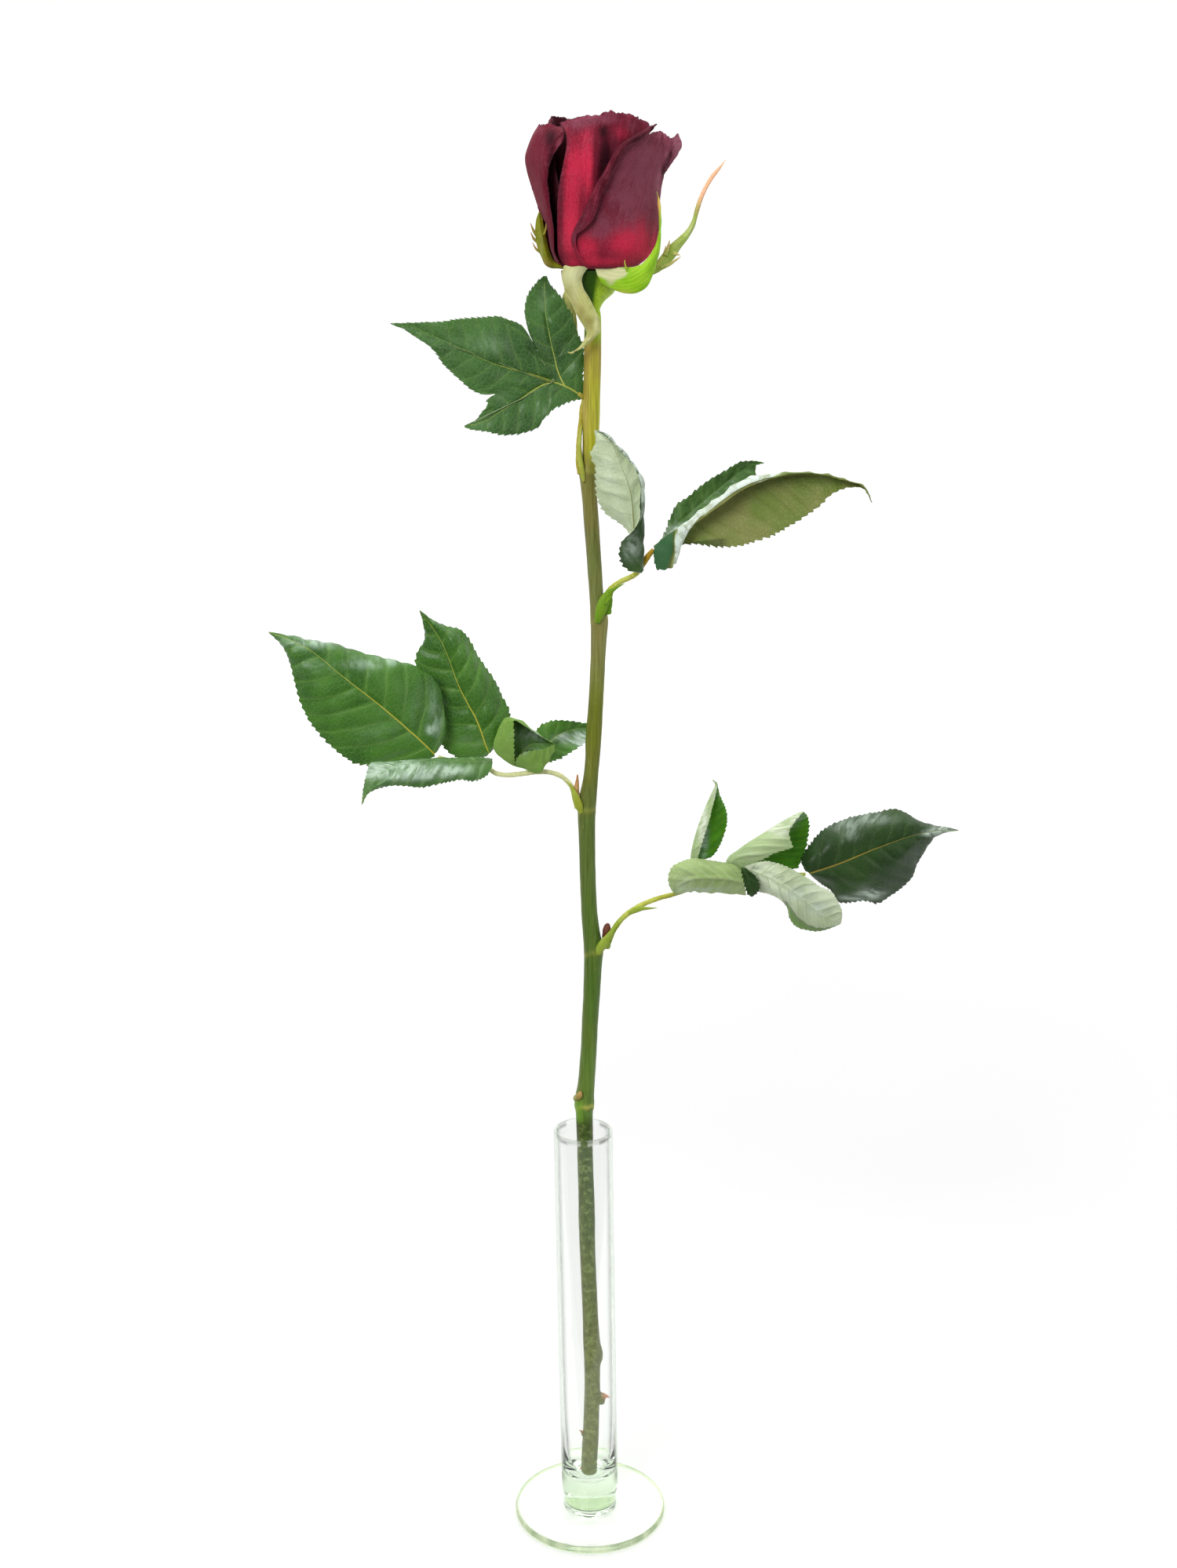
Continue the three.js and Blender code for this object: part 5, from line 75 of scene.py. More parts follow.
    "petal_front": {"rows": 15, "cols": 9, "up": 1, "at": [-1.42,-1.02,586.38,-1.74,-0.87,586.38,-2.39,-0.51,586.39,-1.42,-0.6,586.23,4.1,-0.77,585.76,9.64,0.96,585.47,14.58,4.27,585.52,18.27,8.44,585.89,20.78,19.63,587,-3.75,-3.37,589.91,-4.68,-3.07,590.08,-5.86,-2.21,590.5,-3.89,-2.49,589.91,3.84,-3.31,589.52,10.52,-2.28,588.99,16.56,1.67,588.44,21.78,9.41,588.12,23.81,20.65,589.93,-5.74,-4.55,594.15,-6.85,-4.24,594.65,-7.75,-3.13,595.72,-5.73,-3.23,594.28,3.69,-5.7,593.37,11.58,-4.91,592.89,18.54,-0.32,591.76,24.58,10.95,590.94,25.98,21.58,593.51,-5.57,-5.94,598.12,-6.27,-6.04,599.21,-6.57,-5.32,600.58,-5.44,-4.37,598.8,4.15,-7.11,597.65,13.07,-5.6,597.45,20.36,-0.46,595.72,26.68,12.79,594.16,26.76,22.29,597.71,-2.22,-8.27,600.71,-3.61,-8.45,602.98,-4.04,-7.77,604.99,-3.2,-6.31,602.59,5.14,-7.74,602.03,14.61,-5.67,602.06,21.87,0.02,599.81,27.83,14.74,597.76,27.13,22.67,602.01,0.91,-9.98,603.96,-1.18,-10.57,607.07,-1.86,-10.09,609.65,-0.85,-7.97,606.46,6.53,-8.54,606.28,16.12,-5.68,606.68,23.05,0.73,603.97,28.4,14.84,601.96,27.33,22.71,606.34,2.77,-11.45,608.17,0.8,-12.39,611.53,0.65,-11.85,614.38,1.28,-9.45,610.53,8.23,-9.19,610.45,17.66,-5.4,611.28,24.08,1.49,608.16,28.57,14.33,606.2,27.64,22.48,610.66,4.22,-12.67,612.61,3.09,-13.72,616.02,3.2,-12.99,619.28,3.38,-10.5,614.73,10.11,-9.44,614.57,19.22,-4.82,615.85,24.98,2.22,612.39,28.6,13.88,610.44,28.03,21.77,614.92,5.95,-13.46,617.07,5.46,-14.61,620.57,6.31,-13.72,623.94,5.54,-11.13,618.99,12.13,-9.39,618.64,20.81,-4.1,620.39,25.8,2.88,616.65,28.77,14.71,614.62,28.75,19.71,618.62,8.16,-13.96,621.34,8.3,-15.02,624.92,9.08,-13.72,628.84,8.02,-11.47,623.11,14.26,-9.07,622.64,22.45,-3.05,624.84,26.58,3.46,620.92,29.04,13.01,618.31,29.65,16.85,621.76,10.43,-14.16,625.61,10.92,-14.82,629.42,12.31,-12.74,633.21,10.62,-11.41,627.17,16.53,-8.48,626.53,24.2,-1.46,629.08,27.5,3.83,625.19,29.39,9.89,621.19,31.5,14.67,624.95,12.52,-13.72,629.93,14.3,-13.49,633.09,16.58,-10.31,635.98,13.14,-10.53,631.16,18.91,-7.09,630.13,25.82,1.06,632.9,28.53,5.48,629.08,30.2,9.48,625.24,34.28,13.61,628.09,15.88,-12.11,632.93,18.17,-10.99,635.51,20.58,-7.13,638.37,16.79,-8.64,633.61,21.26,-4.91,633.34,27.18,4.44,636.1,29.55,8.06,632.47,31.32,9.36,629.32,36.47,13.01,631.79,19.48,-9.58,634.9,21.66,-7.78,637.65,23.73,-2.85,640.25,20.4,-5.85,635.13,23.28,-1.94,636.11,28.06,8.69,638.26,30.5,10.91,635.66,32.6,8.53,633.32,37.67,10.89,635.21,22.39,-6.46,637.18,24.67,-4.17,639.92,26.75,1.57,642.06,23.46,-2.57,636.87,25.17,1.29,638.69,28.78,13.14,640.08,31.42,13.89,638.75,33.78,7.81,637.36,36.44,9.84,639.2]},
    "petal_centre": {"rows": 13, "cols": 7, "up": 1, "at": [-12.63,11.98,587.85,-9.94,6.77,586.82,-5.66,2.83,586.13,-1.42,0.66,586.09,2.48,0.35,586.09,6.39,1.28,586.1,10.33,3.55,586.14,-13.45,8.41,591.55,-10.13,3.95,591.15,-5.32,-0.05,590.4,-0.9,-2.16,590.48,3.54,-1.96,590.58,7.97,-0.91,590.47,12.47,1.64,590.24,-13.77,6.51,596.36,-10.17,1.4,595.65,-4.93,-2.56,594.89,-0.37,-4.5,595.12,4.56,-3.73,595.3,9.41,-2.56,595.1,14.48,0.15,594.57,-13.81,4.39,601.11,-9.86,-0.35,600.5,-4.42,-3.94,599.83,0.15,-5.6,600.21,5.46,-4.22,600.34,10.48,-2.83,600.1,15.94,0.12,599.36,-13.73,1.81,605.64,-9.38,-2.13,605.33,-3.86,-5.19,604.8,0.7,-6.6,605.32,6.21,-4.64,605.42,11.38,-2.89,605.16,17.09,0.58,604.21,-13.47,-1.05,609.98,-8.75,-4.48,609.9,-3.28,-6.84,609.66,1.3,-7.88,610.37,6.75,-5.28,610.51,12.12,-3.14,610.23,18.05,0.94,609.12,-13.17,-3.56,614.53,-8.1,-6.42,614.64,-2.65,-8.22,614.6,1.8,-8.88,615.48,7.37,-5.76,615.61,12.93,-3.21,615.3,18.9,1.32,614.05,-12.46,-5.71,619.2,-7.45,-7.9,619.56,-2.02,-9.28,619.62,2.16,-9.7,620.64,7.95,-6.23,620.71,13.73,-3.25,620.37,19.7,1.67,618.99,-11.38,-7.81,623.85,-6.78,-9.29,624.5,-1.59,-10.26,624.67,2.38,-10.48,625.82,8.34,-6.92,625.8,14.33,-3.7,625.46,20.36,1.42,623.95,-10.36,-9.08,628.78,-6.22,-9.79,629.6,-1.17,-10.49,629.8,2.25,-10.41,631.05,8.84,-7.08,630.93,15,-3.68,630.54,20.99,1.16,628.91,-9.64,-9.01,633.92,-5.82,-9.26,634.73,-0.73,-9.9,634.91,2.42,-9.49,636.18,9.37,-6.44,636.01,15.67,-2.99,635.58,21.84,1.83,633.76,-10.18,-7.12,638.69,-5.51,-7.56,639.59,-0.16,-8.27,639.77,3.41,-7.63,640.97,9.74,-5.29,641.02,16.14,-1.7,640.53,23.33,4.58,637.67,-12.53,-3.94,642.06,-6.16,-5.09,644.07,-0.14,-6.08,644.44,4.62,-5.38,645.55,9.71,-3.88,645.98,16.13,-0.49,645.52,24.33,6.06,642.27]},
    "petal_left": {"rows": 13, "cols": 6, "up": 1, "at": [-12.91,8.57,587.64,-13.25,9.14,587.65,-13.96,12.55,587.86,-14.99,15.09,588.86,-11.84,19.26,586.5,-9.56,22.43,586.5,-14.96,7.19,592.08,-15.25,8,592.15,-15.8,11.6,592.48,-16.47,14.86,593.4,-13.8,20.67,590.91,-10.36,25.15,590.59,-15.11,4.8,596.52,-15.81,5.95,596.68,-16.45,9.36,596.89,-17.34,14.73,598.1,-14.58,21.1,595.83,-10.43,26.81,595.24,-15.36,2.85,601.2,-16.42,4.43,601.41,-17.4,8.83,601.47,-18.2,14.66,602.8,-15.31,21.38,600.79,-10.34,27.97,600.07,-15.96,1.26,605.99,-17.64,3.55,606.23,-19.29,11.32,605.44,-20.26,14.57,607.1,-16.75,21.97,605.57,-10.8,29.34,604.83,-16.48,-0.77,610.63,-18.39,1.42,610.76,-21.24,11.65,610.03,-22.21,14.52,611.46,-18.88,22.67,610.07,-12.12,30.57,609.46,-16.91,-2.7,615.32,-19.03,-0.54,615.37,-23,11,614.72,-23.77,14.52,615.99,-20.73,23.09,614.72,-13.57,31.5,614.12,-17.11,-4.1,620.2,-19.62,-1.88,620.21,-24.49,10.64,619.54,-25.13,14.56,620.57,-22.37,23.39,619.46,-15.09,32.08,618.82,-16.55,-5.69,625,-19.56,-3.49,625,-25.29,8.72,624.09,-26.43,14.64,625.17,-23.84,23.68,624.26,-16.86,32.28,623.46,-14.84,-6.68,629.64,-18.82,-4.28,629.9,-25.21,6.19,628.44,-27.01,14.77,629.88,-24.51,23.44,629.23,-18.04,31.89,628.27,-11.7,-7.06,633.59,-17.35,-3.57,634.68,-23.91,4.84,633.12,-25.74,14.99,634.48,-23.88,22.95,634.18,-18.9,30.53,632.97,-10.65,-4.5,637.71,-16.08,-1.17,638.88,-21.88,4.66,637.74,-23.77,15.28,638.82,-22.48,21.94,638.89,-19.16,27.99,637.19,-11.62,-0.71,640.96,-16.15,2.8,642.01,-19.42,5.5,642.07,-20.96,15.89,642.62,-20.89,19.57,643,-19.61,24.32,640.5]},
    "petal_back_left": {"rows": 11, "cols": 7, "up": 1, "at": [6.01,32.2,586.5,2.27,32.31,586.5,-1.4,31.6,586.5,-4.83,30.09,586.5,-7.85,27.88,586.5,-13.08,20.22,586.8,-13.63,17.53,586.8,8.75,34.92,590.64,4,35.52,591.05,-0.83,34.91,591.39,-5.44,33.09,591.64,-9.49,30.12,591.78,-16.22,22.17,591.02,-17.36,16.52,590.71,11.21,36.63,595.38,5.49,37.64,596.22,-0.39,37.02,596.87,-5.97,34.82,597.29,-10.79,31.11,597.5,-17.34,22.71,596.42,-18.8,15.26,595.74,12.93,37,600.75,6.38,38.58,601.89,-0.43,38.11,602.69,-6.87,35.72,603.13,-12.27,31.44,603.27,-18.16,23.29,601.94,-19.46,15.54,601.11,13.87,37.45,606.31,6.52,39.66,607.62,-1.15,39.32,608.45,-8.36,36.75,608.82,-14.26,31.91,608.88,-19.14,25.05,607.16,-20.78,17.84,605.91,14.14,38.28,611.89,6.19,40.9,613.3,-2.16,40.58,614.15,-10,37.83,614.47,-16.35,32.51,614.44,-20.13,27.2,612.24,-22.28,20.1,610.68,14.03,39.08,617.49,5.71,41.99,619.01,-3.1,41.67,619.91,-11.4,38.82,620.2,-18.05,33.15,620.13,-21.31,28.5,617.58,-23.74,21.48,615.8,13.11,40.42,622.9,4.76,43.26,624.61,-4.08,42.66,625.67,-12.45,39.79,626,-19.2,34.07,625.92,-22.34,29.56,623,-25.17,22.01,621.08,11.55,41.76,628.17,3.53,44.03,630.24,-4.75,42.91,631.54,-12.66,40.15,631.94,-19.06,34.72,631.82,-22.92,30.31,628.53,-26.02,22.51,626.48,9.5,42.46,633.38,2.27,43.67,635.91,-4.86,41.95,637.38,-11.81,39.52,637.81,-17.47,34.73,637.57,-22.57,30.75,634.11,-25.73,23.57,631.84,7.11,42.22,638.5,1.1,42.3,641.45,-4.63,40.22,643.05,-10.43,38.31,643.5,-15.15,34.3,643.05,-21.04,31.17,639.5,-23.97,25.89,636.5]},
    "petal_back_right": {"rows": 11, "cols": 7, "up": 1, "at": [18.52,17.21,587,15.58,23.82,586.7,13.32,26.33,586.7,10.54,28.25,586.7,7.39,29.48,586.7,4.05,29.95,586.7,0.68,29.64,586.7,22.27,17.33,590.77,19.23,24.89,590.84,16.48,28.29,591.02,12.94,30.91,591.18,8.83,32.58,591.31,4.38,33.15,591.38,-0.12,32.52,591.34,24.62,17.28,595.46,21.98,25.4,595.65,18.74,29.58,596.03,14.46,32.75,596.33,9.42,34.63,596.58,4,35.06,596.66,-1.35,33.9,596.49,25.47,17.09,600.7,23.1,25.12,601.15,19.52,29.96,601.66,14.69,33.61,601.99,8.94,35.66,602.2,2.84,35.94,602.14,-3.02,34.28,601.74,25.79,16.89,606,23.64,24.99,606.75,19.76,30.49,607.33,14.41,34.61,607.63,8,36.79,607.75,1.29,36.92,607.52,-5,34.77,606.87,26.04,16.65,611.31,23.96,25.11,612.36,19.79,31.2,612.98,13.96,35.74,613.24,6.95,38.04,613.25,-0.36,38.1,612.83,-7.13,35.58,611.9,26.24,16.59,616.62,24.18,25.38,617.97,19.79,31.86,618.64,13.64,36.72,618.88,6.2,39.09,618.84,-1.52,39.12,618.29,-8.61,36.34,617.16,26.59,16.77,621.92,24.35,26.26,623.52,19.83,32.78,624.27,13.58,37.75,624.52,6,40.14,624.48,-1.84,40.31,623.82,-9.06,37.64,622.5,27.11,17.37,627.17,24.24,27.47,629,19.69,33.55,629.91,13.69,38.28,630.22,6.43,40.57,630.17,-1.08,41.08,629.38,-8.17,38.94,627.78,27.15,18.65,632.31,23.52,28.57,634.46,19.12,33.65,635.57,13.78,37.76,635.93,7.35,39.82,635.78,0.64,40.84,634.77,-6.03,39.57,632.8,26.31,21,637,22.11,29.27,639.86,18.1,33.03,641.14,13.74,36.4,641.5,8.43,38.1,641.14,2.86,39.63,639.86,-3.13,39.37,637.5]},
    "petal_inner_1": {"rows": 9, "cols": 7, "up": 1, "at": [6.43,30.61,590.5,1.23,30.43,590.5,-3.65,28.51,590.5,-7.64,25.04,590.5,-10.25,20.4,590.5,-11.18,15.12,590.5,-10.29,9.8,590.5,8.85,31.73,597.01,2.52,32.1,597.31,-3.58,30.06,597.54,-8.52,25.83,597.67,-11.54,19.99,597.66,-12.13,13.43,597.49,-10.22,7.12,597.15,10.3,32.44,603.84,2.86,33.46,604.29,-4.42,31.33,604.58,-10.24,26.39,604.7,-13.53,19.46,604.65,-13.65,11.76,604.38,-10.6,4.65,603.87,10.77,32.95,610.84,2.41,34.6,611.31,-5.87,32.39,611.57,-12.41,26.82,611.62,-15.9,18.92,611.52,-15.52,10.24,611.22,-11.42,2.49,610.65,10.67,33.64,617.84,1.6,35.71,618.3,-7.44,33.35,618.54,-14.55,27.23,618.55,-18.19,18.5,618.43,-17.42,9.02,618.11,-12.53,0.75,617.51,10.06,34.69,624.77,0.57,36.81,625.27,-8.93,34.19,625.55,-16.37,27.64,625.57,-20.11,18.36,625.45,-19.12,8.36,625.12,-13.9,-0.3,624.46,8.22,35.57,631.49,-0.76,36.81,632.26,-9.55,33.8,632.7,-16.47,27.43,632.79,-20.05,18.61,632.69,-19.41,9.13,632.29,-15.22,0.59,631.42,5.63,35.49,638.01,-2.17,35.56,639.13,-9.39,32.26,639.73,-15.16,26.63,639.89,-18.32,19.12,639.75,-18.27,10.97,639.2,-15.74,3.16,638.07,2.7,34.33,644.3,-3.49,33.35,645.78,-8.84,30.04,646.58,-13.23,25.51,646.8,-15.82,19.66,646.58,-16.24,13.25,645.78,-15.36,6.68,644.3]},
    "petal_inner_2": {"rows": 9, "cols": 7, "up": 1, "at": [14.39,5.09,590.9,17.32,8.73,590.9,18.91,13.16,590.9,18.97,17.9,590.9,17.48,22.44,590.9,14.56,26.27,590.9,10.53,28.96,590.9,14.4,3.12,597.62,18.34,7.26,597.65,20.49,12.56,597.66,20.59,18.32,597.65,18.58,23.77,597.68,14.71,28.17,597.69,9.43,30.87,597.64,13.26,1.47,604.31,18.2,5.91,604.49,20.94,12.01,604.56,21.11,18.74,604.56,18.53,25.02,604.55,13.68,29.83,604.45,7.27,32.29,604.22,11.61,0.1,610.98,17.42,4.76,611.34,20.67,11.57,611.51,20.87,19.17,611.51,17.76,26.16,611.42,12.03,31.26,611.16,4.66,33.4,610.72,10.34,-1.02,617.76,16.83,3.88,618.25,20.44,11.3,618.46,20.66,19.62,618.45,17.04,27.18,618.31,10.58,32.53,617.95,2.4,34.41,617.36,10.23,-1.73,624.72,17.03,3.45,625.22,20.7,11.32,625.42,20.87,20.11,625.39,16.88,28.02,625.25,9.97,33.59,624.89,1.28,35.4,624.27,11.91,-1,631.44,17.91,4.39,632.07,20.93,12.03,632.34,20.99,20.4,632.34,17.11,27.9,632.24,10.7,33.42,631.88,2.55,35.68,631.19,14.07,1.12,637.74,18.75,6.39,638.71,20.74,13.21,639.2,20.71,20.43,639.29,17.32,26.88,639.16,12.11,32.02,638.64,5.24,34.74,637.66,16.13,4.16,643.7,19.16,9,645.18,19.96,14.59,645.98,19.9,20.27,646.2,17.18,25.29,645.98,13.54,29.78,645.18,8.41,32.82,643.7]},
    "petal_inner_3": {"rows": 9, "cols": 7, "up": 1, "at": [-7.57,12.18,591.3,-5.99,8.35,591.3,-3.25,5.2,591.3,0.37,3.06,591.3,4.51,2.18,591.3,8.76,2.66,591.3,12.65,4.47,591.3,-8.53,13.69,597.83,-7.11,8.77,598.03,-3.95,4.67,598.08,0.52,2,597.99,5.66,1.14,597.83,10.77,2.19,597.6,15.18,5.02,597.35,-10.03,15.17,604.25,-8.91,9.24,604.6,-5.43,4.24,604.73,-0.17,1.05,604.66,5.96,0.26,604.46,11.94,1.94,604.11,16.76,5.88,603.66,-11.87,16.43,610.64,-11.04,9.62,611.09,-7.3,3.81,611.29,-1.36,0.17,611.27,5.64,-0.5,611.11,12.36,1.8,610.73,17.4,6.83,610.13,-13.75,17.17,617.09,-13.04,9.69,617.62,-9.04,3.28,617.88,-2.51,-0.71,617.89,5.18,-1.25,617.76,12.46,1.56,617.35,17.62,7.47,616.67,-15.4,17.06,623.64,-14.52,9.23,624.28,-10.22,2.52,624.57,-3.28,-1.62,624.56,4.84,-2.03,624.41,12.46,1.02,623.96,17.69,7.38,623.24,-16.1,15.38,630.13,-14.43,8.04,630.99,-9.92,1.89,631.35,-3.19,-1.94,631.32,4.61,-2.29,631.1,12,0.35,630.54,17.25,6.17,629.68,-15.16,12.9,636.32,-12.7,6.73,637.45,-8.31,1.7,637.98,-2.35,-1.5,638.03,4.44,-1.81,637.78,11.05,-0.03,637.08,16.07,4.62,635.95,-12.88,10.24,642.1,-9.87,5.64,643.58,-5.93,2,644.38,-1.1,-0.42,644.6,4.3,-0.62,644.38,9.72,0.16,643.58,14.16,3.31,642.1]},
    "petal_inner_4": {"rows": 9, "cols": 7, "up": 1, "at": [9.92,25.83,591.7,6.36,26.96,591.7,2.6,26.9,591.7,-0.97,25.64,591.7,-3.98,23.29,591.7,-6.1,20.09,591.7,-7.1,16.35,591.7,12.06,25.65,597.93,7.85,27.57,598.18,3.17,27.83,598.39,-1.31,26.3,598.5,-4.95,23.2,598.51,-7.17,18.94,598.37,-7.64,14.17,598.07,13.32,25.27,604.37,8.48,28.07,604.8,2.87,28.71,605.09,-2.52,26.91,605.2,-6.72,23.05,605.16,-8.88,17.75,604.9,-8.61,12.04,604.4,13.73,24.88,610.93,8.39,28.51,611.47,1.98,29.53,611.75,-4.2,27.46,611.82,-8.85,22.89,611.7,-10.89,16.67,611.36,-9.85,10.15,610.76,13.71,24.8,617.52,7.98,29,618.12,0.97,30.29,618.41,-5.81,27.97,618.45,-10.82,22.82,618.29,-12.77,15.85,617.9,-11.14,8.74,617.24,13.45,25.39,624.07,7.41,29.72,624.73,0.01,31.06,625.07,-7.11,28.49,625.15,-12.36,22.98,625,-14.29,15.57,624.58,-12.45,8.11,623.83,12.52,26.68,630.46,6.46,30.19,631.33,-0.61,31.15,631.81,-7.32,28.45,631.98,-12.39,23.22,631.86,-14.52,16.2,631.37,-13.36,8.98,630.44,10.9,27.89,636.72,5.24,30.05,637.89,-0.91,30.45,638.53,-6.59,27.82,638.75,-11.08,23.38,638.6,-13.36,17.43,638.01,-13.21,11.05,636.84,8.72,28.55,642.9,3.88,29.22,644.38,-1.02,29.13,645.18,-5.37,26.76,645.4,-9.03,23.38,645.18,-11.25,18.83,644.38,-11.93,13.73,642.9]},
    "petal_inner_5": {"rows": 9, "cols": 7, "up": 1, "at": [8.92,5.95,592.1,11.76,7.62,592.1,13.95,10.13,592.1,15.23,13.23,592.1,15.47,16.59,592.1,14.62,19.88,592.1,12.76,22.76,592.1,7.67,4.81,598.49,11.49,6.42,598.61,14.44,9.37,598.64,16.09,13.23,598.62,16.2,17.45,598.59,14.71,21.44,598.53,11.83,24.61,598.39,5.68,3.94,604.72,10.39,5.33,605.04,14.14,8.63,605.18,16.16,13.25,605.19,16.11,18.32,605.11,13.9,22.9,604.91,10.01,26.16,604.56,3.46,3.26,610.9,8.94,4.39,611.43,13.4,7.97,611.7,15.73,13.29,611.75,15.5,19.12,611.62,12.58,24.17,611.27,7.78,27.39,610.67,1.64,2.68,617.22,7.74,3.65,617.9,12.77,7.47,618.25,15.3,13.35,618.31,14.92,19.79,618.15,11.37,25.17,617.69,5.82,28.34,616.92,0.92,2.04,623.75,7.38,3.11,624.49,12.68,7.18,624.84,15.24,13.43,624.89,14.78,20.23,624.72,10.85,25.82,624.24,4.88,29.08,623.42,2.1,1.74,630.21,8.21,3.36,631.04,13.11,7.52,631.41,15.37,13.59,631.46,14.99,20.14,631.3,11.28,25.58,630.82,5.73,29.17,629.96,4.5,2.31,636.32,9.67,4.47,637.39,13.69,8.43,637.92,15.41,13.82,638.03,15.25,19.56,637.85,12.19,24.47,637.27,7.73,28.25,636.19,7.38,3.73,642.1,11.26,6.24,643.58,14.14,9.73,644.38,15.21,14.1,644.6,15.32,18.66,644.38,13.14,22.72,643.58,10.12,26.45,642.1]},
    "petal_inner_6": {"rows": 9, "cols": 7, "up": 1, "at": [-2.87,19.33,592.5,-3.79,16.48,592.5,-3.71,13.46,592.5,-2.62,10.62,592.5,-0.63,8.29,592.5,2.04,6.75,592.5,5.1,6.19,592.5,-2.37,20.88,598.56,-4.03,17.55,598.83,-4.22,13.78,598.97,-2.91,10.21,598.97,-0.28,7.43,598.86,3.23,5.9,598.65,7.07,5.85,598.37,-2.45,22.27,604.66,-4.94,18.55,605.11,-5.48,14.07,605.33,-3.97,9.78,605.35,-0.67,6.59,605.22,3.72,5.17,604.91,8.33,5.76,604.43,-3,23.41,610.8,-6.28,19.4,611.34,-7.12,14.28,611.61,-5.44,9.36,611.66,-1.54,5.82,611.54,3.65,4.57,611.2,8.89,5.85,610.6,-3.84,24.2,616.97,-7.67,19.97,617.59,-8.68,14.36,617.91,-6.83,8.94,617.98,-2.44,5.15,617.87,3.32,4.08,617.5,8.98,5.89,616.8,-4.97,24.55,623.12,-8.94,20.12,623.88,-9.9,14.19,624.29,-7.91,8.49,624.36,-3.22,4.56,624.22,2.85,3.57,623.78,8.73,5.56,622.98,-6.24,24.01,629.23,-9.69,19.46,630.22,-10.15,13.69,630.75,-8.1,8.23,630.84,-3.59,4.43,630.64,2.19,3.29,630.06,7.94,4.81,629.08,-7.05,22.51,635.25,-9.51,18.12,636.49,-9.29,13.02,637.15,-7.35,8.27,637.28,-3.45,4.87,637.05,1.51,3.54,636.34,6.68,4.17,635.11,-7.11,20.27,641.1,-8.37,16.41,642.58,-7.57,12.35,643.38,-5.93,8.58,643.6,-2.84,5.8,643.38,1,4.43,642.58,5.11,4.01,641.1]},
    "petal_inner_7": {"rows": 9, "cols": 7, "up": 1, "at": [11.99,17.93,592.9,10.75,20.19,592.9,8.79,21.9,592.9,6.35,22.85,592.9,3.72,22.9,592.9,1.2,22.04,592.9,-0.88,20.37,592.9,12.85,16.81,599,11.68,19.84,599.11,9.37,22.15,599.2,6.29,23.35,599.26,2.96,23.19,599.28,-0.03,21.68,599.21,-2.14,19.09,599.03,12.83,15.72,605.16,11.82,19.5,605.38,9.16,22.42,605.51,5.45,23.87,605.56,1.47,23.41,605.53,-1.86,21.21,605.36,-3.76,17.7,605.04,12.22,14.81,611.33,11.41,19.26,611.65,8.43,22.72,611.8,4.16,24.38,611.79,-0.36,23.57,611.69,-3.93,20.69,611.44,-5.51,16.35,611.04,11.56,14.31,617.54,10.88,19.25,617.92,7.62,23.08,618.07,2.9,24.85,618.03,-2.04,23.7,617.9,-5.76,20.26,617.6,-7.01,15.29,617.15,11.28,14.49,623.79,10.5,19.67,624.18,6.94,23.57,624.34,1.92,25.34,624.32,-3.25,23.91,624.21,-7.1,20.16,623.89,-8.21,14.85,623.4,11.31,15.66,629.93,10.12,20.53,630.4,6.4,23.98,630.63,1.49,25.57,630.68,-3.48,24.03,630.62,-7.34,20.51,630.31,-8.68,15.42,629.73,11.22,17.39,635.95,9.59,21.51,636.59,5.98,24.11,636.95,1.62,25.4,637.06,-2.73,23.91,637,-6.38,21.06,636.64,-8.04,16.71,635.94,10.74,19.29,641.9,8.86,22.31,642.79,5.65,23.86,643.27,2.13,24.84,643.4,-1.32,23.5,643.27,-4.51,21.55,642.79,-6.37,18.25,641.9]},
    "petal_inner_8": {"rows": 9, "cols": 7, "up": 1, "at": [1.81,10.4,593.3,3.81,9.52,593.3,6,9.42,593.3,8.11,10.12,593.3,9.83,11.54,593.3,10.94,13.49,593.3,11.28,15.73,593.3,0.8,10.82,599.37,3.13,9.36,599.47,5.88,9.03,599.48,8.53,9.91,599.44,10.56,11.84,599.39,11.6,14.46,599.32,11.43,17.29,599.23,-0.74,11.31,605.32,1.8,9.24,605.53,5.07,8.64,605.61,8.25,9.7,605.59,10.56,12.17,605.51,11.44,15.45,605.36,10.64,18.75,605.12,-2.47,11.73,611.22,0.22,9.11,611.53,3.93,8.27,611.69,7.58,9.52,611.71,10.08,12.51,611.62,10.72,16.37,611.38,9.26,19.97,610.97,-3.96,11.91,617.2,-1.11,8.91,617.59,2.97,7.93,617.8,6.97,9.37,617.84,9.56,12.8,617.73,9.95,17.09,617.42,7.91,20.85,616.88,-4.95,11.59,623.28,-1.82,8.52,623.74,2.5,7.6,623.97,6.68,9.23,623.99,9.26,12.94,623.86,9.51,17.48,623.53,7.13,21.34,622.94,-4.78,10.64,629.36,-1.42,8.06,629.91,2.83,7.48,630.15,6.81,9.24,630.15,9.24,12.89,630,9.56,17.29,629.65,7.36,21.14,629.06,-3.36,9.59,635.25,0.01,7.85,635.94,3.82,7.74,636.26,7.28,9.48,636.29,9.4,12.74,636.13,9.9,16.63,635.74,8.26,20.21,635.05,-1.01,8.79,640.9,2.09,8.06,641.79,5.21,8.39,642.27,7.93,9.96,642.4,9.6,12.59,642.27,10.31,15.67,641.79,9.36,18.74,640.9]},
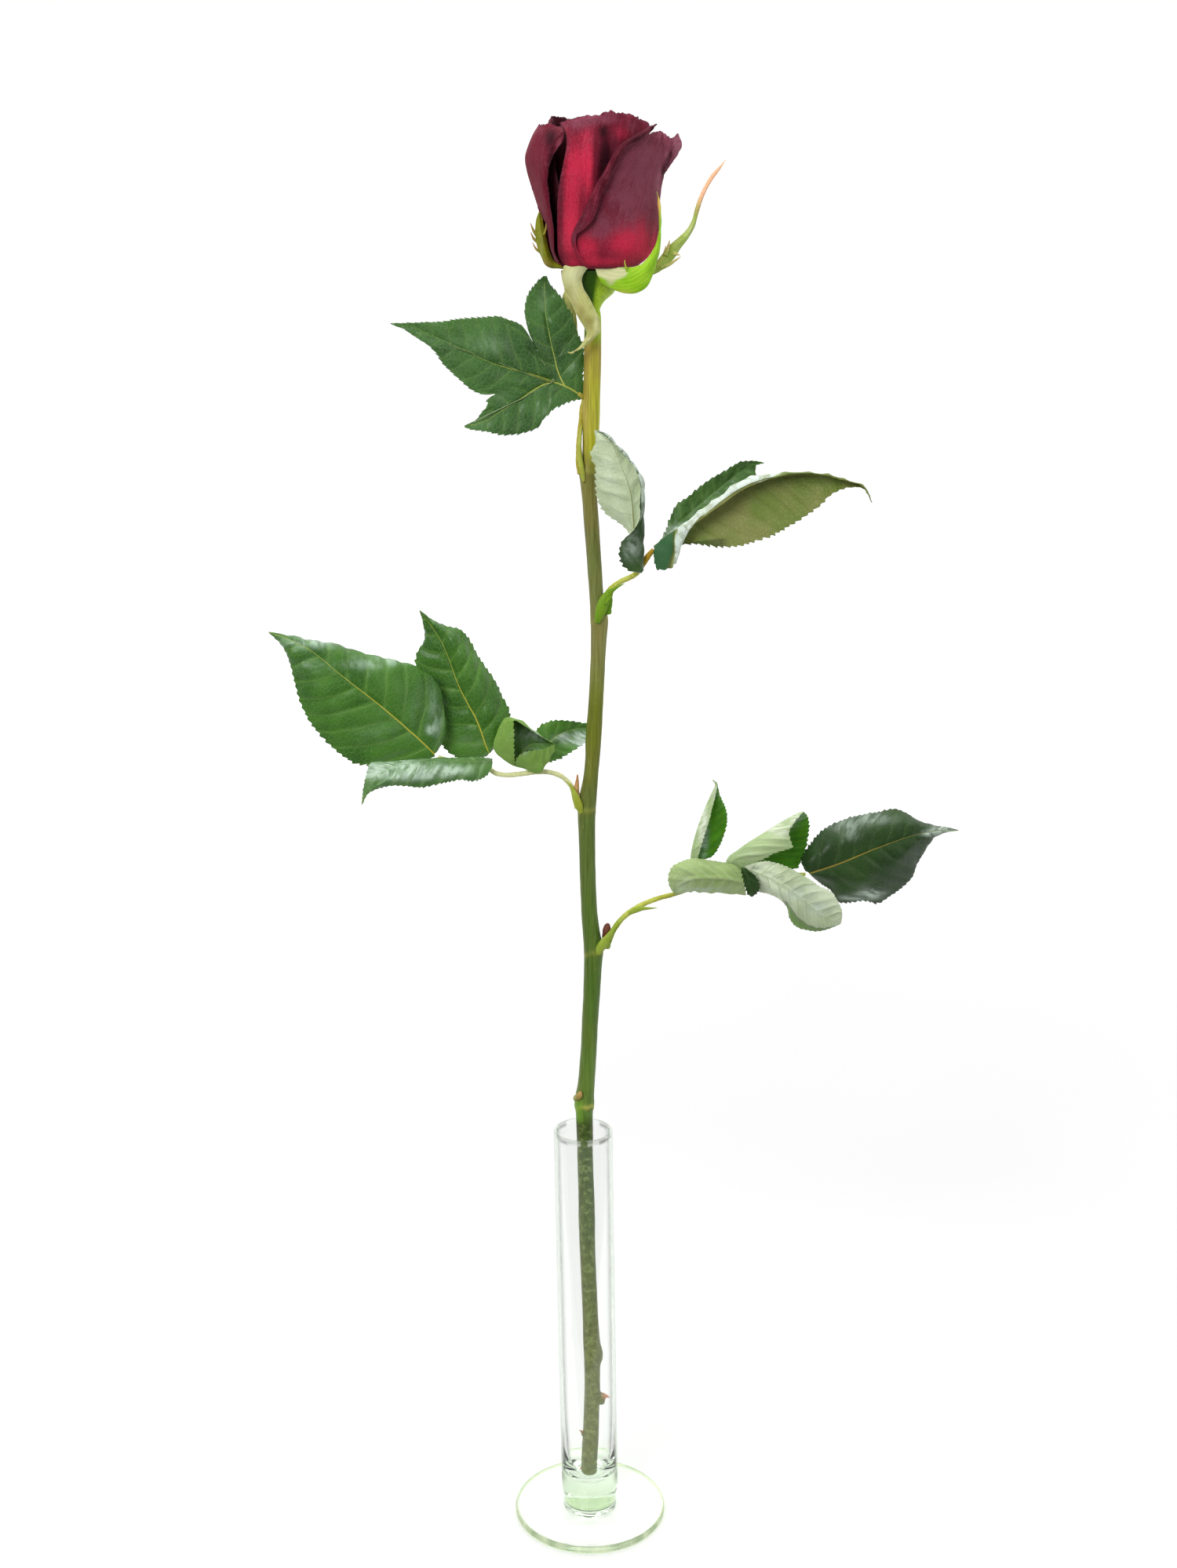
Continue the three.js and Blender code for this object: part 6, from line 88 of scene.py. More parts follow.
    "petal_inner_9": {"rows": 9, "cols": 7, "up": 1, "at": [4.49,19.88,593.7,2.8,19.34,593.7,1.44,18.19,593.7,0.62,16.6,593.7,0.46,14.79,593.7,1.02,13.06,593.7,2.2,11.66,593.7,5.5,20.14,599.44,3.28,19.83,599.6,1.42,18.54,599.7,0.36,16.52,599.73,0.35,14.22,599.68,1.39,12.17,599.55,3.26,10.81,599.36,5.83,20.26,605.25,3.08,20.26,605.51,0.7,18.87,605.65,-0.58,16.43,605.68,-0.41,13.65,605.61,1.2,11.37,605.42,3.79,10.22,605.13,5.58,20.29,611.08,2.41,20.61,611.39,-0.43,19.15,611.55,-1.89,16.32,611.57,-1.51,13.13,611.49,0.65,10.71,611.29,3.85,9.89,610.94,5.05,20.36,616.89,1.58,20.88,617.27,-1.57,19.34,617.44,-3.12,16.19,617.47,-2.56,12.7,617.39,0.04,10.22,617.18,3.64,9.73,616.76,4.32,20.65,622.67,0.69,21.1,623.13,-2.58,19.42,623.37,-4.1,16.04,623.42,-3.41,12.39,623.34,-0.59,9.89,623.07,3.19,9.53,622.56,3.39,21.08,628.41,-0.13,21.09,629.01,-3.19,19.24,629.34,-4.48,15.87,629.44,-3.79,12.32,629.33,-1.09,9.84,628.98,2.53,9.3,628.34,2.38,21.3,634.15,-0.67,20.7,634.91,-3.2,18.77,635.33,-4.13,15.69,635.45,-3.55,12.5,635.33,-1.3,10.15,634.89,1.82,9.28,634.12,1.41,21.06,639.9,-0.8,19.9,640.79,-2.61,18.07,641.27,-3.13,15.5,641.4,-2.73,12.9,641.27,-1.11,10.83,640.79,1.18,9.64,639.9]},
    "petal_inner_10": {"rows": 9, "cols": 7, "up": 1, "at": [7.26,13.24,594.1,7.99,14.35,594.1,8.19,15.67,594.1,7.8,16.96,594.1,6.9,17.98,594.1,5.65,18.53,594.1,4.27,18.49,594.1,6.66,12.59,599.74,7.91,13.77,599.82,8.38,15.45,599.87,7.91,17.14,599.89,6.63,18.35,599.89,4.89,18.73,599.84,3.21,18.15,599.71,5.41,12.13,605.28,7.16,13.26,605.5,7.93,15.24,605.62,7.37,17.32,605.65,5.7,18.69,605.62,3.55,18.78,605.48,1.77,17.59,605.21,3.89,11.86,610.77,6.07,12.85,611.13,7.11,15.09,611.33,6.46,17.5,611.37,4.43,18.97,611.28,1.96,18.73,611.05,0.23,16.94,610.68,2.59,11.7,616.32,5.08,12.59,616.8,6.33,15.02,617.05,5.57,17.69,617.09,3.25,19.2,616.97,0.55,18.64,616.67,-1.09,16.41,616.22,1.86,11.53,621.97,4.49,12.51,622.52,5.78,15.1,622.8,4.9,17.88,622.85,2.4,19.41,622.72,-0.43,18.68,622.39,-2.1,16.25,621.84,2.14,11.47,627.66,4.59,12.76,628.26,5.64,15.38,628.57,4.64,18.04,628.63,2.18,19.53,628.52,-0.63,18.87,628.17,-2.47,16.64,627.53,3.23,11.76,633.24,5.2,13.33,633.95,5.85,15.8,634.33,4.78,18.12,634.42,2.59,19.51,634.32,0.01,19.06,633.92,-2.01,17.37,633.17,4.73,12.48,638.7,6.04,14.17,639.59,6.27,16.28,640.07,5.22,18.1,640.2,3.45,19.33,640.07,1.25,19.14,639.59,-0.8,18.18,638.7]},
    "sepal_front": {"rows": 13, "cols": 3, "up": 1, "at": [-10.86,1.54,585.48,-4.67,0.53,585.31,1.51,2.04,585.48,-11.89,2.3,582.44,-7.14,0.94,582.91,-1.89,2.42,584.03,-11.49,3.1,579.28,-7.41,1.4,579.49,-3.52,2.85,580.72,-10.48,3.73,576.2,-6.51,1.83,576.15,-2.87,3.23,577.08,-9.18,4.2,573.21,-4.88,2.25,573.1,-0.9,3.61,573.89,-7.67,4.53,570.29,-3.24,2.62,570.03,0.9,3.87,570.59,-6.15,4.77,567.36,-1.66,2.95,566.93,2.55,4.11,567.21,-4.57,4.96,564.47,-0.03,3.28,563.85,4.01,4.32,563.73,-2.83,5.15,561.68,1.36,3.68,560.69,4.3,4.58,560.07,-1.56,5.35,558.66,0.6,4.21,557.44,1.95,4.91,557.22,-2.76,5.47,555.68,-1.68,4.65,554.83,-0.75,5.17,554.6,-4.8,5.51,553.08,-4.24,5.04,552.5,-4,5.33,552.7,-7.38,5.47,551.04,-7.38,5.47,551.04,-7.38,5.47,551.04]},
    "sepal_right_front": {"rows": 13, "cols": 3, "up": 1, "at": [4.46,3.44,579.19,3.14,1.98,582.02,1.84,1.53,584.69,8.93,3.42,576.86,7.54,1.71,580.71,6.15,1.56,584.84,13.71,3.45,575.25,12.04,1.56,579.82,10.46,1.63,584.84,18.65,3.54,575.14,16.6,1.52,580.27,14.77,1.76,584.9,23.11,3.73,577.3,20.67,1.59,582.35,19.02,2.01,585.51,25.65,3.97,581.65,23.99,1.79,585.49,22.49,2.38,587.97,27.37,4.2,586.39,26.21,2.09,589.5,25.17,2.8,591.31,28.53,4.42,591.3,27.72,2.47,593.82,27.18,3.25,595.09,29.18,4.65,596.31,28.63,2.89,598.3,28.33,3.78,599.2,29.33,4.89,601.35,28.89,3.41,602.86,28.49,4.23,603.48,29.26,5.15,606.4,28.76,3.97,607.42,28.29,4.72,607.76,28.82,5.49,611.42,28.37,4.71,611.93,27.87,5.34,612.01,27.44,6,616.25,27.44,6,616.25,27.44,6,616.25]},
    "sepal_right": {"rows": 14, "cols": 3, "up": 1, "at": [17.81,17.02,584.09,17.79,15.6,582.79,17.83,16.98,581.52,22.61,17.23,584.97,22.76,15.8,583.37,22.93,17.12,582.1,26.93,17.45,587.19,27.42,16.04,585.13,27.93,17.33,583.15,30.12,17.75,590.73,31.19,16.39,588.32,32.09,17.74,586.12,33.12,18.18,594.44,34.29,16.86,592.22,35.66,18.17,589.75,36.8,18.53,597.64,37.67,17.31,595.89,38.47,18.54,594.03,40.31,18.93,601,41.1,17.83,599.51,41.62,18.93,598.06,42.78,19.44,605.12,43.49,18.47,603.84,44.11,19.38,602.52,44.1,19.83,609.81,44.75,18.98,608.66,45.41,19.79,607.45,45.87,20.23,614.34,46.34,19.53,613.37,46.84,20.2,612.35,47.93,20.61,618.75,48.4,20.06,617.91,48.88,20.58,617.04,50.43,20.97,622.92,50.92,20.63,622.19,51.39,21.01,621.5,53.83,21.36,626.4,54.13,21.19,626,54.41,21.37,625.63,57.16,21.7,629.96,57.16,21.7,629.96,57.16,21.7,629.96]},
    "sepal_left": {"rows": 11, "cols": 3, "up": 1, "at": [-10.02,13.03,584.84,-10,12.04,585.47,-10.01,13.05,586.12,-13.21,12.57,585.2,-12.83,11.18,585.93,-12.56,12.46,586.87,-16.41,12.12,585.34,-15.66,10.37,586.44,-14.94,11.94,588.02,-19.09,11.68,586.79,-17.62,9.74,588.44,-16.37,11.6,590.29,-20.57,11.39,589.65,-18.77,9.38,591.17,-17.32,11.38,592.83,-21.68,11.2,592.7,-19.71,9.2,594.01,-17.99,11.22,595.45,-22.52,11.08,595.82,-20.44,9.18,596.9,-18.51,11.12,598.12,-22.96,11.02,599.04,-20.86,9.34,599.85,-18.9,11.05,600.81,-22.96,11.04,602.28,-21.2,9.76,602.79,-19.61,11.06,603.43,-22.4,11.16,605.46,-21.38,10.51,605.68,-20.28,11.15,606.07,-21.38,11.38,608.53,-21.38,11.38,608.53,-21.38,11.38,608.53]},
    "sepal_back": {"rows": 10, "cols": 3, "up": 1, "at": [-12.48,24.02,584.5,-10.8,23.53,584.82,-8.8,24.03,584.82,-12.05,23.57,581.28,-10.21,22.85,581.66,-8.15,23.55,581.7,-11.24,23.2,578.12,-9.55,22.3,578.5,-7.81,23.19,578.51,-10.85,22.95,574.87,-9.17,21.94,575.26,-7.65,22.94,575.3,-10.78,22.81,571.59,-9.03,21.81,571.99,-7.5,22.82,572.07,-9.79,22.83,568.48,-8.28,21.95,568.81,-6.9,22.85,568.91,-8.32,22.99,565.55,-7.17,22.35,565.76,-6.16,23.02,565.77,-7.23,23.17,562.46,-6.48,22.72,562.57,-5.7,23.19,562.58,-6.32,23.36,559.31,-5.95,23.13,559.36,-5.54,23.37,559.36,-5.49,23.55,556.14,-5.49,23.55,556.14,-5.49,23.55,556.14]},
}
STEM_RINGS = [-0.39,-1,19.9,4.19,-0.31,-0.59,27.49,3.95,0.33,0.01,39.96,3.91,0.74,0.62,52.36,3.78,1.08,1.22,64.69,3.81,1.13,1.81,76.96,3.93,1.75,2.09,82.67,4.55,0.94,2.37,88.36,4.07,0.2,3,101.31,3.74,-0.43,3.78,117.41,3.69,-1.09,4.56,133.39,3.74,-1.49,5.33,149.27,3.87,-1.82,6.1,165.03,3.82,-2.32,6.86,180.69,3.75,-2.49,7.43,192.37,3.85,-2.76,7.89,204.03,3.9,-2.71,8.01,209.09,4.5,-2.56,8.09,212.6,4.35,-2.01,8.21,217.65,3.94,-1.55,8.34,223.45,3.77,-0.81,8.61,235.02,3.74,-0.06,8.96,250.35,3.78,0.58,9.23,261.76,3.81,0.9,9.4,269.34,3.87,1.21,9.57,276.88,4.03,1.49,9.7,282.15,4.31,1.49,9.78,285.9,4.48,0.64,9.9,291.14,3.96,-0.36,10.14,301.21,3.66,-0.93,10.44,314.18,3.58,-1.27,10.69,325.24,3.62,-1.5,10.9,336.24,3.7,-1.64,11.06,345.37,3.9,-1.51,11.15,350.83,4.06,-1.05,11.23,355.91,3.94,-0.22,11.33,361.7,3.53,0.39,11.42,367.11,3.27,1.04,11.54,374.3,3.31,1.47,11.68,383.25,3.43,2.78,12.04,404.55,3.27,3.4,12.27,418.62,3.31,3.72,12.42,427.36,3.52,3.96,12.5,432.59,3.69,3.9,12.57,436.76,3.81,3.36,12.65,441.26,3.44,2.74,12.73,446.45,3.09,2.08,12.9,456.78,3.12,1.37,13.08,467.05,3.13,0.73,13.22,475.56,3.21,0.18,13.36,484.04,3.2,-0.38,13.47,490.79,3.28,-0.89,13.57,496.85,3.51,-0.94,13.62,499.87,3.76,-0.4,13.67,502.89,3.56,0.13,13.78,509.24,3.5,0.51,14.02,524.19,3.67,0.71,14.19,534.09,3.63,0.86,14.3,540.66,3.67,1.07,14.46,550.47,3.64,1.13,14.59,558.6,3.57,1.19,14.7,565.08,3.43,0.83,14.76,568.32,3.26,1.06,14.79,570.57,3.72,1.39,14.83,572.83,4.98,1.72,14.87,574.92,6.8,2.05,14.9,577.01,8.46,2.31,14.94,579.58,10.11,2.54,14.99,582.15,11.26,2.64,15.01,583.91,11.59,2.64,15.01,584.61,10.6,2.64,15.01,585.21,8,2.64,15.01,585.61,4.5]
PRICKLES = [5.27,0.51,60.48,9.98,0.21,60.45,4.2,-3.04,-0.9,41.82,-5.46,-1.3,43.87,1.7,-3.62,-2,23.26,-5.71,-2.86,21.98,1.9]
PETIOLE_A = [-3.82,12.62,499.96,2,-4.66,12.18,503.68,1.6,-4.99,12.78,509.31,1.25,-4.65,13.89,515.9,1.15,-3.97,15,522.47,1.1,-3.47,15.68,527.41,1.1,-2.79,14.64,531.1,1,-4.79,12.18,533.52,0.9]
PETIOLE_B = [6.8,11.62,439.34,2.6,7.3,10.69,443.99,2.5,8.13,9.76,447.93,2,10.17,8.78,451.18,1.35,13.55,7.56,453.76,1.2,16.94,6.65,455.43,1.2,19.63,5.76,457.26,1.3,22.64,4.81,461.31,1.3,24.96,3.95,465.16,1.3,27.29,3.55,467.92,1.1]
PETIOLE_C = [-5.88,11.15,351.19,1.6,-6.93,10.23,356.17,1.35,-8.14,9.8,360.64,1.2,-10.59,9.25,364.03,1.15,-14.07,8.04,366.86,1.15,-19.27,6.54,368.67,1.15,-25.16,4.84,368.91,1.15,-31.74,3.48,368.34,1.15,-36.91,2.28,368.28,1.1,-41.39,1.67,369.15,1.1,-44.54,2.76,370.67,1.1,-48.74,3.7,372.23,1,-54.61,3.39,373.73,0.9,-61.43,1.91,374.98,0.9,-66.81,0.14,377,0.85]
PETIOLE_D = [6.92,7.8,286.58,2.4,8.51,6.89,290.65,1.8,10.98,6.04,295.44,1.35,14.17,5.88,299.98,1.3,18.78,6.5,303.88,1.25,24.13,7.83,306.62,1.2,31.33,10.53,308.56,1.15,38.64,14.78,309.28,1.1,47.84,19.91,310.87,1,57.7,22.76,314.14,1,65.79,20.87,317.73,1,72.65,17.26,319.94,1,83.52,18.24,318.52,0.9,92.86,21.39,316.63,0.85,98.75,22.47,316.3,0.8]
BUD_LOW = [-6.42,6.88,212.33,1.6,-4.95,3.55,215.14,1.5,-4.4,3.4,217.16,0.5]
BUD_C = [-5.94,9.75,357.2,1.3,-6.18,9.3,360.04,1.35,-5.82,9.36,363.64,0.8,-5.68,9.41,366.7,0.35]
BUD_D = [7.1,8.39,290.52,1.9,7.44,7.96,293.67,2,7.87,8.02,296.09,1.5,8.33,8.04,297.21,0.6]
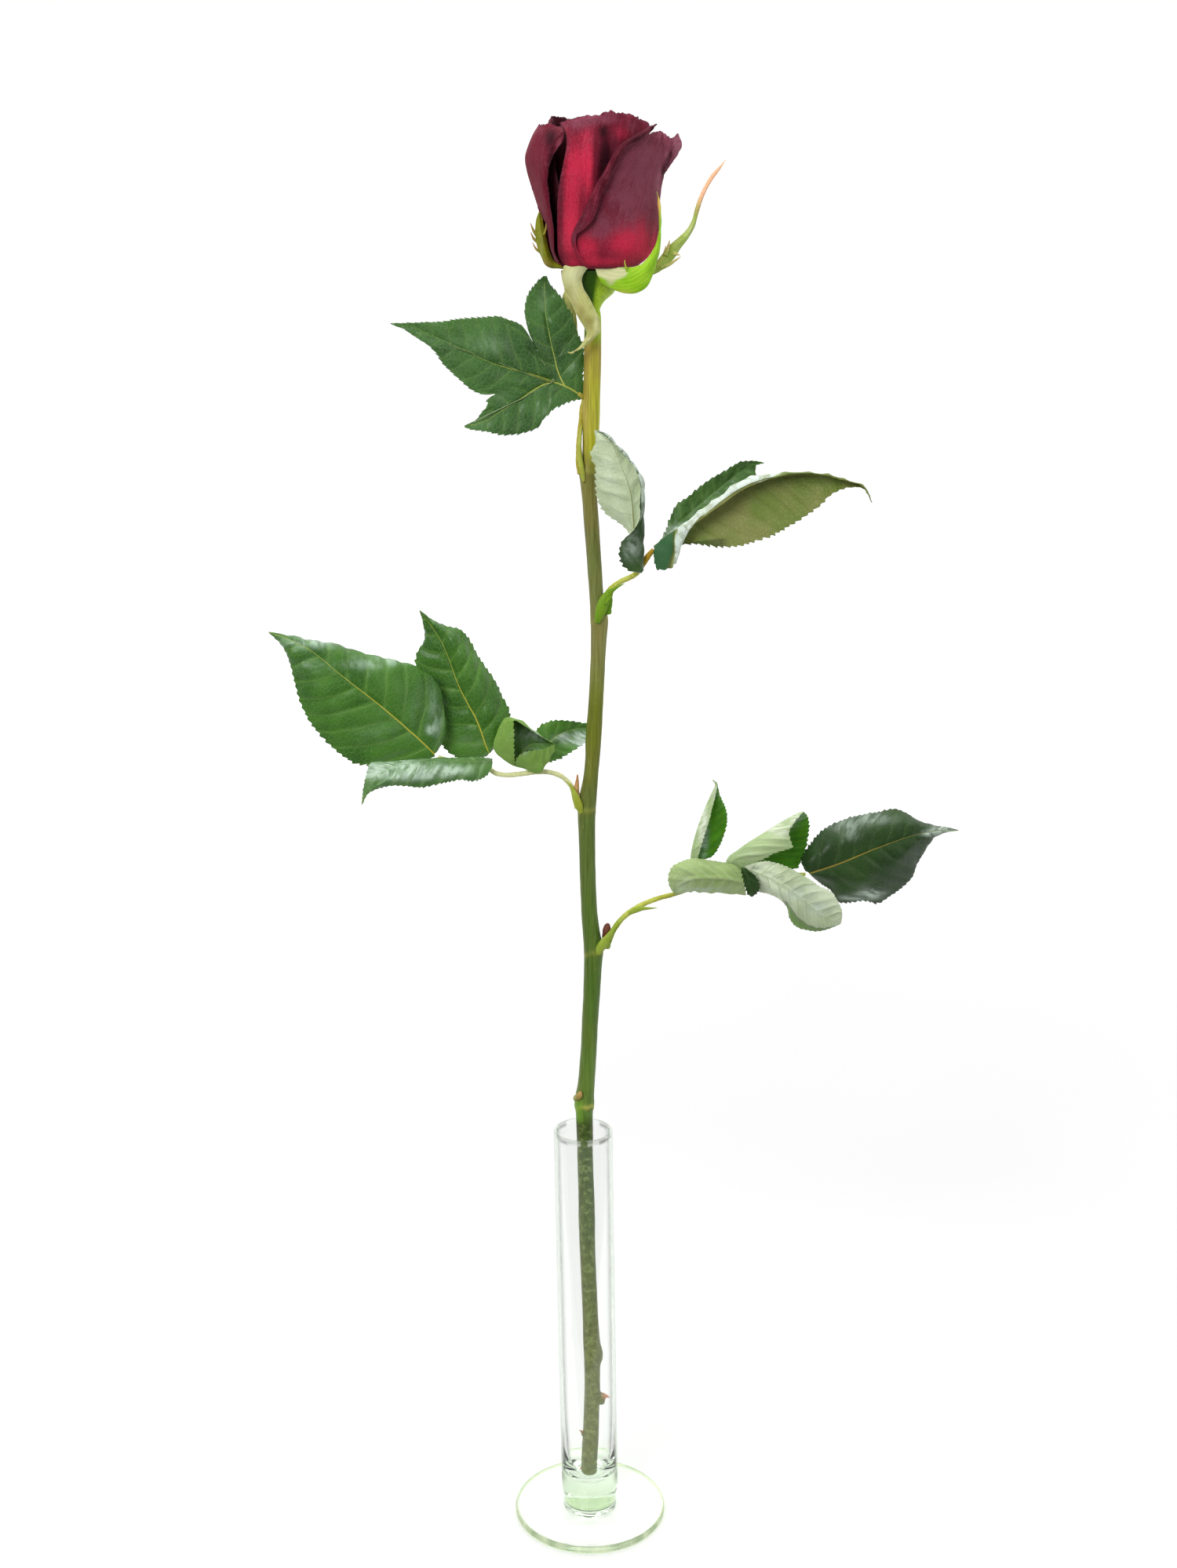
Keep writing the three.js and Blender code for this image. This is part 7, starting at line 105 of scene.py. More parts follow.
LOBED = {"rings": 7, "around": 90, "fractions": [0,0.2,0.4,0.6,0.8,0.92,1], "at": [-15.53,14.72,538.34,-15.53,14.72,538.34,-15.53,14.72,538.34,-15.53,14.72,538.34,-15.53,14.72,538.34,-15.53,14.72,538.34,-15.53,14.72,538.34,-15.53,14.72,538.34,-15.53,14.72,538.34,-15.53,14.72,538.34,-15.53,14.72,538.34,-15.53,14.72,538.34,-15.53,14.72,538.34,-15.53,14.72,538.34,-15.53,14.72,538.34,-15.53,14.72,538.34,-15.53,14.72,538.34,-15.53,14.72,538.34,-15.53,14.72,538.34,-15.53,14.72,538.34,-15.53,14.72,538.34,-15.53,14.72,538.34,-15.53,14.72,538.34,-15.53,14.72,538.34,-15.53,14.72,538.34,-15.53,14.72,538.34,-15.53,14.72,538.34,-15.53,14.72,538.34,-15.53,14.72,538.34,-15.53,14.72,538.34,-15.53,14.72,538.34,-15.53,14.72,538.34,-15.53,14.72,538.34,-15.53,14.72,538.34,-15.53,14.72,538.34,-15.53,14.72,538.34,-15.53,14.72,538.34,-15.53,14.72,538.34,-15.53,14.72,538.34,-15.53,14.72,538.34,-15.53,14.72,538.34,-15.53,14.72,538.34,-15.53,14.72,538.34,-15.53,14.72,538.34,-15.53,14.72,538.34,-15.53,14.72,538.34,-15.53,14.72,538.34,-15.53,14.72,538.34,-15.53,14.72,538.34,-15.53,14.72,538.34,-15.53,14.72,538.34,-15.53,14.72,538.34,-15.53,14.72,538.34,-15.53,14.72,538.34,-15.53,14.72,538.34,-15.53,14.72,538.34,-15.53,14.72,538.34,-15.53,14.72,538.34,-15.53,14.72,538.34,-15.53,14.72,538.34,-15.53,14.72,538.34,-15.53,14.72,538.34,-15.53,14.72,538.34,-15.53,14.72,538.34,-15.53,14.72,538.34,-15.53,14.72,538.34,-15.53,14.72,538.34,-15.53,14.72,538.34,-15.53,14.72,538.34,-15.53,14.72,538.34,-15.53,14.72,538.34,-15.53,14.72,538.34,-15.53,14.72,538.34,-15.53,14.72,538.34,-15.53,14.72,538.34,-15.53,14.72,538.34,-15.53,14.72,538.34,-15.53,14.72,538.34,-15.53,14.72,538.34,-15.53,14.72,538.34,-15.53,14.72,538.34,-15.53,14.72,538.34,-15.53,14.72,538.34,-15.53,14.72,538.34,-15.53,14.72,538.34,-15.53,14.72,538.34,-15.53,14.72,538.34,-15.53,14.72,538.34,-15.53,14.72,538.34,-15.53,14.72,538.34,-13.06,15.1,536.94,-13.72,14.94,536.83,-14.37,14.75,536.66,-14.98,14.54,536.39,-15.59,14.36,536.12,-15.98,14.22,535.68,-16.47,14.07,535.24,-16.79,13.94,534.67,-17.38,13.79,534.38,-18.02,13.65,534.19,-18.68,13.51,534.06,-19.35,13.38,533.99,-20.02,13.27,534.01,-20.68,13.19,534.15,-21.33,13.1,534.29,-22,13.01,534.38,-22.67,12.92,534.45,-23.19,12.88,534.72,-22.56,13,534.93,-22.05,13.14,535.36,-21.66,13.27,535.89,-21.21,13.41,536.37,-21.13,13.45,536.97,-20.6,13.56,537.36,-21.26,13.37,537.33,-21.9,13.17,537.49,-22.51,12.97,537.77,-23.02,12.79,538.19,-23.52,12.65,538.64,-24.02,12.58,539.08,-24.51,12.52,539.53,-24.96,12.46,540.01,-25.3,12.48,540.58,-25.72,12.43,541.09,-26.21,12.36,541.53,-26.77,12.31,541.89,-27.33,12.12,542.25,-27.88,12.07,542.63,-28.43,11.89,542.99,-29.07,11.78,543.19,-29.4,11.71,543.36,-28.73,11.8,543.38,-28.07,11.94,543.37,-27.4,12.05,543.39,-26.73,12.17,543.41,-26.06,12.3,543.42,-25.39,12.4,543.44,-24.73,12.54,543.46,-24.08,12.64,543.6,-23.41,12.75,543.67,-22.74,12.87,543.71,-22.08,12.98,543.75,-21.41,13.11,543.79,-20.74,13.22,543.86,-20.07,13.34,543.85,-19.45,13.48,543.6,-18.82,13.61,543.4,-18.23,13.74,543.08,-17.82,13.85,542.57,-17.52,13.96,541.98,-17.21,14.07,541.39,-16.9,14.18,540.8,-16.92,14.16,540.96,-17.2,14.06,541.57,-17.5,13.95,542.16,-17.71,13.86,542.78,-17.86,13.82,543.43,-17.97,13.81,544.08,-17.93,13.85,544.73,-17.79,13.91,545.37,-17.5,14.03,545.96,-17.11,14.18,546.49,-16.66,14.35,546.98,-16.15,14.54,547.22,-15.89,14.6,546.62,-15.5,14.72,546.09,-15.07,14.86,545.59,-14.66,14.96,545.08,-14.4,15.01,544.49,-13.98,15.11,543.99,-13.83,15.14,543.34,-13.64,15.16,542.71,-13.39,15.18,542.1,-13.09,15.23,541.51,-13.01,15.28,540.85,-12.98,15.28,540.19,-12.98,15.21,539.53,-13.11,15.11,538.89,-13.01,15.13,538.24,-12.92,15.16,537.59,-10.58,15.56,535.54,-11.91,15.2,535.31,-13.21,14.82,534.98,-14.42,14.45,534.43,-15.65,14.07,533.9,-16.44,13.74,533.02,-17.4,13.38,532.14,-18.04,13.07,531.01,-19.23,12.74,530.42,-20.51,12.43,530.04,-21.83,12.13,529.79,-23.16,11.86,529.65,-24.5,11.63,529.69,-25.81,11.47,529.98,-27.13,11.32,530.25,-28.46,11.16,530.42,-29.79,11.01,530.58,-30.83,10.9,531.12,-29.57,11.25,531.53,-28.57,11.59,532.38,-27.78,11.83,533.43,-26.88,12.06,534.41,-26.72,12,535.6,-25.66,12.22,536.39,-26.97,11.86,536.33,-28.25,11.48,536.65,-29.46,11.13,537.21,-30.49,10.9,538.04,-31.48,10.74,538.92,-32.46,10.59,539.81,-33.44,10.46,540.7,-34.34,10.35,541.66,-35,10.32,542.8,-35.85,10.26,543.81,-36.82,10.17,544.7,-37.92,9.94,545.42,-39.04,9.64,546.12,-40.11,9.35,546.89,-41.22,9.07,547.59,-42.47,8.81,547.98,-43.13,8.69,548.34,-41.81,8.9,548.36,-40.48,9.13,548.36,-39.16,9.36,548.39,-37.83,9.6,548.43,-36.5,9.86,548.46,-35.17,10.11,548.49,-33.85,10.37,548.54,-32.55,10.61,548.81,-31.23,10.87,548.96,-29.91,11.13,549.04,-28.58,11.41,549.12,-27.25,11.68,549.2,-25.92,11.96,549.33,-24.59,12.24,549.31,-23.36,12.51,548.83,-22.09,12.79,548.43,-20.93,13.08,547.78,-20.11,13.27,546.77,-19.5,13.41,545.6,-18.88,13.55,544.43,-18.27,13.72,543.26,-18.31,13.69,543.57,-18.87,13.57,544.77,-19.46,13.43,545.96,-19.88,13.35,547.2,-20.18,13.3,548.48,-20.4,13.28,549.77,-20.32,13.35,551.07,-20.04,13.48,552.35,-19.46,13.7,553.53,-18.68,14,554.58,-17.8,14.36,555.56,-16.78,14.68,556.05,-16.26,14.74,554.85,-15.47,14.82,553.81,-14.6,14.91,552.81,-13.79,15,551.81,-13.28,15.07,550.64,-12.42,15.17,549.63,-12.13,15.21,548.35,-11.74,15.26,547.08,-11.25,15.32,545.86,-10.65,15.41,544.69,-10.48,15.45,543.38,-10.42,15.48,542.06,-10.42,15.52,540.73,-10.69,15.55,539.44,-10.49,15.64,538.14,-10.31,15.73,536.82,-8.1,16.07,534.13,-10.09,15.46,533.79,-12.04,14.84,533.3,-13.87,14.23,532.47,-15.71,13.66,531.68,-16.89,13.22,530.36,-18.34,12.73,529.03,-19.3,12.33,527.33,-21.08,11.83,526.46,-23,11.34,525.89,-24.98,10.87,525.52,-26.97,10.43,525.31,-28.98,10.05,525.37,-30.94,9.77,525.81,-32.91,9.52,526.22,-34.9,9.27,526.48,-36.89,9.04,526.72,-38.44,8.7,527.53,-36.55,9.24,528.15,-35.05,9.67,529.42,-33.87,10.02,531.01,-32.52,10.43,532.46,-32.29,10.55,534.24,-30.71,10.9,535.42,-32.66,10.4,535.33,-34.58,9.91,535.81,-36.39,9.49,536.65,-37.92,9.18,537.88,-39.4,8.91,539.21,-40.87,8.64,540.53,-42.31,8.4,541.87,-43.66,8.2,543.3,-44.64,8.14,545,-45.9,7.99,546.51,-47.33,7.75,547.85,-48.98,7.44,548.92,-50.64,7.13,549.97,-52.24,6.8,551.1,-53.89,6.48,552.15,-55.76,6.1,552.73,-56.74,5.88,553.26,-54.77,6.24,553.3,-52.79,6.58,553.3,-50.82,6.92,553.34,-48.84,7.26,553.4,-46.86,7.6,553.45,-44.88,7.97,553.5,-42.9,8.35,553.57,-40.97,8.74,553.98,-39.01,9.17,554.21,-37.03,9.61,554.33,-35.04,10.06,554.44,-33.06,10.53,554.57,-31.08,11,554.76,-29.1,11.47,554.74,-27.25,11.78,554.01,-25.35,12.14,553.42,-23.61,12.51,552.46,-22.4,12.78,550.95,-21.48,12.97,549.2,-20.55,13.17,547.46,-19.64,13.37,545.7,-19.7,13.37,546.17,-20.53,13.19,547.97,-21.41,13,549.73,-22.05,12.88,551.59,-22.49,12.81,553.5,-22.82,12.78,555.43,-22.69,12.88,557.38,-22.29,13.17,559.29,-21.42,13.6,561.05,-20.25,14.14,562.63,-18.93,14.75,564.09,-17.4,15.03,564.83,-16.63,15,563.04,-15.45,15.02,561.49,-14.14,15.09,560,-12.93,15.16,558.5,-12.16,15.17,556.76,-10.88,15.37,555.25,-10.43,15.44,553.33,-9.85,15.53,551.44,-9.11,15.64,549.61,-8.21,15.79,547.85,-7.95,15.82,545.89,-7.86,15.83,543.92,-7.86,15.84,541.94,-8.27,15.82,540,-7.96,15.99,538.04,-7.7,16.23,536.06,-5.62,16.47,532.72,-8.28,15.62,532.27,-10.88,14.8,531.62,-13.31,14.03,530.52,-15.77,13.35,529.46,-17.35,12.81,527.7,-19.28,12.2,525.92,-20.56,11.71,523.65,-22.94,11.03,522.49,-25.5,10.34,521.73,-28.12,9.67,521.24,-30.78,9.04,520.97,-33.45,8.48,521.06,-36.06,8.07,521.64,-38.67,7.72,522.2,-41.32,7.4,522.55,-43.97,7.07,522.86,-46.02,6.48,523.96,-43.52,7.19,524.79,-41.52,7.78,526.47,-39.94,8.28,528.58,-38.16,8.83,530.52,-37.84,9.04,532.89,-35.74,9.66,534.45,-38.34,9.05,534.33,-40.9,8.48,534.96,-43.3,8.02,536.08,-45.33,7.57,537.72,-47.28,7.15,539.48,-49.23,6.74,541.25,-51.14,6.36,543.03,-52.92,6.02,544.94,-54.21,5.84,547.2,-55.87,5.6,549.2,-57.77,5.29,550.97,-59.94,4.87,552.4,-62.14,4.45,553.78,-64.25,4.07,555.28,-66.43,3.65,556.67,-68.9,3.06,557.44,-70.2,2.85,558.14,-67.61,3.61,558.18,-65,4.09,558.19,-62.38,4.53,558.25,-59.76,4.98,558.32,-57.14,5.46,558.4,-54.52,5.97,558.47,-51.89,6.51,558.57,-49.34,7.09,559.11,-46.73,7.71,559.42,-44.11,8.35,559.57,-41.48,9.04,559.73,-38.86,9.76,559.9,-36.23,10.51,560.16,-33.6,11.17,560.13,-31.14,11.35,559.17,-28.6,11.66,558.39,-26.29,12,557.13,-24.67,12.31,555.11,-23.45,12.56,552.79,-22.22,12.81,550.47,-21,13.07,548.14,-21.08,13.06,548.77,-22.19,12.83,551.15,-23.37,12.59,553.5,-24.21,12.44,555.97,-24.8,12.44,558.51,-25.23,12.54,561.07,-25.07,12.8,563.66,-24.53,13.15,566.2,-23.38,13.67,568.53,-21.82,14.34,570.63,-20.06,15.12,572.58,-18.03,15.55,573.57,-17,15.48,571.2,-15.42,15.5,569.13,-13.69,15.61,567.16,-12.07,15.74,565.17,-11.04,15.77,562.85,-9.34,15.97,560.84,-8.74,15.9,558.3,-7.97,15.94,555.79,-6.98,16.12,553.35,-5.78,16.36,551.01,-5.43,16.38,548.4,-5.31,16.36,545.77,-5.31,16.31,543.13,-5.84,16.22,540.55,-5.43,16.41,537.94,-5.07,16.67,535.3,-4.13,16.69,531.88,-7.18,15.73,531.36,-10.18,14.79,530.61,-12.98,13.94,529.34,-15.8,13.2,528.12,-17.62,12.61,526.1,-19.85,11.91,524.05,-21.32,11.39,521.44,-24.05,10.6,520.11,-27,9.78,519.23,-30.01,9,518.68,-33.07,8.24,518.36,-36.13,7.57,518.47,-39.13,7.07,519.15,-42.13,6.64,519.79,-45.17,6.21,520.2,-48.21,5.76,520.56,-50.58,5.33,521.81,-47.69,6.04,522.76,-45.39,6.66,524.71,-43.58,7.22,527.13,-41.53,7.88,529.36,-41.17,8.17,532.07,-38.76,8.9,533.87,-41.74,8.21,533.73,-44.68,7.69,534.45,-47.44,7.23,535.73,-49.77,6.68,537.62,-52.01,6.17,539.65,-54.23,5.68,541.67,-56.42,5.2,543.73,-58.45,4.78,545.92,-59.93,4.53,548.51,-61.82,4.22,550.81,-63.99,3.85,552.84,-66.48,3.36,554.47,-68.99,2.86,556.06,-71.41,2.45,557.78,-73.91,2.09,559.36,-76.74,1.51,560.24,-78.23,1.3,561.04,-75.26,2.07,561.09,-72.28,2.71,561.1,-69.28,3.23,561.17,-66.28,3.76,561.26,-63.27,4.31,561.35,-60.27,4.9,561.42,-57.27,5.53,561.54,-54.34,6.22,562.17,-51.35,6.96,562.52,-48.35,7.73,562.7,-45.34,8.54,562.89,-42.33,9.41,563.09,-39.32,10.35,563.38,-36.3,11.19,563.35,-33.47,11.29,562.26,-30.56,11.56,561.36,-27.9,11.89,559.91,-26.04,12.09,557.6,-24.63,12.32,554.94,-23.22,12.6,552.28,-21.82,12.89,549.6,-21.91,12.89,550.32,-23.19,12.63,553.06,-24.53,12.36,555.76,-25.51,12.28,558.58,-26.19,12.36,561.5,-26.68,12.48,564.44,-26.49,12.75,567.41,-25.87,13.13,570.33,-24.55,13.7,573.01,-22.76,14.43,575.42,-20.74,15.28,577.66,-18.4,15.94,578.8,-17.22,15.82,576.08,-15.41,15.84,573.71,-13.42,15.97,571.44,-11.56,16.14,569.16,-10.38,16.18,566.5,-8.42,16.46,564.2,-7.73,16.38,561.27,-6.84,16.36,558.39,-5.7,16.49,555.6,-4.32,16.79,552.9,-3.92,16.81,549.91,-3.78,16.76,546.88,-3.77,16.67,543.84,-4.39,16.49,540.88,-3.92,16.67,537.88,-3.5,16.94,534.85,-3.13,16.88,531.31,-6.45,15.8,530.75,-9.71,14.79,529.94,-12.76,13.88,528.56,-15.83,13.12,527.23,-17.8,12.5,525.03,-20.22,11.74,522.81,-21.82,11.2,519.96,-24.8,10.33,518.51,-28,9.44,517.57,-31.27,8.56,516.96,-34.59,7.71,516.62,-37.92,6.96,516.75,-41.17,6.39,517.49,-44.43,5.89,518.19,-47.73,5.37,518.63,-51.02,4.81,519.04,-53.61,4.63,520.38,-50.47,5.37,521.41,-47.97,5.96,523.53,-46,6.54,526.17,-43.77,7.24,528.59,-43.38,7.59,531.53,-40.77,8.4,533.48,-44,7.67,533.33,-47.2,7.17,534.11,-50.2,6.74,535.5,-52.73,6.14,537.55,-55.15,5.57,539.75,-57.56,5,541.96,-59.93,4.46,544.19,-62.13,3.97,546.56,-63.73,3.67,549.38,-65.77,3.31,551.87,-68.13,2.89,554.08,-70.82,2.35,555.85,-73.54,1.85,557.57,-76.17,1.51,559.43,-78.89,1.17,561.15,-81.95,0.6,562.1,-83.56,0.34,562.96,-80.34,1.07,563.02,-77.1,1.73,563.03,-73.86,2.33,563.11,-70.6,2.92,563.21,-67.35,3.54,563.31,-64.09,4.19,563.39,-60.83,4.88,563.52,-57.66,5.65,564.2,-54.43,6.47,564.58,-51.17,7.33,564.78,-47.9,8.24,564.99,-44.63,9.2,565.2,-41.37,10.25,565.52,-38.1,11.28,565.5,-35.02,11.3,564.31,-31.86,11.52,563.34,-28.97,11.83,561.76,-26.95,12.03,559.26,-25.42,12.17,556.37,-23.88,12.47,553.48,-22.36,12.78,550.57,-22.46,12.77,551.35,-23.85,12.49,554.33,-25.31,12.22,557.26,-26.37,12.22,560.33,-27.11,12.31,563.49,-27.65,12.44,566.68,-27.44,12.73,569.91,-26.76,13.13,573.08,-25.32,13.72,575.99,-23.38,14.48,578.61,-21.19,15.38,581.04,-18.65,16.18,582.28,-17.37,16.06,579.33,-15.4,16.08,576.75,-13.24,16.22,574.29,-11.22,16.42,571.82,-9.94,16.48,568.93,-7.81,16.81,566.43,-7.06,16.73,563.25,-6.09,16.71,560.13,-4.85,16.78,557.09,-3.35,17.11,554.16,-2.91,17.12,550.91,-2.75,17.06,547.62,-2.75,16.93,544.32,-3.42,16.69,541.1,-2.9,16.85,537.84,-2.45,17.11,534.54], "tips": [[-84.25, 0.29, 562.85], [-19.34, 16.18, 582.64], [-53.76, 4.61, 520.22]], "veins": {"mid": [-3.13,16.87,531.98,-9.53,15.78,536.03,-16.58,14.3,538.72,-23.68,12.81,541.22,-30.91,11.27,543.21,-38.07,9.74,545.28,-45.01,8.25,547.87,-51.58,6.86,551.2,-58.26,5.42,554.21,-64.9,3.99,557.24,-71.56,2.72,560.13,-78.48,1.33,562.26], "low": [-15.53,14.52,538.35,-19.11,13.74,537.59,-22.43,13,536.08,-25.56,12.29,534.22,-28.59,11.39,532.22,-31.63,10.49,530.25,-34.75,9.58,528.41,-37.88,8.67,526.59,-40.89,7.77,524.59,-44.02,6.86,522.8,-47.36,5.96,521.42,-50.9,5.09,520.68], "upp": [-10.85,15.5,536.66,-12.82,15.14,540.23,-14.2,14.9,544.03,-15.08,14.77,547.97,-16.01,14.63,551.89,-16.89,14.5,555.8,-17.67,14.56,559.73,-18.45,14.7,563.64,-18.99,14.89,567.58,-19.27,15.14,571.55,-19.38,15.42,575.51,-19.37,15.73,579.47]}}
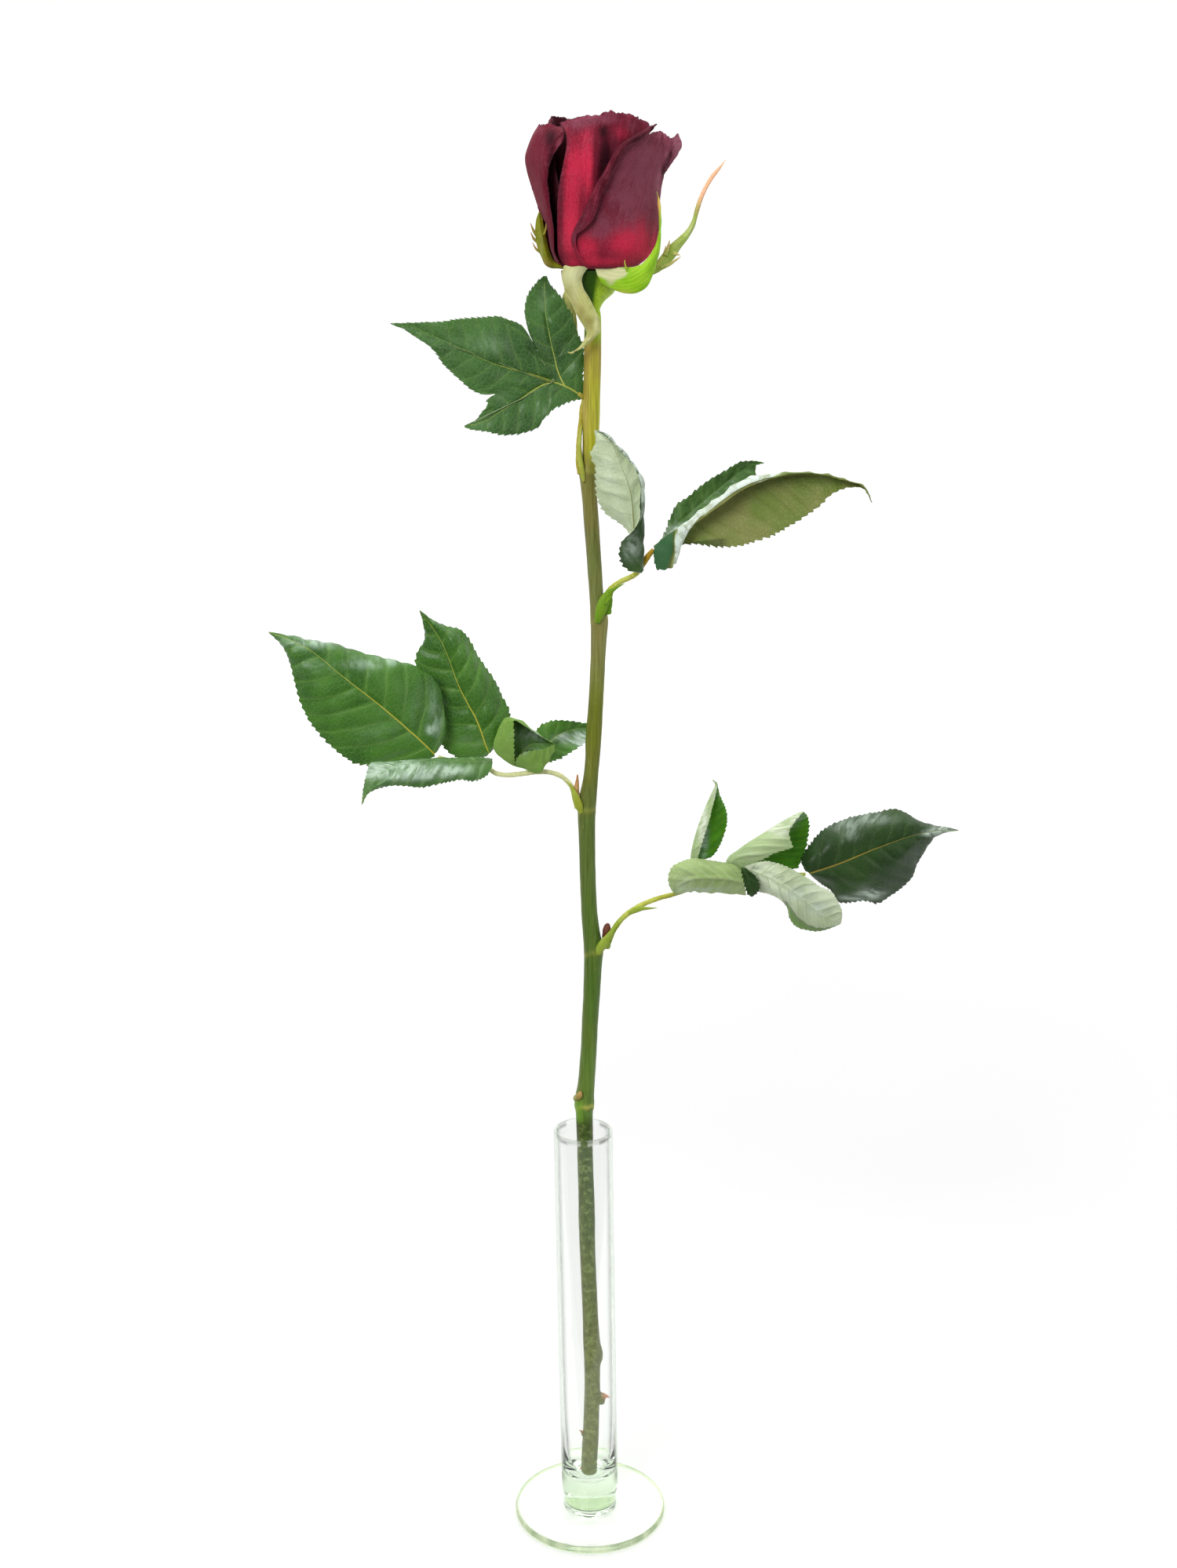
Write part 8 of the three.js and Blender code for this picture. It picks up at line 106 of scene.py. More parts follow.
# painted spots (x, z, rx, rz, amount) in mm on each surface, and bands (u0, u1, v0, v1, soft along, soft across,
# amount) in a sheet's rows and columns. The tone paints light and shade: lit ridges and glow bright, folds and gaps
# dark, and on leaves painted sheen above 0. It also carries some of the parts' own tone. The veil is the petals'
# painted velvet sheen.
PAINT = {
    "petal_centre": {"light_shade_tone": [(-7.9, 596.7, 4.5, 13.6, 0.75), (-7.6, 613.7, 3.8, 12.8, 0.62), (-5.5, 626.4, 4.8, 8.2, 0.72), (-0.7, 624.0, 2.2, 13.3, 0.75), (-2.3, 636.7, 3.8, 3.8, 0.20), (-8.2, 589.2, 3.9, 3.3, -0.25), (6.2, 625.0, 2.9, 12.7, -1.15), (3.4, 607.7, 2.2, 11.5, -0.35), (12.6, 637.8, 4.5, 3.2, 0.45), (-11.9, 609.9, 0.8, 19.3, -0.25), (15.4, 629.2, 3.2, 6.4, -0.40), (5.0, 638.8, 1.9, 2.5, -0.75), (-9.8, 638.4, 1.6, 3.2, 0.25), (-5.9, 587.6, 3.9, 2.0, 0.30)], "sheen_veil": [(-4.9, 640.6, 4.8, 2.9, 0.60), (3.8, 643.3, 7.6, 2.5, 0.60), (0.1, 635.1, 2.2, 2.8, 0.30), (17.6, 640.4, 3.2, 2.9, 0.35), (9.5, 633.1, 1.9, 4.4, 0.25)]},
    "petal_front": {"light_shade_tone": [(14.5, 594.9, 8.1, 8.4, 0.95), (21.3, 599.0, 4.2, 8.4, 0.50), (-1.1, 593.3, 5.2, 7.1, 0.75), (24.0, 590.6, 3.9, 3.3, 0.50), (27.0, 596.2, 1.7, 7.3, 0.35), (6.1, 587.8, 8.4, 1.6, 0.45), (1.9, 613.4, 1.3, 6.3, 0.75), (-0.8, 605.5, 1.3, 3.8, 0.60), (7.0, 623.7, 0.9, 5.0, 0.45), (23.2, 635.0, 7.7, 2.2, -0.45), (35.6, 633.4, 2.6, 5.2, 0.35), (30.1, 624.0, 1.0, 2.9, -1.30), (31.7, 628.0, 1.0, 2.6, -1.30), (33.3, 630.8, 1.0, 2.3, -1.20), (34.9, 633.6, 0.8, 1.9, -0.90), (34.3, 628.1, 1.0, 3.3, 0.50)], "sheen_veil": [(19.8, 626.9, 9.6, 12.7, 0.55), (12.1, 612.7, 9.6, 11.5, 0.45), (24.3, 610.1, 5.2, 12.9, 0.20), (4.3, 601.1, 6.4, 7.1, 0.35), (28.1, 619.6, 1.3, 9.1, 0.75), (35.8, 634.0, 2.6, 7.1, 1.45), (31.2, 629.8, 1.6, 7.1, 0.80), (17.5, 634.9, 5.0, 1.6, 0.30), (14.3, 594.2, 7.1, 4.8, -0.35), (23.7, 594.0, 3.9, 6.5, -0.30), (-1.9, 591.4, 6.5, 5.2, -0.60), (6.1, 587.8, 8.4, 1.9, -0.40), (28.3, 603.4, 2.3, 9.9, -0.35), (15.1, 619.4, 3.2, 4.5, -0.20), (7.3, 609.7, 2.9, 3.8, -0.20)], "plain": [(-5.7, 591.9, 2.9, 6.5, 1.30), (-2.5, 587.7, 3.9, 2.6, 1.20)], "net": [(0.2, 1.1, -1, 2.25, 0.1, 0.25, -0.5), (0.2, 1.1, 1.95, 2.5, 0.05, 0.18, -0.95)], "veilnet": [(0.16, 1.1, -1, 2.3, 0.1, 0.3, 0.22)]},
    "petal_left": {"light_shade_tone": [(-24.3, 626.0, 2.6, 9.2, -0.05), (-22.3, 614.0, 3.0, 9.9, 0.05), (-18.0, 602.7, 2.6, 8.5, 0.10), (-15.6, 636.9, 4.8, 3.8, -0.62), (-15.9, 627.3, 2.2, 9.6, -0.72), (-15.3, 615.2, 2.0, 12.0, -0.55), (-14.6, 597.9, 1.3, 11.3, -0.55), (-20.1, 621.1, 1.0, 13.3, -0.25)], "sheen_veil": [(-19.2, 630.6, 1.3, 8.9, 0.22), (-19.3, 616.7, 1.0, 10.0, -0.10), (-22.1, 621.8, 2.9, 12.9, -0.22), (-22.5, 640.5, 3.3, 2.0, 0.35), (-25.4, 632.8, 1.0, 4.5, 0.30), (-12.4, 633.7, 1.3, 4.4, 0.35)]},
    "petal_back_left": {"light_shade_tone": [(-9.4, 609.1, 4.7, 13.5, 0.55), (-17.4, 628.6, 3.4, 10.1, -0.50), (-2.6, 631.8, 3.4, 13.5, -0.35), (-5.5, 641.7, 6.7, 3.4, -0.40), (-14.0, 592.6, 5.4, 4.0, 0.30)], "sheen_veil": [(-17.6, 595.9, 3.3, 9.3, 1.70)]},
    "petal_back_right": {"light_shade_tone": [(16.2, 612.2, 5.4, 15.1, 0.50), (7.9, 625.6, 2.7, 13.5, -0.45), (24.3, 627.7, 2.7, 9.9, -0.35), (14.0, 639.4, 8.0, 3.3, -0.40), (12.8, 591.2, 6.7, 3.4, 0.35)], "sheen_veil": [(19.4, 631.7, 5.3, 6.7, 0.50), (9.5, 599.2, 5.4, 8.1, 0.30)]},
    "petal_inner_1": {"light_shade_tone": [(-8.0, 646.5, 4.6, 4.0, -0.50)], "sheen_veil": [(-8.5, 646.5, 4.0, 2.0, 0.60)]},
    "leaflet_c_terminal": {"light_shade_tone": [(-119.1, 430.5, 20.2, 2.7, 0.70), (-86.6, 420.6, 20.4, 2.4, 0.50), (-95.5, 419.7, 23.6, 4.7, 0.10), (-68.2, 400.0, 3.1, 11.7, 0.36), (-70.1, 390.2, 1.7, 2.1, 1.00), (-66.6, 389.8, 2.1, 8.3, 0.35), (-105.3, 406.8, 8.8, 4.0, -0.12), (-92.5, 390.9, 11.6, 6.8, 0.20), (-76.4, 400.0, 4.1, 10.2, 0.16), (-119.4, 420.4, 7.4, 4.7, 0.20), (-110.6, 401.4, 6.7, 3.4, 0.12)]},
    "leaflet_c_upper": {"light_shade_tone": [(-61.1, 410.0, 4.8, 3.4, 0.12), (-52.9, 382.5, 9.0, 4.9, 0.24), (-65.8, 428.2, 4.8, 4.1, 0.08), (-41.7, 404.4, 2.8, 10.4, -0.20), (-62.6, 386.3, 2.1, 8.7, -0.30), (-48.4, 399.4, 4.1, 8.3, 0.04), (-69.4, 396.1, 1.7, 10.4, 0.12)]},
    "leaflet_c_lower": {"light_shade_tone": [(-85.5, 375.5, 13.5, 3.4, 1.15), (-68.0, 373.9, 13.6, 2.7, 1.15), (-55.6, 372.8, 8.2, 2.1, 0.15), (-55.9, 376.4, 8.9, 1.4, -0.15), (-95.9, 374.0, 2.7, 4.1, 0.50), (-45.0, 376.3, 2.8, 2.1, 0.30)]},
    "leaflet_c_small_back": {"light_shade_tone": [(-10.7, 381.1, 7.1, 2.5, 0.85), (-3.6, 380.1, 5.0, 3.5, 0.90), (-14.1, 387.7, 6.3, 2.1, -0.10)]},
    "leaflet_c_small_front": {"light_shade_tone": [(-25.0, 386.1, 7.6, 3.5, 0.60), (-29.0, 379.7, 2.1, 2.1, 0.35), (-21.7, 382.3, 3.5, 1.7, 0.20)]},
    "leaflet_d_terminal": {"light_shade_tone": [(116.3, 337.7, 9.4, 2.5, 0.40), (129.7, 340.8, 10.1, 2.2, 0.48), (119.6, 333.9, 5.0, 2.9, 0.30), (119.2, 303.1, 8.0, 2.2, 0.48), (130.2, 304.3, 8.0, 3.6, 0.75), (124.1, 311.4, 5.8, 2.9, 0.12), (139.9, 320.7, 5.8, 4.3, 0.05), (151.0, 334.0, 5.8, 1.8, 0.15), (160.7, 333.8, 5.4, 1.8, 1.70), (111.1, 314.4, 9.4, 2.9, -0.50), (110.2, 327.4, 7.2, 2.9, -0.30), (102.6, 314.6, 2.9, 2.2, -0.40)]},
    "leaflet_d_rolled": {"light_shade_tone": [(42.4, 317.7, 5.0, 4.2, 0.40), (52.5, 313.3, 14.2, 1.8, 0.45), (50.4, 325.5, 14.1, 1.8, 0.05)]},
    "leaflet_d_upper": {"light_shade_tone": [(84.4, 339.5, 8.5, 3.2, 0.70), (92.7, 344.2, 5.0, 2.5, 0.80), (72.6, 328.5, 7.9, 2.9, 0.25)]},
    "leaflet_d_lower": {"light_shade_tone": [(79.3, 319.1, 7.8, 3.5, 0.05), (94.2, 311.7, 9.2, 4.3, 0.55), (104.2, 303.8, 7.1, 4.3, 0.55), (74.1, 323.1, 5.0, 1.8, -0.60), (82.8, 325.2, 5.0, 1.4, -0.35)], "net": [(0.42, 0.97, 3.4, 4.3, 0.05, 0.15, -1.7)]},
    "leaflet_d_upright": {"light_shade_tone": [(51.3, 341.1, 2.5, 16.0, 0.80), (56.1, 358.1, 1.8, 5.3, 0.50)]},
    "leaflet_b_upright": {"light_shade_tone": [(17.9, 469.1, 4.7, 8.0, 0.55), (18.3, 461.6, 4.7, 2.7, -0.20), (7.4, 502.1, 2.7, 10.0, 0.15), (12.7, 481.9, 4.7, 6.7, 0.15)], "net": [(0.37, 1.1, 2.9, 4.5, 0.03, 0.12, 1)]},
    "leaflet_b_lateral": {"light_shade_tone": [(38.7, 475.9, 5.4, 2.7, 0.80), (33.7, 473.1, 3.4, 2.7, 0.70), (48.6, 486.0, 6.8, 4.7, -0.15), (66.5, 502.1, 4.7, 2.7, 0.08), (60.0, 497.0, 6.1, 2.0, 0.10)]},
    "leaflet_b_terminal": {"light_shade_tone": [(30.3, 464.3, 2.4, 4.0, -0.30), (36.7, 472.6, 0.9, 3.0, 3.00), (85.2, 501.0, 9.9, 1.0, -0.40), (77.3, 480.3, 6.6, 2.7, 0.06), (94.6, 490.1, 4.6, 2.6, 0.05)], "net": [(0.12, 0.6, -1, 2.35, 0.03, 0.3, 1.45), (0.27, 0.58, -1, 0.42, 0.05, 0.12, 0), (0.24, 0.66, 0.38, 0.56, 0.05, 0.08, -0.9), (-1, 0.12, -1, 2.2, 0.025, 0.3, -2), (0.04, 0.3, 4.55, 6, 0.03, 0.1, -0.9), (0.62, 1.1, -1, 2.6, 0.05, 0.3, -0.35)]},
    "leaf_a_blade": {"light_shade_tone": [(-42.9, 553.6, 8.6, 5.0, 0.42), (-20.1, 572.6, 3.0, 7.3, 0.40), (-19.3, 525.9, 4.0, 3.4, 0.35), (-64.3, 555.3, 11.2, 3.0, 0.25), (-7.9, 543.9, 2.7, 4.0, 0.35), (-37.8, 532.9, 4.7, 2.7, 0.25), (-48.2, 520.6, 4.7, 2.0, 0.30), (-25.4, 553.4, 2.7, 5.3, -0.60), (-13.3, 550.6, 2.7, 6.0, -0.50), (-56.4, 543.7, 7.3, 2.6, -0.25), (-36.9, 526.7, 4.0, 2.3, -0.35), (-13.7, 567.2, 2.0, 6.7, -0.25), (-3.5, 534.8, 2.7, 5.4, -0.30), (-76.7, 560.2, 5.2, 1.6, 0.20)]},
    "sepal_right_front": {"pale": [(3.6, 584.0, 3.9, 2.0, 0.90), (8.4, 582.6, 3.9, 2.6, 0.90), (12.8, 583.5, 3.3, 2.3, 0.80), (8.5, 578.9, 2.6, 1.6, 0.40)], "tip": [(28.1, 610.5, 1.0, 5.2, 0.75), (12.5, 575.5, 5.2, 1.0, 0.30)], "lift": [(3.3, 584.6, 2.6, 1.3, 0.90), (8.3, 584.7, 3.9, 1.3, 0.80), (14.6, 584.9, 3.3, 1.3, 0.70), (19.3, 585.4, 2.0, 1.3, 0.40)]},
    "sepal_right": {"pale": [(41.9, 601.9, 2.0, 4.0, 0.35), (36.4, 595.0, 1.3, 3.3, 0.20)]},
    "sepal_left": {"tip": [(-19.2, 586.9, 2.6, 2.0, 0.25)], "pale": [(-20.3, 592.2, 0.7, 6.6, 0.15)]},
    "sepal_front": {"pale": [(-8.3, 582.1, 5.2, 4.2, 0.95), (-2.4, 584.2, 3.9, 2.0, 0.85), (-6.4, 574.6, 1.6, 4.6, 0.45), (2.5, 564.2, 1.0, 5.9, 0.60), (-1.5, 556.5, 2.6, 1.0, 0.40)], "tip": [(-7.9, 575.8, 1.3, 3.9, 0.30), (-6.4, 571.8, 1.5, 3.6, 0.65), (-3.7, 567.7, 1.5, 3.3, 0.65), (-1.1, 563.9, 1.5, 3.3, 0.60), (0.6, 560.6, 1.3, 2.6, 0.40), (-1.4, 557.0, 2.6, 1.6, 0.40)], "lift": [(-10.6, 585.2, 2.3, 1.3, 0.90), (-4.6, 585.1, 2.9, 1.3, 0.80), (0.8, 585.2, 2.0, 1.3, 0.80)]},
    "sepal_back": {"pale": [(-9.4, 582.7, 2.7, 2.7, 0.30)], "tip": [(-8.2, 566.7, 2.7, 5.4, 0.30)]},
}
SLIVERS = {
    "sepal_right": [[31.65,16.11,590.48,1.3,32.62,16.15,593.35,0.8,33.45,17.21,596.88,0.12], [34.58,15.13,591.73,1.1,36.19,14.12,591.07,0.6,37.84,14.12,590.76,0.12], [29.68,15.04,585.35,0.9,33.26,14.06,586.93,0.7,36.17,13.09,588.83,0.4,38.13,13.11,590.1,0.1], [31.03,17.1,589.86,0.9,31.51,17.14,592.41,0.5,31.86,18.17,594.67,0.1]],
    "sepal_left": [[-22.43,11.23,598.61,0.8,-23.89,11.27,600.82,0.5,-25.02,11.31,603.66,0.1], [-22.11,11.2,596.08,0.8,-23.75,11.21,597.35,0.5,-24.88,11.25,599.87,0.12], [-20.5,11.13,591.65,0.7,-22.79,11.15,593.23,0.45,-24.25,11.19,595.77,0.1], [-19.43,9.23,598.55,0.6,-18.6,9.27,601.07,0.4,-18.42,9.31,603.59,0.1]],
    "sepal_right_front": [[15.52,1.51,583.59,0.5,14.67,0.04,585.77,0.35,14.16,-0.43,587.96,0.25,14.49,0.09,589.22,0.1]],
    "sepal_front": [[-7.04,4.47,551.07,0.5,-8.37,4.96,550.73,0.35,-9.69,4.97,551.21,0.12]],
    "sepal_back": [[-10.15,22.88,575.75,0.9,-11.16,22.84,573.15,0.9,-10.5,22.79,570.54,0.5,-9.5,22.75,567.94,0.15], [-7.82,22.77,569.24,0.8,-6.81,22.74,567.29,0.7,-6.15,22.68,564.02,0.15]],
    "petiole_b": [[3,7.95,435.43,1.1,4.02,7.21,439.01,2.1,5.38,6.88,443.21,2.5,6.74,6.94,446.64,2.1,8.44,6.98,449.04,1.3,11.5,6.41,451.18,0.6,14.89,5.64,453,0.12], [6.4,5.69,444.08,0.8,8.09,5.33,446.2,0.6,9.79,5.16,447.94,0.1]],
    "petiole_d": [[3.16,5.72,283.15,1,4.58,4.99,286.41,2,6.36,4.66,289.16,2.2,8.13,4.52,291.83,1.6,10.25,4.4,295.24,0.9,12.73,4.47,298.2,0.12], [17.68,4.39,303.45,1,20.49,3.62,305,1.3,23.3,3.24,305.86,1,26.84,3.25,306.05,0.55,30.39,3.45,306.17,0.1]],
    "petiole_c": [[-3.93,7.52,349.25,0.9,-4.98,6.78,352.72,1.8,-6.2,6.64,356.38,1.7,-7.42,6.89,359.57,1.1,-8.82,6.94,362.45,0.5,-10.91,6.97,364.24,0.1]],
    "petiole_a": [[-2.8,9.76,496.53,0.6,-3.47,9.44,500.9,1.2,-4.31,9.92,505.87,1.2,-4.64,10.61,511.47,0.9,-4.13,11.31,517.4,0.5,-3.46,11.78,521.34,0.1]],
}

# ---------------------------------------------------------------- curves and nets


def crom(P, t):
    """Catmull-Rom through P (n, ...) at parameters t in [0, n-1]."""
    P = np.asarray(P, float)
    n = len(P)
    t = np.asarray(t, float)
    i = np.clip(np.floor(t).astype(int), 0, n - 2)
    f = (t - i).reshape((-1,) + (1,) * (P.ndim - 1))
    first = (i == 0).reshape(f.shape)
    last = (i == n - 2).reshape(f.shape)
    p0 = np.where(first, 2 * P[0] - P[1], P[np.maximum(i - 1, 0)])
    p1, p2 = P[i], P[i + 1]
    p3 = np.where(last, 2 * P[-1] - P[-2], P[np.minimum(i + 2, n - 1)])
    return p1 + 0.5 * f * ((p2 - p0) + f * ((2 * p0 - 5 * p1 + 4 * p2 - p3) + f * (3 * (p1 - p2) + p3 - p0)))


def surface(N, tu, tv):
    """Net (rows, cols, 3) at tu in [0,1] x tv in [0, cols-1]."""
    A = crom(N, np.asarray(tu) * (len(N) - 1))
    return crom(A.transpose(1, 0, 2), tv).transpose(1, 0, 2)


def arcs(P, axis):
    d = np.linalg.norm(np.diff(P, axis=axis), axis=-1)
    z = np.zeros_like(np.take(d, [0], axis=axis))
    return np.concatenate([z, np.cumsum(d, axis=axis)], axis=axis)


def unit(v):
    return v / np.maximum(np.linalg.norm(v, axis=-1, keepdims=True), 1e-9)


def normals(P):
    du = np.gradient(P, axis=0)
    dv = np.gradient(P, axis=1)
    n = np.cross(dv, du)
    n[0], n[-1] = n[1], n[-2]
    return unit(n)


def waves(p, seed, scale, octaves=3):
    """Smooth pseudo-noise in 3-D, about -1..1, the same on every run."""
    r = np.random.RandomState(seed)
    out = np.zeros(p.shape[:-1])
    for o in range(octaves):
        for _ in range(5):
            k = r.normal(size=3)
            k /= np.linalg.norm(k)
            out += np.sin((p @ k) * (2 * math.pi / scale) * (1.9 ** o) * r.uniform(0.7, 1.3) + r.uniform(0, 6.28)) * 0.6 ** o / 3.2
    return out


# ---------------------------------------------------------------- mesh making


def make(name, V, faces, mats, face_mat=None, uvs=None, attrs=None, face_uv=None, smooth=True):
    """V in mm; faces a list of integer arrays (m, k)."""
    V = np.asarray(V, float)
    me = bpy.data.meshes.new(name)
    me.vertices.add(len(V))
    me.vertices.foreach_set("co", (V * MM).astype(np.float32).ravel())
    sizes = np.concatenate([np.full(len(f), f.shape[1], np.int32) for f in faces])
    loops = np.concatenate([f.astype(np.int32).ravel() for f in faces])
    starts = np.concatenate([[0], np.cumsum(sizes)[:-1]]).astype(np.int32)
    me.loops.add(len(loops))
    me.loops.foreach_set("vertex_index", loops)
    me.polygons.add(len(sizes))
    me.polygons.foreach_set("loop_start", starts)
    if smooth:
        me.polygons.foreach_set("use_smooth", np.ones(len(sizes), bool))
    for m in mats:
        me.materials.append(m)
    if face_mat is not None:
        me.polygons.foreach_set("material_index", np.asarray(face_mat, np.int32))
    for key, val in (uvs or {}).items():
        layer = me.uv_layers.new(name=key)
        layer.data.foreach_set("uv", np.asarray(val, np.float32)[loops].ravel())
    for key, val in (face_uv or {}).items():
        layer = me.uv_layers.new(name=key)
        layer.data.foreach_set("uv", np.asarray(val, np.float32).ravel())
    for key, val in (attrs or {}).items():
        a = me.attributes.new(key, "FLOAT", "POINT")
        a.data.foreach_set("value", np.asarray(val, np.float32))
    me.update(calc_edges=True)
    o = bpy.data.objects.new(name, me)
    scene.collection.objects.link(o)
    return o


def volume(V, faces):
    v = 0.0
    for f in faces:
        for k in range(1, f.shape[1] - 1):
            v += np.einsum("ij,ij->", V[f[:, 0]], np.cross(V[f[:, k]], V[f[:, k + 1]]))
    return v


def outward(V, faces):
    return [f[:, ::-1] for f in faces] if volume(V, faces) < 0 else faces


def shell_faces(nu, nv):
    """Faces of a closed thin sheet: grid of (nu+1)*(nv+1) above, then the same below."""
    W = nv + 1
    i, j = np.meshgrid(np.arange(nu), np.arange(nv), indexing="ij")
    a = (i * W + j).ravel()
    top = np.stack([a, a + 1, a + W + 1, a + W], 1)
    off = (nu + 1) * W
    bot = np.stack([a, a + W, a + W + 1, a + 1], 1) + off
    ii, jj = np.arange(nu), np.arange(nv)
    rims = []
    for idx, rev in ((ii * W, 0), (ii * W + nv, 1)):
        q = np.stack([idx, idx + W, idx + W + off, idx + off], 1)
        rims.append(q[:, ::-1] if rev else q)
    for idx, rev in ((jj, 1), (nu * W + jj, 0)):
        q = np.stack([idx, idx + 1, idx + 1 + off, idx + off], 1)
        rims.append(q[:, ::-1] if rev else q)
    return top, bot, np.concatenate(rims)


def rod(path, radii, sides, turn=0.0, squash=None, closed_cap=True):
    """Round rod; returns V, faces, uv (angle mm, length mm)."""
    P = np.asarray(path, float)
    T = unit(np.gradient(P, axis=0))
    side = np.array([0.0, 1.0, 0.01])
    S = []
    for t in T:
        side = side - t * (t @ side)
        side = side / np.linalg.norm(side)
        S.append(side.copy())
    S = np.array(S)
    O = np.cross(T, S)
    a = 2 * math.pi * np.arange(sides) / sides + turn
    R = np.asarray(radii, float)
    if R.ndim == 1:
        R = np.repeat(R[:, None], sides, 1)
    V = P[:, None] + S[:, None] * (R * np.cos(a))[..., None] + O[:, None] * (R * np.sin(a))[..., None]
    n = len(P)
    i, j = np.meshgrid(np.arange(n - 1), np.arange(sides), indexing="ij")
    A = i * sides + j
    B = i * sides + (j + 1) % sides
    quads = np.stack([A, B, B + sides, A + sides], -1).reshape(-1, 4)
    caps = np.stack([np.arange(sides)[::-1], (n - 1) * sides + np.arange(sides)])
    s = np.concatenate([[0], np.cumsum(np.linalg.norm(np.diff(P, axis=0), axis=1))])
    uv = np.stack(np.broadcast_arrays(a[None] * R.mean(1)[:, None], s[:, None]), -1).reshape(-1, 2)
    V = V.reshape(-1, 3)
    return V, outward(V, [quads, caps]), uv


def join(parts):
    """Join several (V, faces) sets into one."""
    V, F, off = [], [], 0
    for v, f in parts:
        V.append(v)
        F += [q + off for q in f]
        off += len(v)
    V = np.concatenate(V)
    by = {}
    for f in F:
        by.setdefault(f.shape[1], []).append(f)
    return V, [np.concatenate(x) for x in by.values()]


def smoothstep(a, b, x):
    t = np.clip((x - a) / (b - a), 0, 1)
    return t * t * (3 - 2 * t)


# ---------------------------------------------------------------- shader helper


class Tree:
    def __init__(self, name):
        self.mat = bpy.data.materials.new(name)
        self.mat.use_nodes = True
        self.t = self.mat.node_tree
        self.t.nodes.clear()
        self.out = self.t.nodes.new("ShaderNodeOutputMaterial")

    def n(self, kind, **kw):
        node = self.t.nodes.new(kind)
        for k, v in kw.items():
            setattr(node, k, v)
        return node

    def put(self, socket, value):
        if isinstance(value, bpy.types.NodeSocket):
            self.t.links.new(value, socket)
        elif value is not None:
            if hasattr(socket.default_value, "__len__") and not hasattr(value, "__len__"):
                value = (value,) * len(socket.default_value)
            if hasattr(value, "__len__") and len(value) == 3 and len(socket.default_value) == 4:
                value = (*value, 1.0)
            socket.default_value = value

    def math(self, op, a, b=None, c=None, clamp=False):
        m = self.n("ShaderNodeMath", operation=op, use_clamp=clamp)
        for i, v in enumerate((a, b, c)):
            if v is not None:
                self.put(m.inputs[i], v)
        return m.outputs[0]

    def mix(self, fac, a, b, blend="MIX"):
        m = self.n("ShaderNodeMix", data_type="RGBA", blend_type=blend)
        m.clamp_factor = True
        self.put(m.inputs[0], fac)
        self.put(m.inputs[6], a)
        self.put(m.inputs[7], b)
        return m.outputs[2]

    def lerp(self, fac, a, b):
        m = self.n("ShaderNodeMix", data_type="FLOAT")
        self.put(m.inputs[0], fac)
        self.put(m.inputs[2], a)
        self.put(m.inputs[3], b)
        return m.outputs[0]

    def attr(self, name):
        return self.n("ShaderNodeAttribute", attribute_name=name).outputs["Fac"]

    def uv(self, name):
        return self.n("ShaderNodeUVMap", uv_map=name).outputs[0]

    def coords(self):
        return self.n("ShaderNodeTexCoord").outputs["Object"]

    def split(self, vec):
        s = self.n("ShaderNodeSeparateXYZ")
        self.put(s.inputs[0], vec)
        return s.outputs

    def join(self, x, y, z=0.0):
        s = self.n("ShaderNodeCombineXYZ")
        for i, v in enumerate((x, y, z)):
            self.put(s.inputs[i], v)
        return s.outputs[0]

    def scale(self, vec, by):
        m = self.n("ShaderNodeVectorMath", operation="MULTIPLY")
        self.put(m.inputs[0], vec)
        self.put(m.inputs[1], by)
        return m.outputs[0]

    def noise(self, vec, scale, detail=3.0, rough=0.5, distort=0.0):
        m = self.n("ShaderNodeTexNoise")
        self.put(m.inputs["Vector"], vec)
        m.inputs["Scale"].default_value = scale
        m.inputs["Detail"].default_value = detail
        m.inputs["Roughness"].default_value = rough
        m.inputs["Distortion"].default_value = distort
        return m.outputs["Fac"]

    def edges(self, vec, scale, dims="3D", rand=1.0):
        m = self.n("ShaderNodeTexVoronoi", voronoi_dimensions=dims, feature="DISTANCE_TO_EDGE")
        self.put(m.inputs["Vector"], vec)
        m.inputs["Scale"].default_value = scale
        m.inputs["Randomness"].default_value = rand
        return m.outputs["Distance"]

    def step(self, x, lo, hi, a=0.0, b=1.0):
        m = self.n("ShaderNodeMapRange", interpolation_type="SMOOTHSTEP")
        m.clamp = True
        self.put(m.inputs["Value"], x)
        self.put(m.inputs["From Min"], lo)
        self.put(m.inputs["From Max"], hi)
        self.put(m.inputs["To Min"], a)
        self.put(m.inputs["To Max"], b)
        return m.outputs[0]

    def bump(self, height, strength=0.3, distance=0.0005, normal=None):
        b = self.n("ShaderNodeBump")
        b.inputs["Strength"].default_value = strength
        b.inputs["Distance"].default_value = distance
        self.put(b.inputs["Height"], height)
        if normal is not None:
            self.put(b.inputs["Normal"], normal)
        return b.outputs[0]

    def surface(self, color, rough, normal=None, **const):
        p = self.n("ShaderNodeBsdfPrincipled")
        self.put(p.inputs["Base Color"], color)
        self.put(p.inputs["Roughness"], rough)
        if normal is not None:
            self.put(p.inputs["Normal"], normal)
        for k, v in const.items():
            self.put(p.inputs[k.replace("_", " ")], v)
        self.t.links.new(p.outputs[0], self.out.inputs["Surface"])
        return p


# ---------------------------------------------------------------- leaf materials
VEIN_A, VEIN_B = 0.62, 0.010  # how the side veins run forwards from the midrib


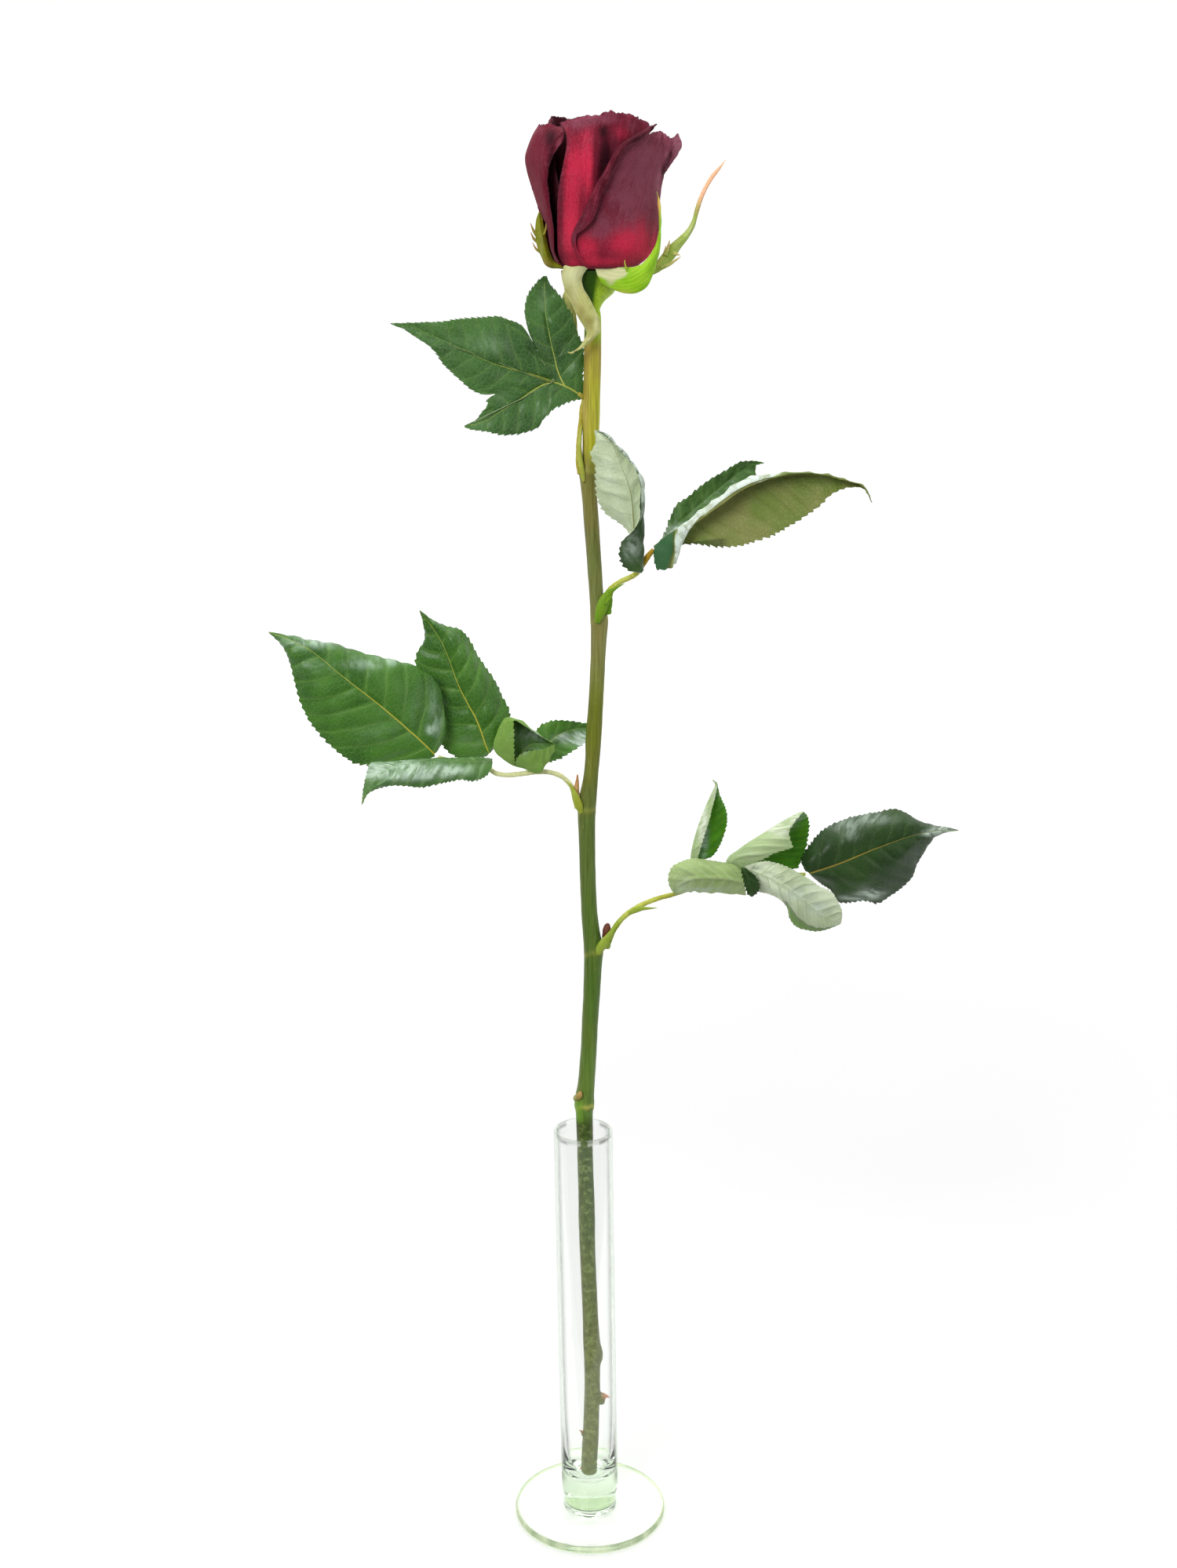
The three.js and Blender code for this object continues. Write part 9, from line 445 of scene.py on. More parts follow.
def leaf_fields(T, spacing):
    """Vein masks from the blade's own coordinates, in mm along and across."""
    x, y, _ = T.split(T.uv("Blade"))
    x = T.math("MULTIPLY", x, 100.0)
    y = T.math("MULTIPLY", T.math("SUBTRACT", y, 0.5), 100.0)
    ay = T.math("ABSOLUTE", y)
    wob = T.noise(T.join(x, y), 0.11, 2.0)
    fwd = T.math("ADD", T.math("MULTIPLY", ay, VEIN_A), T.math("MULTIPLY", T.math("MULTIPLY", ay, ay), VEIN_B))
    w = T.math("SUBTRACT", x, fwd)
    w = T.math("ADD", w, T.math("MULTIPLY", T.math("SUBTRACT", wob, 0.5), 2.0))
    w = T.math("ADD", w, T.math("MULTIPLY", T.math("GREATER_THAN", y, 0.0), spacing * 0.43))
    w = T.math("DIVIDE", w, spacing)
    f = T.math("ABSOLUTE", T.math("SUBTRACT", T.math("FRACT", w), 0.5))  # 0 on the vein
    d = T.math("MULTIPLY", f, spacing * 0.82)
    along = T.attr("along")
    thin = T.step(ay, 1.0, 17.0, 1.0, 0.55)
    lateral = T.math("MULTIPLY", T.step(T.math("DIVIDE", d, thin), 0.04, 0.19, 1.0, 0.0), T.step(along, 0.0, 0.95, 1.0, 0.7))
    half = T.step(along, 0.0, 0.8, 0.44, 0.13)
    midrib = T.step(T.math("DIVIDE", ay, half), 0.55, 1.15, 1.0, 0.0)
    warp = T.join(T.math("ADD", x, T.math("MULTIPLY", wob, 3.0)), T.math("ADD", y, T.math("MULTIPLY", wob, -2.0)))
    net1 = T.step(T.edges(warp, 0.52, "2D", 0.85), 0.015, 0.075, 1.0, 0.0)
    net2 = T.step(T.edges(warp, 1.5, "2D", 0.95), 0.03, 0.17, 1.0, 0.0)
    return dict(x=x, y=y, ay=ay, d=d, w=w, lateral=lateral, midrib=midrib, net1=net1, net2=net2, wob=wob)


def leaf_material(name, spacing, dark, light, vein, rib, netcol, rough, under=False, net_amount=0.5, sheen_col=(0.55, 0.66, 0.58), spec=0.5, ribw=1.0, vein_amount=0.62, coat=0.0, glow=0.38, deep=(0.03, 0.10, 0.035)):
    T = Tree(name)
    g = leaf_fields(T, spacing)
    big = T.noise(T.coords(), 38.0, 3.0, 0.55)
    col = T.mix(T.step(big, 0.36, 0.64), dark, light)
    fine = T.noise(T.coords(), 900.0, 3.0, 0.6)
    col = T.mix(T.math("MULTIPLY", T.step(fine, 0.35, 0.7), 0.22), col, light)
    # tissue between the side veins lightens towards them: partly the veins' paler colour, partly painted shading of the
    # quilted tissue
    col = T.mix(T.math("MULTIPLY", T.step(g["d"], 0.15, 1.5, 1.0, 0.0), glow), col, T.mix(0.35, light, vein))
    col = T.mix(T.math("MULTIPLY", g["net2"], net_amount * 0.45), col, netcol)
    col = T.mix(T.math("MULTIPLY", g["net1"], net_amount), col, netcol)
    col = T.mix(T.math("MULTIPLY", g["lateral"], vein_amount), col, vein)
    light_shade_tone = T.attr("light_shade_tone")
    along_ = T.attr("along")
    # painted shade: below 0 the tone darkens the colour, and below -1 it runs to the deep colour
    col = T.mix(T.math("MULTIPLY", T.step(light_shade_tone, -1.0, 0.0, 1.0, 0.0), 0.75), col, T.mix(1.0, col, (0.25, 0.28, 0.25), "MULTIPLY"))
    col = T.mix(T.step(light_shade_tone, -2.0, -1.0, 1.0, 0.0), col, deep)
    # painted sheen: above 0 the tone lightens the colour to sheen_col, in streaks along the side veins and less on the
    # veins, and solid above 1
    streak = T.noise(T.join(T.math("MULTIPLY", g["w"], 2.6), T.math("MULTIPLY", g["ay"], 0.16)), 1.0, 3.0, 0.6)
    dull = T.math("SUBTRACT", 1.0, T.math("MULTIPLY", g["lateral"], 0.45))
    pale = T.math("MULTIPLY", T.math("MULTIPLY", T.step(light_shade_tone, 0.0, 1.0), T.step(streak, 0.36, 0.60, 0.25, 1.15)), dull, clamp=True)
    pale = T.math("MAXIMUM", pale, T.math("MULTIPLY", T.step(light_shade_tone, 1.0, 1.8), dull))
    col = T.mix(pale, col, sheen_col)
    col = T.mix(T.math("MULTIPLY", g["midrib"], ribw), col, T.mix(T.step(along_, 0.25, 0.8), rib, T.mix(0.5, rib, vein)))
    edge = T.attr("edge")  # 0 inside to 1 at the margin
    col = T.mix(T.math("MULTIPLY", T.step(edge, 0.7, 1.0), 0.55), col, (0.10, 0.055, 0.03) if not under else (0.16, 0.13, 0.06))
    r = T.math("ADD", rough - 0.08, T.math("MULTIPLY", fine, 0.16))
    h = T.math("ADD", T.math("MULTIPLY", g["net1"], -0.6), T.math("MULTIPLY", g["net2"], -0.35))
    h = T.math("ADD", h, T.math("MULTIPLY", g["lateral"], -1.2))
    h = T.math("ADD", h, T.math("MULTIPLY", fine, 0.3))
    nrm = T.bump(h, 0.6, 0.00024 if not under else -0.00024)
    T.surface(col, r, nrm, IOR=1.45, Specular_IOR_Level=spec, Coat_Weight=coat, Coat_Roughness=0.22)
    return T.mat


def petal_material(name, dark, mid, bright, mauve, sheen_peak, sheen=0.1):
    T = Tree(name)
    u, v, _ = T.split(T.uv("Blade"))
    u = T.math("MULTIPLY", u, 100.0)
    v = T.math("MULTIPLY", v, 100.0)
    light_shade_tone = T.attr("light_shade_tone")
    sheen_veil = T.attr("sheen_veil")
    edge = T.attr("edge")
    fan = T.noise(T.join(T.math("MULTIPLY", u, 0.06), T.math("MULTIPLY", v, 0.8)), 1.0, 4.0, 0.6, 0.5)
    fine = T.noise(T.join(T.math("MULTIPLY", u, 0.5), T.math("MULTIPLY", v, 2.6)), 1.0, 4.0, 0.7)
    cloud = T.noise(T.coords(), 70.0, 4.0, 0.6)
    nap = T.noise(T.coords(), 1500.0, 3.0, 0.7)
    bend = T.math("ADD", v, T.math("MULTIPLY", fan, 1.6))
    veins = T.step(T.edges(T.join(T.math("MULTIPLY", u, 0.13), bend), 0.95, "2D", 0.9), 0.012, 0.10, 1.0, 0.0)
    small = T.step(T.edges(T.join(T.math("MULTIPLY", u, 0.42), bend), 2.4, "2D", 0.95), 0.02, 0.16, 1.0, 0.0)
    # painted light and shade: the tone spots make lit ridges and glow bright and folds dark, and the noises add the
    # petal's own uneven tone; the sum runs from dark through mid to bright
    t = T.math("ADD", light_shade_tone, T.math("MULTIPLY", T.math("SUBTRACT", fan, 0.5), 0.40))
    t = T.math("ADD", t, T.math("MULTIPLY", T.math("SUBTRACT", fine, 0.5), 0.45))
    t = T.math("ADD", t, T.math("MULTIPLY", T.math("SUBTRACT", cloud, 0.5), 0.30))
    t = T.math("ADD", t, T.math("MULTIPLY", T.math("SUBTRACT", nap, 0.5), 0.75))
    col = T.mix(T.step(t, -1.0, 0.0), dark, mid)
    col = T.mix(T.step(t, 0.0, 1.0), col, bright)
    mottle = T.noise(T.coords(), 210.0, 4.0, 0.65)
    # the mauve veil is painted velvet sheen, broken up by the noises
    vl = T.math("ADD", sheen_veil, T.math("MULTIPLY", T.math("SUBTRACT", cloud, 0.5), 0.5))
    vl = T.math("ADD", vl, T.math("MULTIPLY", T.math("SUBTRACT", mottle, 0.5), 1.0))
    vl = T.math("ADD", vl, T.math("MULTIPLY", T.math("SUBTRACT", fine, 0.5), 0.55))
    vl = T.math("ADD", vl, T.math("MULTIPLY", T.math("SUBTRACT", fan, 0.5), 0.9))
    vl = T.math("ADD", vl, T.math("MULTIPLY", T.math("SUBTRACT", nap, 0.5), 0.85))
    # the veil only dulls what is lit: deep folds stay deep
    lit = T.step(light_shade_tone, -1.0, -0.2, 0.15, 1.0)
    col = T.mix(T.math("MULTIPLY", T.step(vl, 0.0, 1.0), lit), col, mauve)
    # above 1 the veil runs to a pinker colour: painted highlight where the sheen is brightest
    col = T.mix(T.step(vl, 1.0, 2.0), col, sheen_peak)
    col = T.mix(T.math("MULTIPLY", veins, 0.22), col, T.mix(1.0, col, (0.55, 0.42, 0.5), "MULTIPLY"))
    col = T.mix(T.math("MULTIPLY", small, 0.14), col, T.mix(1.0, col, (1.35, 1.5, 1.45), "MULTIPLY"))
    # pale specks, stronger where the painted light is brighter
    speck = T.noise(T.coords(), 2400.0, 2.0, 0.6)
    col = T.mix(T.math("MULTIPLY", T.math("MULTIPLY", T.step(speck, 0.56, 0.72), T.step(t, -0.2, 0.8, 0.2, 1.0)), 0.26), col, (0.80, 0.22, 0.26))
    col = T.mix(T.math("MULTIPLY", T.step(edge, 0.55, 1.0), 0.6), col, (0.075, 0.030, 0.042))
    r = T.math("ADD", 0.62, T.math("MULTIPLY", fine, 0.2))
    h = T.math("ADD", T.math("MULTIPLY", fan, 0.9), T.math("MULTIPLY", fine, 0.5))
    h = T.math("ADD", h, T.math("MULTIPLY", veins, -0.5))
    h = T.math("ADD", h, T.math("MULTIPLY", nap, 0.25))
    nrm = T.bump(h, 0.4, 0.0004)
    T.surface(col, r, nrm, IOR=1.42, Specular_IOR_Level=0.12, Sheen_Weight=sheen, Sheen_Roughness=0.45, Sheen_Tint=(1.0, 0.66, 0.76, 1.0))
    return T.mat


# ---------------------------------------------------------------- stem, petiole, sepal, bud materials


def stem_material():
    T = Tree("stem_skin")
    c = T.coords()
    x, y, z = T.split(c)
    zmm = T.math("MULTIPLY", z, 1000.0)
    ang = T.attr("side")  # -1 on the flower's left, +1 on its right
    long_ = T.noise(T.join(T.math("MULTIPLY", x, 1400.0), T.math("MULTIPLY", y, 1400.0), T.math("MULTIPLY", z, 45.0)), 1.0, 4.0, 0.6)
    spots = T.noise(c, 260.0, 4.0, 0.6)
    big = T.noise(T.join(T.math("MULTIPLY", x, 3.0), T.math("MULTIPLY", y, 3.0), z), 16.0, 3.0, 0.6)
    # green below, browner and more olive upwards, yellow-olive above the top leaf
    col = T.mix(T.step(zmm, 60.0, 190.0), (0.082, 0.102, 0.009), (0.036, 0.066, 0.003))
    col = T.mix(T.step(zmm, 200.0, 206.0), col, (0.100, 0.200, 0.026))
    col = T.mix(T.step(zmm, 214.0, 250.0), col, (0.075, 0.150, 0.016))
    col = T.mix(T.step(zmm, 285.0, 330.0), col, (0.094, 0.148, 0.022))
    col = T.mix(T.step(zmm, 345.0, 385.0), col, (0.140, 0.172, 0.010))
    col = T.mix(T.step(zmm, 395.0, 425.0), col, (0.205, 0.222, 0.058))
    col = T.mix(T.step(zmm, 436.0, 465.0), col, (0.150, 0.180, 0.040))
    col = T.mix(T.step(zmm, 470.0, 494.0), col, (0.205, 0.230, 0.045))
    col = T.mix(T.step(zmm, 497.0, 512.0), col, (0.420, 0.440, 0.020))
    col = T.mix(T.step(zmm, 525.0, 548.0), col, (0.430, 0.395, 0.030))
    col = T.mix(T.step(zmm, 550.0, 563.0), col, (0.130, 0.300, 0.006))
    rind = T.math("MULTIPLY", T.step(zmm, 200.0, 214.0), T.step(zmm, 552.0, 560.0, 1.0, 0.0))
    brown = T.math("MULTIPLY", T.step(big, 0.44, 0.60), T.step(zmm, 340.0, 480.0, 0.25, 0.8))
    col = T.mix(T.math("MULTIPLY", T.math("MULTIPLY", brown, rind), 0.42), col, (0.24, 0.145, 0.045))
    # the flower's left side takes a quarter to a half of another colour, more above 505 mm: dark olive below 490 mm,
    # brown up to 552 mm, and above it a dark green that is painted shade on the hip
    left = T.step(ang, -0.75, -0.1, 1.0, 0.0)
    col = T.mix(T.math("MULTIPLY", left, T.step(zmm, 505.0, 530.0, 0.25, 0.55)), col, T.mix(T.step(zmm, 490.0, 510.0), (0.10, 0.10, 0.03), T.mix(T.step(zmm, 552.0, 560.0), (0.36, 0.24, 0.07), (0.018, 0.060, 0.001))))
    # painted light and shade on the hip: dark green on its left from 562 mm, a bright highlight on its right from 552
    # mm
    right = T.step(ang, -0.2, 0.4)
    col = T.mix(T.math("MULTIPLY", T.math("SUBTRACT", 1.0, right), T.step(zmm, 562.0, 572.0, 0.0, 0.85)), col, (0.020, 0.075, 0.001))
    col = T.mix(T.math("MULTIPLY", right, T.step(zmm, 552.0, 562.0, 0.0, 0.85)), col, (0.46, 0.68, 0.030))
    # painted shade under the petals, from 573 to 584 mm
    col = T.mix(T.math("MULTIPLY", T.step(zmm, 573.0, 584.0), 0.7), col, (0.016, 0.052, 0.001))
    lift = T.mix(1.0, col, (1.55, 1.45, 1.9), "MULTIPLY")
    drop = T.mix(1.0, col, (0.52, 0.56, 0.40), "MULTIPLY")
    col = T.mix(T.math("MULTIPLY", T.step(long_, 0.48, 0.66), 0.55), col, lift)
    col = T.mix(T.math("MULTIPLY", T.step(long_, 0.30, 0.46, 1.0, 0.0), 0.65), col, drop)
    # lenticels: small pale flecks, longer than wide
    fleck = T.edges(T.join(T.math("MULTIPLY", x, 1100.0), T.math("MULTIPLY", y, 1100.0), T.math("MULTIPLY", z, 330.0)), 0.55, "3D", 1.0)
    col = T.mix(T.math("MULTIPLY", T.math("MULTIPLY", T.step(fleck, 0.42, 0.56), T.step(zmm, 552.0, 560.0, 0.5, 0.0)), 1.0), col, (0.36, 0.36, 0.13))
    col = T.mix(T.math("MULTIPLY", T.step(spots, 0.62, 0.74), 0.22), col, (0.33, 0.33, 0.13))
    mott = T.noise(c, 430.0, 6.0, 0.78)
    low = T.step(zmm, 198.0, 204.0, 1.0, 0.0)
    col = T.mix(T.math("MULTIPLY", T.math("MULTIPLY", T.step(mott, 0.50, 0.61), low), 0.50), col, (0.24, 0.30, 0.10))
    col = T.mix(T.math("MULTIPLY", T.math("MULTIPLY", T.step(mott, 0.36, 0.47, 1.0, 0.0), low), 0.75), col, T.mix(1.0, col, (0.40, 0.46, 0.36), "MULTIPLY"))
    ring = T.attr("ring")
    col = T.mix(T.math("MULTIPLY", ring, T.step(spots, 0.3, 0.6, 0.5, 1.0)), col, (0.40, 0.40, 0.07))
    node = T.math("MULTIPLY", T.step(zmm, 199.0, 204.0), T.step(zmm, 209.0, 216.0, 1.0, 0.0))
    col = T.mix(T.math("MULTIPLY", T.math("MULTIPLY", node, T.step(ang, -0.6, 0.2, 1.0, 0.0)), 0.6), col, (0.16, 0.36, 0.02))
    red = T.attr("red")
    col = T.mix(red, col, T.mix(T.step(zmm, 150.0, 200.0), (0.48, 0.17, 0.09), (0.30, 0.065, 0.035)))
    h = T.math("ADD", T.math("MULTIPLY", long_, 0.9), T.math("MULTIPLY", spots, 0.5))
    T.surface(col, T.math("ADD", 0.40, T.math("MULTIPLY", spots, 0.16)), T.bump(h, 0.55, 0.0003), IOR=1.45, Specular_IOR_Level=0.3)
    return T.mat


def simple_skin(name, base, alt, tipcol, rough=0.45, line=0.22, spec=0.3, fresh=(0.13, 0.29, 0.006), cream=(0.66, 0.68, 0.35), rim=(0.62, 0.50, 0.28), rim_amount=0.6):
    """Fibrous plant skin; the attribute tip (0..1) runs towards tipcol."""
    T = Tree(name)
    u, v, _ = T.split(T.uv("Blade"))
    u = T.math("MULTIPLY", u, 100.0)
    v = T.math("MULTIPLY", v, 100.0)
    fib = T.noise(T.join(T.math("MULTIPLY", u, 0.10), T.math("MULTIPLY", v, 1.9)), 1.0, 4.0, 0.6)
    cloud = T.noise(T.coords(), 130.0, 4.0, 0.6)
    grain = T.noise(T.coords(), 1300.0, 3.0, 0.65)
    col = T.mix(T.step(cloud, 0.36, 0.64), base, alt)
    col = T.mix(T.attr("fresh"), col, fresh)
    col = T.mix(T.attr("tip"), col, tipcol)
    col = T.mix(T.attr("pale"), col, cream)
    col = T.mix(T.math("MULTIPLY", T.step(fib, 0.46, 0.68), line), col, T.mix(1.0, col, (1.5, 1.4, 1.6), "MULTIPLY"))
    col = T.mix(T.math("MULTIPLY", T.step(fib, 0.30, 0.46, 1.0, 0.0), line), col, T.mix(1.0, col, (0.62, 0.68, 0.5), "MULTIPLY"))
    col = T.mix(T.math("MULTIPLY", T.step(grain, 0.55, 0.75), 0.25), col, T.mix(1.0, col, (0.7, 0.75, 0.6), "MULTIPLY"))
    col = T.mix(T.math("MULTIPLY", T.step(T.attr("edge"), 0.62, 1.0), rim_amount), col, rim)
    h = T.math("ADD", T.math("MULTIPLY", fib, 0.8), T.math("MULTIPLY", cloud, 0.4))
    h = T.math("ADD", h, T.math("MULTIPLY", grain, 0.15))
    T.surface(col, T.math("ADD", rough, T.math("MULTIPLY", cloud, 0.12)), T.bump(h, 0.4, 0.0003), IOR=1.45, Specular_IOR_Level=spec)
    return T.mat


# ---------------------------------------------------------------- building sheets


def across(P, mid):
    """Arc coordinates of a grid: x along the midrib, y signed across it, and the half widths."""
    s = arcs(P, 1)
    m = s[:, mid : mid + 1]
    y = s - m
    x = arcs(P[:, mid : mid + 1], 0)
    wl = np.maximum(m, 1e-3)
    wr = np.maximum(s[:, -1:] - m, 1e-3)
    return x, y, wl, wr


def tooth_profile(s, total, period, amp, seed):
    """Outward reach of a toothed margin at arc position s, teeth raked towards the tip."""
    r = np.random.RandomState(seed)
    n = max(3, int(total / period))
    edges = np.cumsum(r.uniform(0.72, 1.28, n))
    edges = np.concatenate([[0], edges / edges[-1]]) * total
    k = np.clip(np.searchsorted(edges, s, side="right") - 1, 0, n - 1)
    f = (s - edges[k]) / (edges[k + 1] - edges[k])
    size = r.uniform(0.65, 1.2, n)[k]
    rise = np.where(f < 0.80, (f / 0.80) ** 1.15, np.clip((1 - f) / 0.20, 0, 1) ** 0.8)
    fade = np.clip(s / (0.10 * total), 0, 1) * np.clip((total - s) / (0.13 * total), 0, 1)
    return rise * amp * size * np.sqrt(fade), rise * fade


def sliver(st, flat=0.3, sides=12, step=0.35):
    """A thin pointed strip along x, y, z, half-width stations."""
    S = np.array(st, float).reshape(-1, 4)
    s = np.concatenate([[0], np.cumsum(np.linalg.norm(np.diff(S[:, :3], axis=0), axis=1))])
    q = np.linspace(0, s[-1], max(10, int(s[-1] / step)))
    C = crom(S, np.interp(q, s, np.arange(len(S))))
    a = 2 * math.pi * np.arange(sides) / sides
    r = np.maximum(C[:, 3], 0.06)[:, None]
    # rod() puts cos along the depth and sin across the view
    shape = 1 / np.sqrt((np.cos(a) / flat) ** 2 + np.sin(a) ** 2)
    V, F, uv = rod(C[:, :3], r * shape[None], sides)
    return V, F, uv, np.repeat(q / s[-1], sides)


def build_sheet(name, P, thick, mats, top_mat, attrs, uv, rim_taper=0.45, replaces=None, rib=None, islands=()):
    """A closed thin sheet round the grid P, thinner at its margins."""
    nu, nv = P.shape[0] - 1, P.shape[1] - 1
    n = normals(P)
    s = arcs(P, 1)
    e = np.minimum(s, s[:, -1:] - s)
    th = thick * (rim_taper + (1 - rim_taper) * smoothstep(0.0, 1.6, e))
    ends = np.minimum(np.arange(nu + 1), nu - np.arange(nu + 1))[:, None]
    th = th * np.clip(0.35 + ends * 0.13, 0, 1)
    up = P + n * th[..., None] / 2
    dn = P - n * th[..., None] / 2
    if rib is not None:
        dn = dn + n * rib[..., None]
    V = np.concatenate([up.reshape(-1, 3), dn.reshape(-1, 3)])
    top, bot, rim = shell_faces(nu, nv)
    faces = [top, bot, rim]
    if volume(V, faces) < 0:
        faces = [f[:, ::-1] for f in faces]
    fm = np.concatenate([np.full(len(top), top_mat), np.full(len(bot), 1 - top_mat), np.full(len(rim), top_mat)]) if len(mats) > 1 else None
    two = {k: np.concatenate([a.ravel(), a.ravel()]) for k, a in attrs.items()}
    uvv = np.concatenate([uv.reshape(-1, 2), uv.reshape(-1, 2)])
    if len(islands):
        parts = [(V, [np.concatenate(faces)])]
        for st in islands:
            v, f, u2, run = sliver(st)
            parts.append((v, f))
            uvv = np.concatenate([uvv, u2 * 0.01 + np.array([0.0, 0.5])])
            for k in two:
                two[k] = np.concatenate([two[k], 0.55 * run if k == "tip" else 0 * run])
        V, faces = join(parts)
        fm = None
    o = make(name, V, faces, mats, fm, {"Blade": uvv}, two)
    return finish_piece(o, replaces or name)


def finish_piece(o, node):
    if node:
        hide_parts(*([node] if isinstance(node, str) else node))
    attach(o, "root")
    return o


def blobs(P, spots):
    """Soft painted spots: (x, z, rx, rz, amount) in mm on the surface."""
    out = np.zeros(P.shape[:2])
    for x, z, rx, rz, amount in spots:
        out += amount * np.exp(-(((P[..., 0] - x) / rx) ** 2) - ((P[..., 2] - z) / rz) ** 2)
    return out


def net_paint(start, tu, tv, bands):
    """Bands painted in the sheet's own coordinates: from u0 to u1 along, v0 to v1 across."""
    t = start + 0 * tu[:, None] * tv[None]
    for u0, u1, v0, v1, su, sv, amount in bands:
        bu = smoothstep(u0 - su, u0 + su, tu) * (1 - smoothstep(u1 - su, u1 + su, tu))
        bv = smoothstep(v0 - sv, v0 + sv, tv) * (1 - smoothstep(v1 - sv, v1 + sv, tv))
        b = bu[:, None] * bv[None]
        t = t * (1 - b) + amount * b
    return t


def leaf(name, mid, mats, spacing=8.5, tooth=1.15, period=2.9, quilt=0.6, seed=1, light_shade_tone=None, up=None, fine=1.0):
    info = NETS[name]
    N = np.array(info["at"], float).reshape(info["rows"], info["cols"], 3)
    up = up or info["up"]
    light_shade_tone = PAINT.get(name, {}).get("light_shade_tone", ()) if light_shade_tone is None else light_shade_tone
    per = 13 if info["cols"] >= 5 else 16
    rows = int(200 * fine)
    tu = np.linspace(0.006, 0.994, rows)
    base = np.linspace(0, info["cols"] - 1, (info["cols"] - 1) * per + 1)
    # denser towards both margins
    c = info["cols"] - 1
    tv = base + 0.0
    first = base[: per + 1]
    tv[: per + 1] = (first ** 1.35) / (1 ** 1.35)
    tv[-per - 1 :] = c - (c - base[-per - 1 :]) ** 1.35
    P = surface(N, tu, tv)
    m = mid * per
    x, y, wl, wr = across(P, m)
    side = np.sign(y)
    L = x[-1, 0]
    # teeth
    s = arcs(P, 0)
    sa = arcs(P, 1)
    reach_edge = np.zeros(P.shape[:2])
    for col, inward, sd in ((0, 1, 11), (P.shape[1] - 1, -1, 23)):
        S = s[:, col]
        amp, raw = tooth_profile(S, S[-1], period, tooth, seed * 100 + sd)
        T = unit(np.gradient(P[:, col], axis=0))
        out = unit(P[:, col] - P[:, col + 4 * inward])
        dist = np.abs(sa - sa[:, col : col + 1])
        w = np.exp(-((dist / 1.3) ** 2))
        off = out * (amp[:, None] - 0.35 * tooth * np.clip(np.minimum(S, S[-1] - S) / (0.15 * S[-1]), 0, 1)[:, None]) + T * (0.35 * amp[:, None])
        P = P + w[..., None] * off[:, None]
        reach_edge = np.maximum(reach_edge, np.exp(-dist / 0.45) * (0.55 + 0.45 * raw[:, None]))
    # quilting between the side veins, and the midrib's groove
    n = normals(P) * up
    ay = np.abs(y)
    w = (x - VEIN_A * ay - VEIN_B * ay * ay + np.where(y > 0, 0.43, 0.0) * spacing) / spacing
    w = w + 0.12 * np.sin(x * 0.21 + seed)
    f = np.abs((w % 1.0) - 0.5) * 2
    room = smoothstep(0.0, 2.2, ay) * smoothstep(0.0, 0.25, 1 - np.clip(ay / np.where(y < 0, wl, wr), 0, 1)) * np.clip(np.minimum(x, L - x) / (0.12 * L), 0, 1)
    h = quilt * (np.minimum(f * 1.5, 1.0) ** 0.8 - 0.6) * room
    h -= 0.45 * np.exp(-((ay / 0.8) ** 2)) * np.clip((L - x) / (0.4 * L), 0, 1)
    h += 0.30 * waves(P, seed + 40, 17.0, 2) * room
    h += 0.05 * waves(P, seed + 80, 2.4, 2) * room
    P = P + n * h[..., None]
    ribh = -0.55 * np.exp(-((ay / 0.62) ** 2)) * (0.25 + 0.75 * np.clip((L - x) / L, 0, 1)) * (1 if up > 0 else -1)
    edge = reach_edge
    uv = np.stack([np.broadcast_to(x, y.shape) * 0.01, y * 0.01 + 0.5], -1)
    # painted light and shade: sheen where the tone is above 0, shade below it
    t = net_paint(0.0, tu, tv, PAINT.get(name, {}).get("net", ())) + blobs(P, light_shade_tone)
    # sheets keep the upper skin on the side the net says
    along = np.broadcast_to(x / L, y.shape)
    return build_sheet(name, P, 0.34, mats, 0 if up > 0 else 1, {"edge": edge, "light_shade_tone": t, "along": along}, uv, rib=(ribh if up > 0 else None))


def foot_rows(P, centre, r_in, z_in, n=10):
    """Rows that carry a petal's foot inwards, under the flower, to the hip."""
    first = P[0]
    d = first[:, :2] - centre
    r = np.linalg.norm(d, axis=1, keepdims=True)
    inner = centre + d / r * np.minimum(r_in, 0.85 * r)
    t = np.linspace(0, 1, n + 1)[:-1][:, None]
    xy = inner[None] + (first[None, :, :2] - inner[None]) * t[..., None]
    z = z_in + (first[None, :, 2] - z_in) * t ** 2.2
    return np.concatenate([np.concatenate([xy, z[..., None]], -1), P])


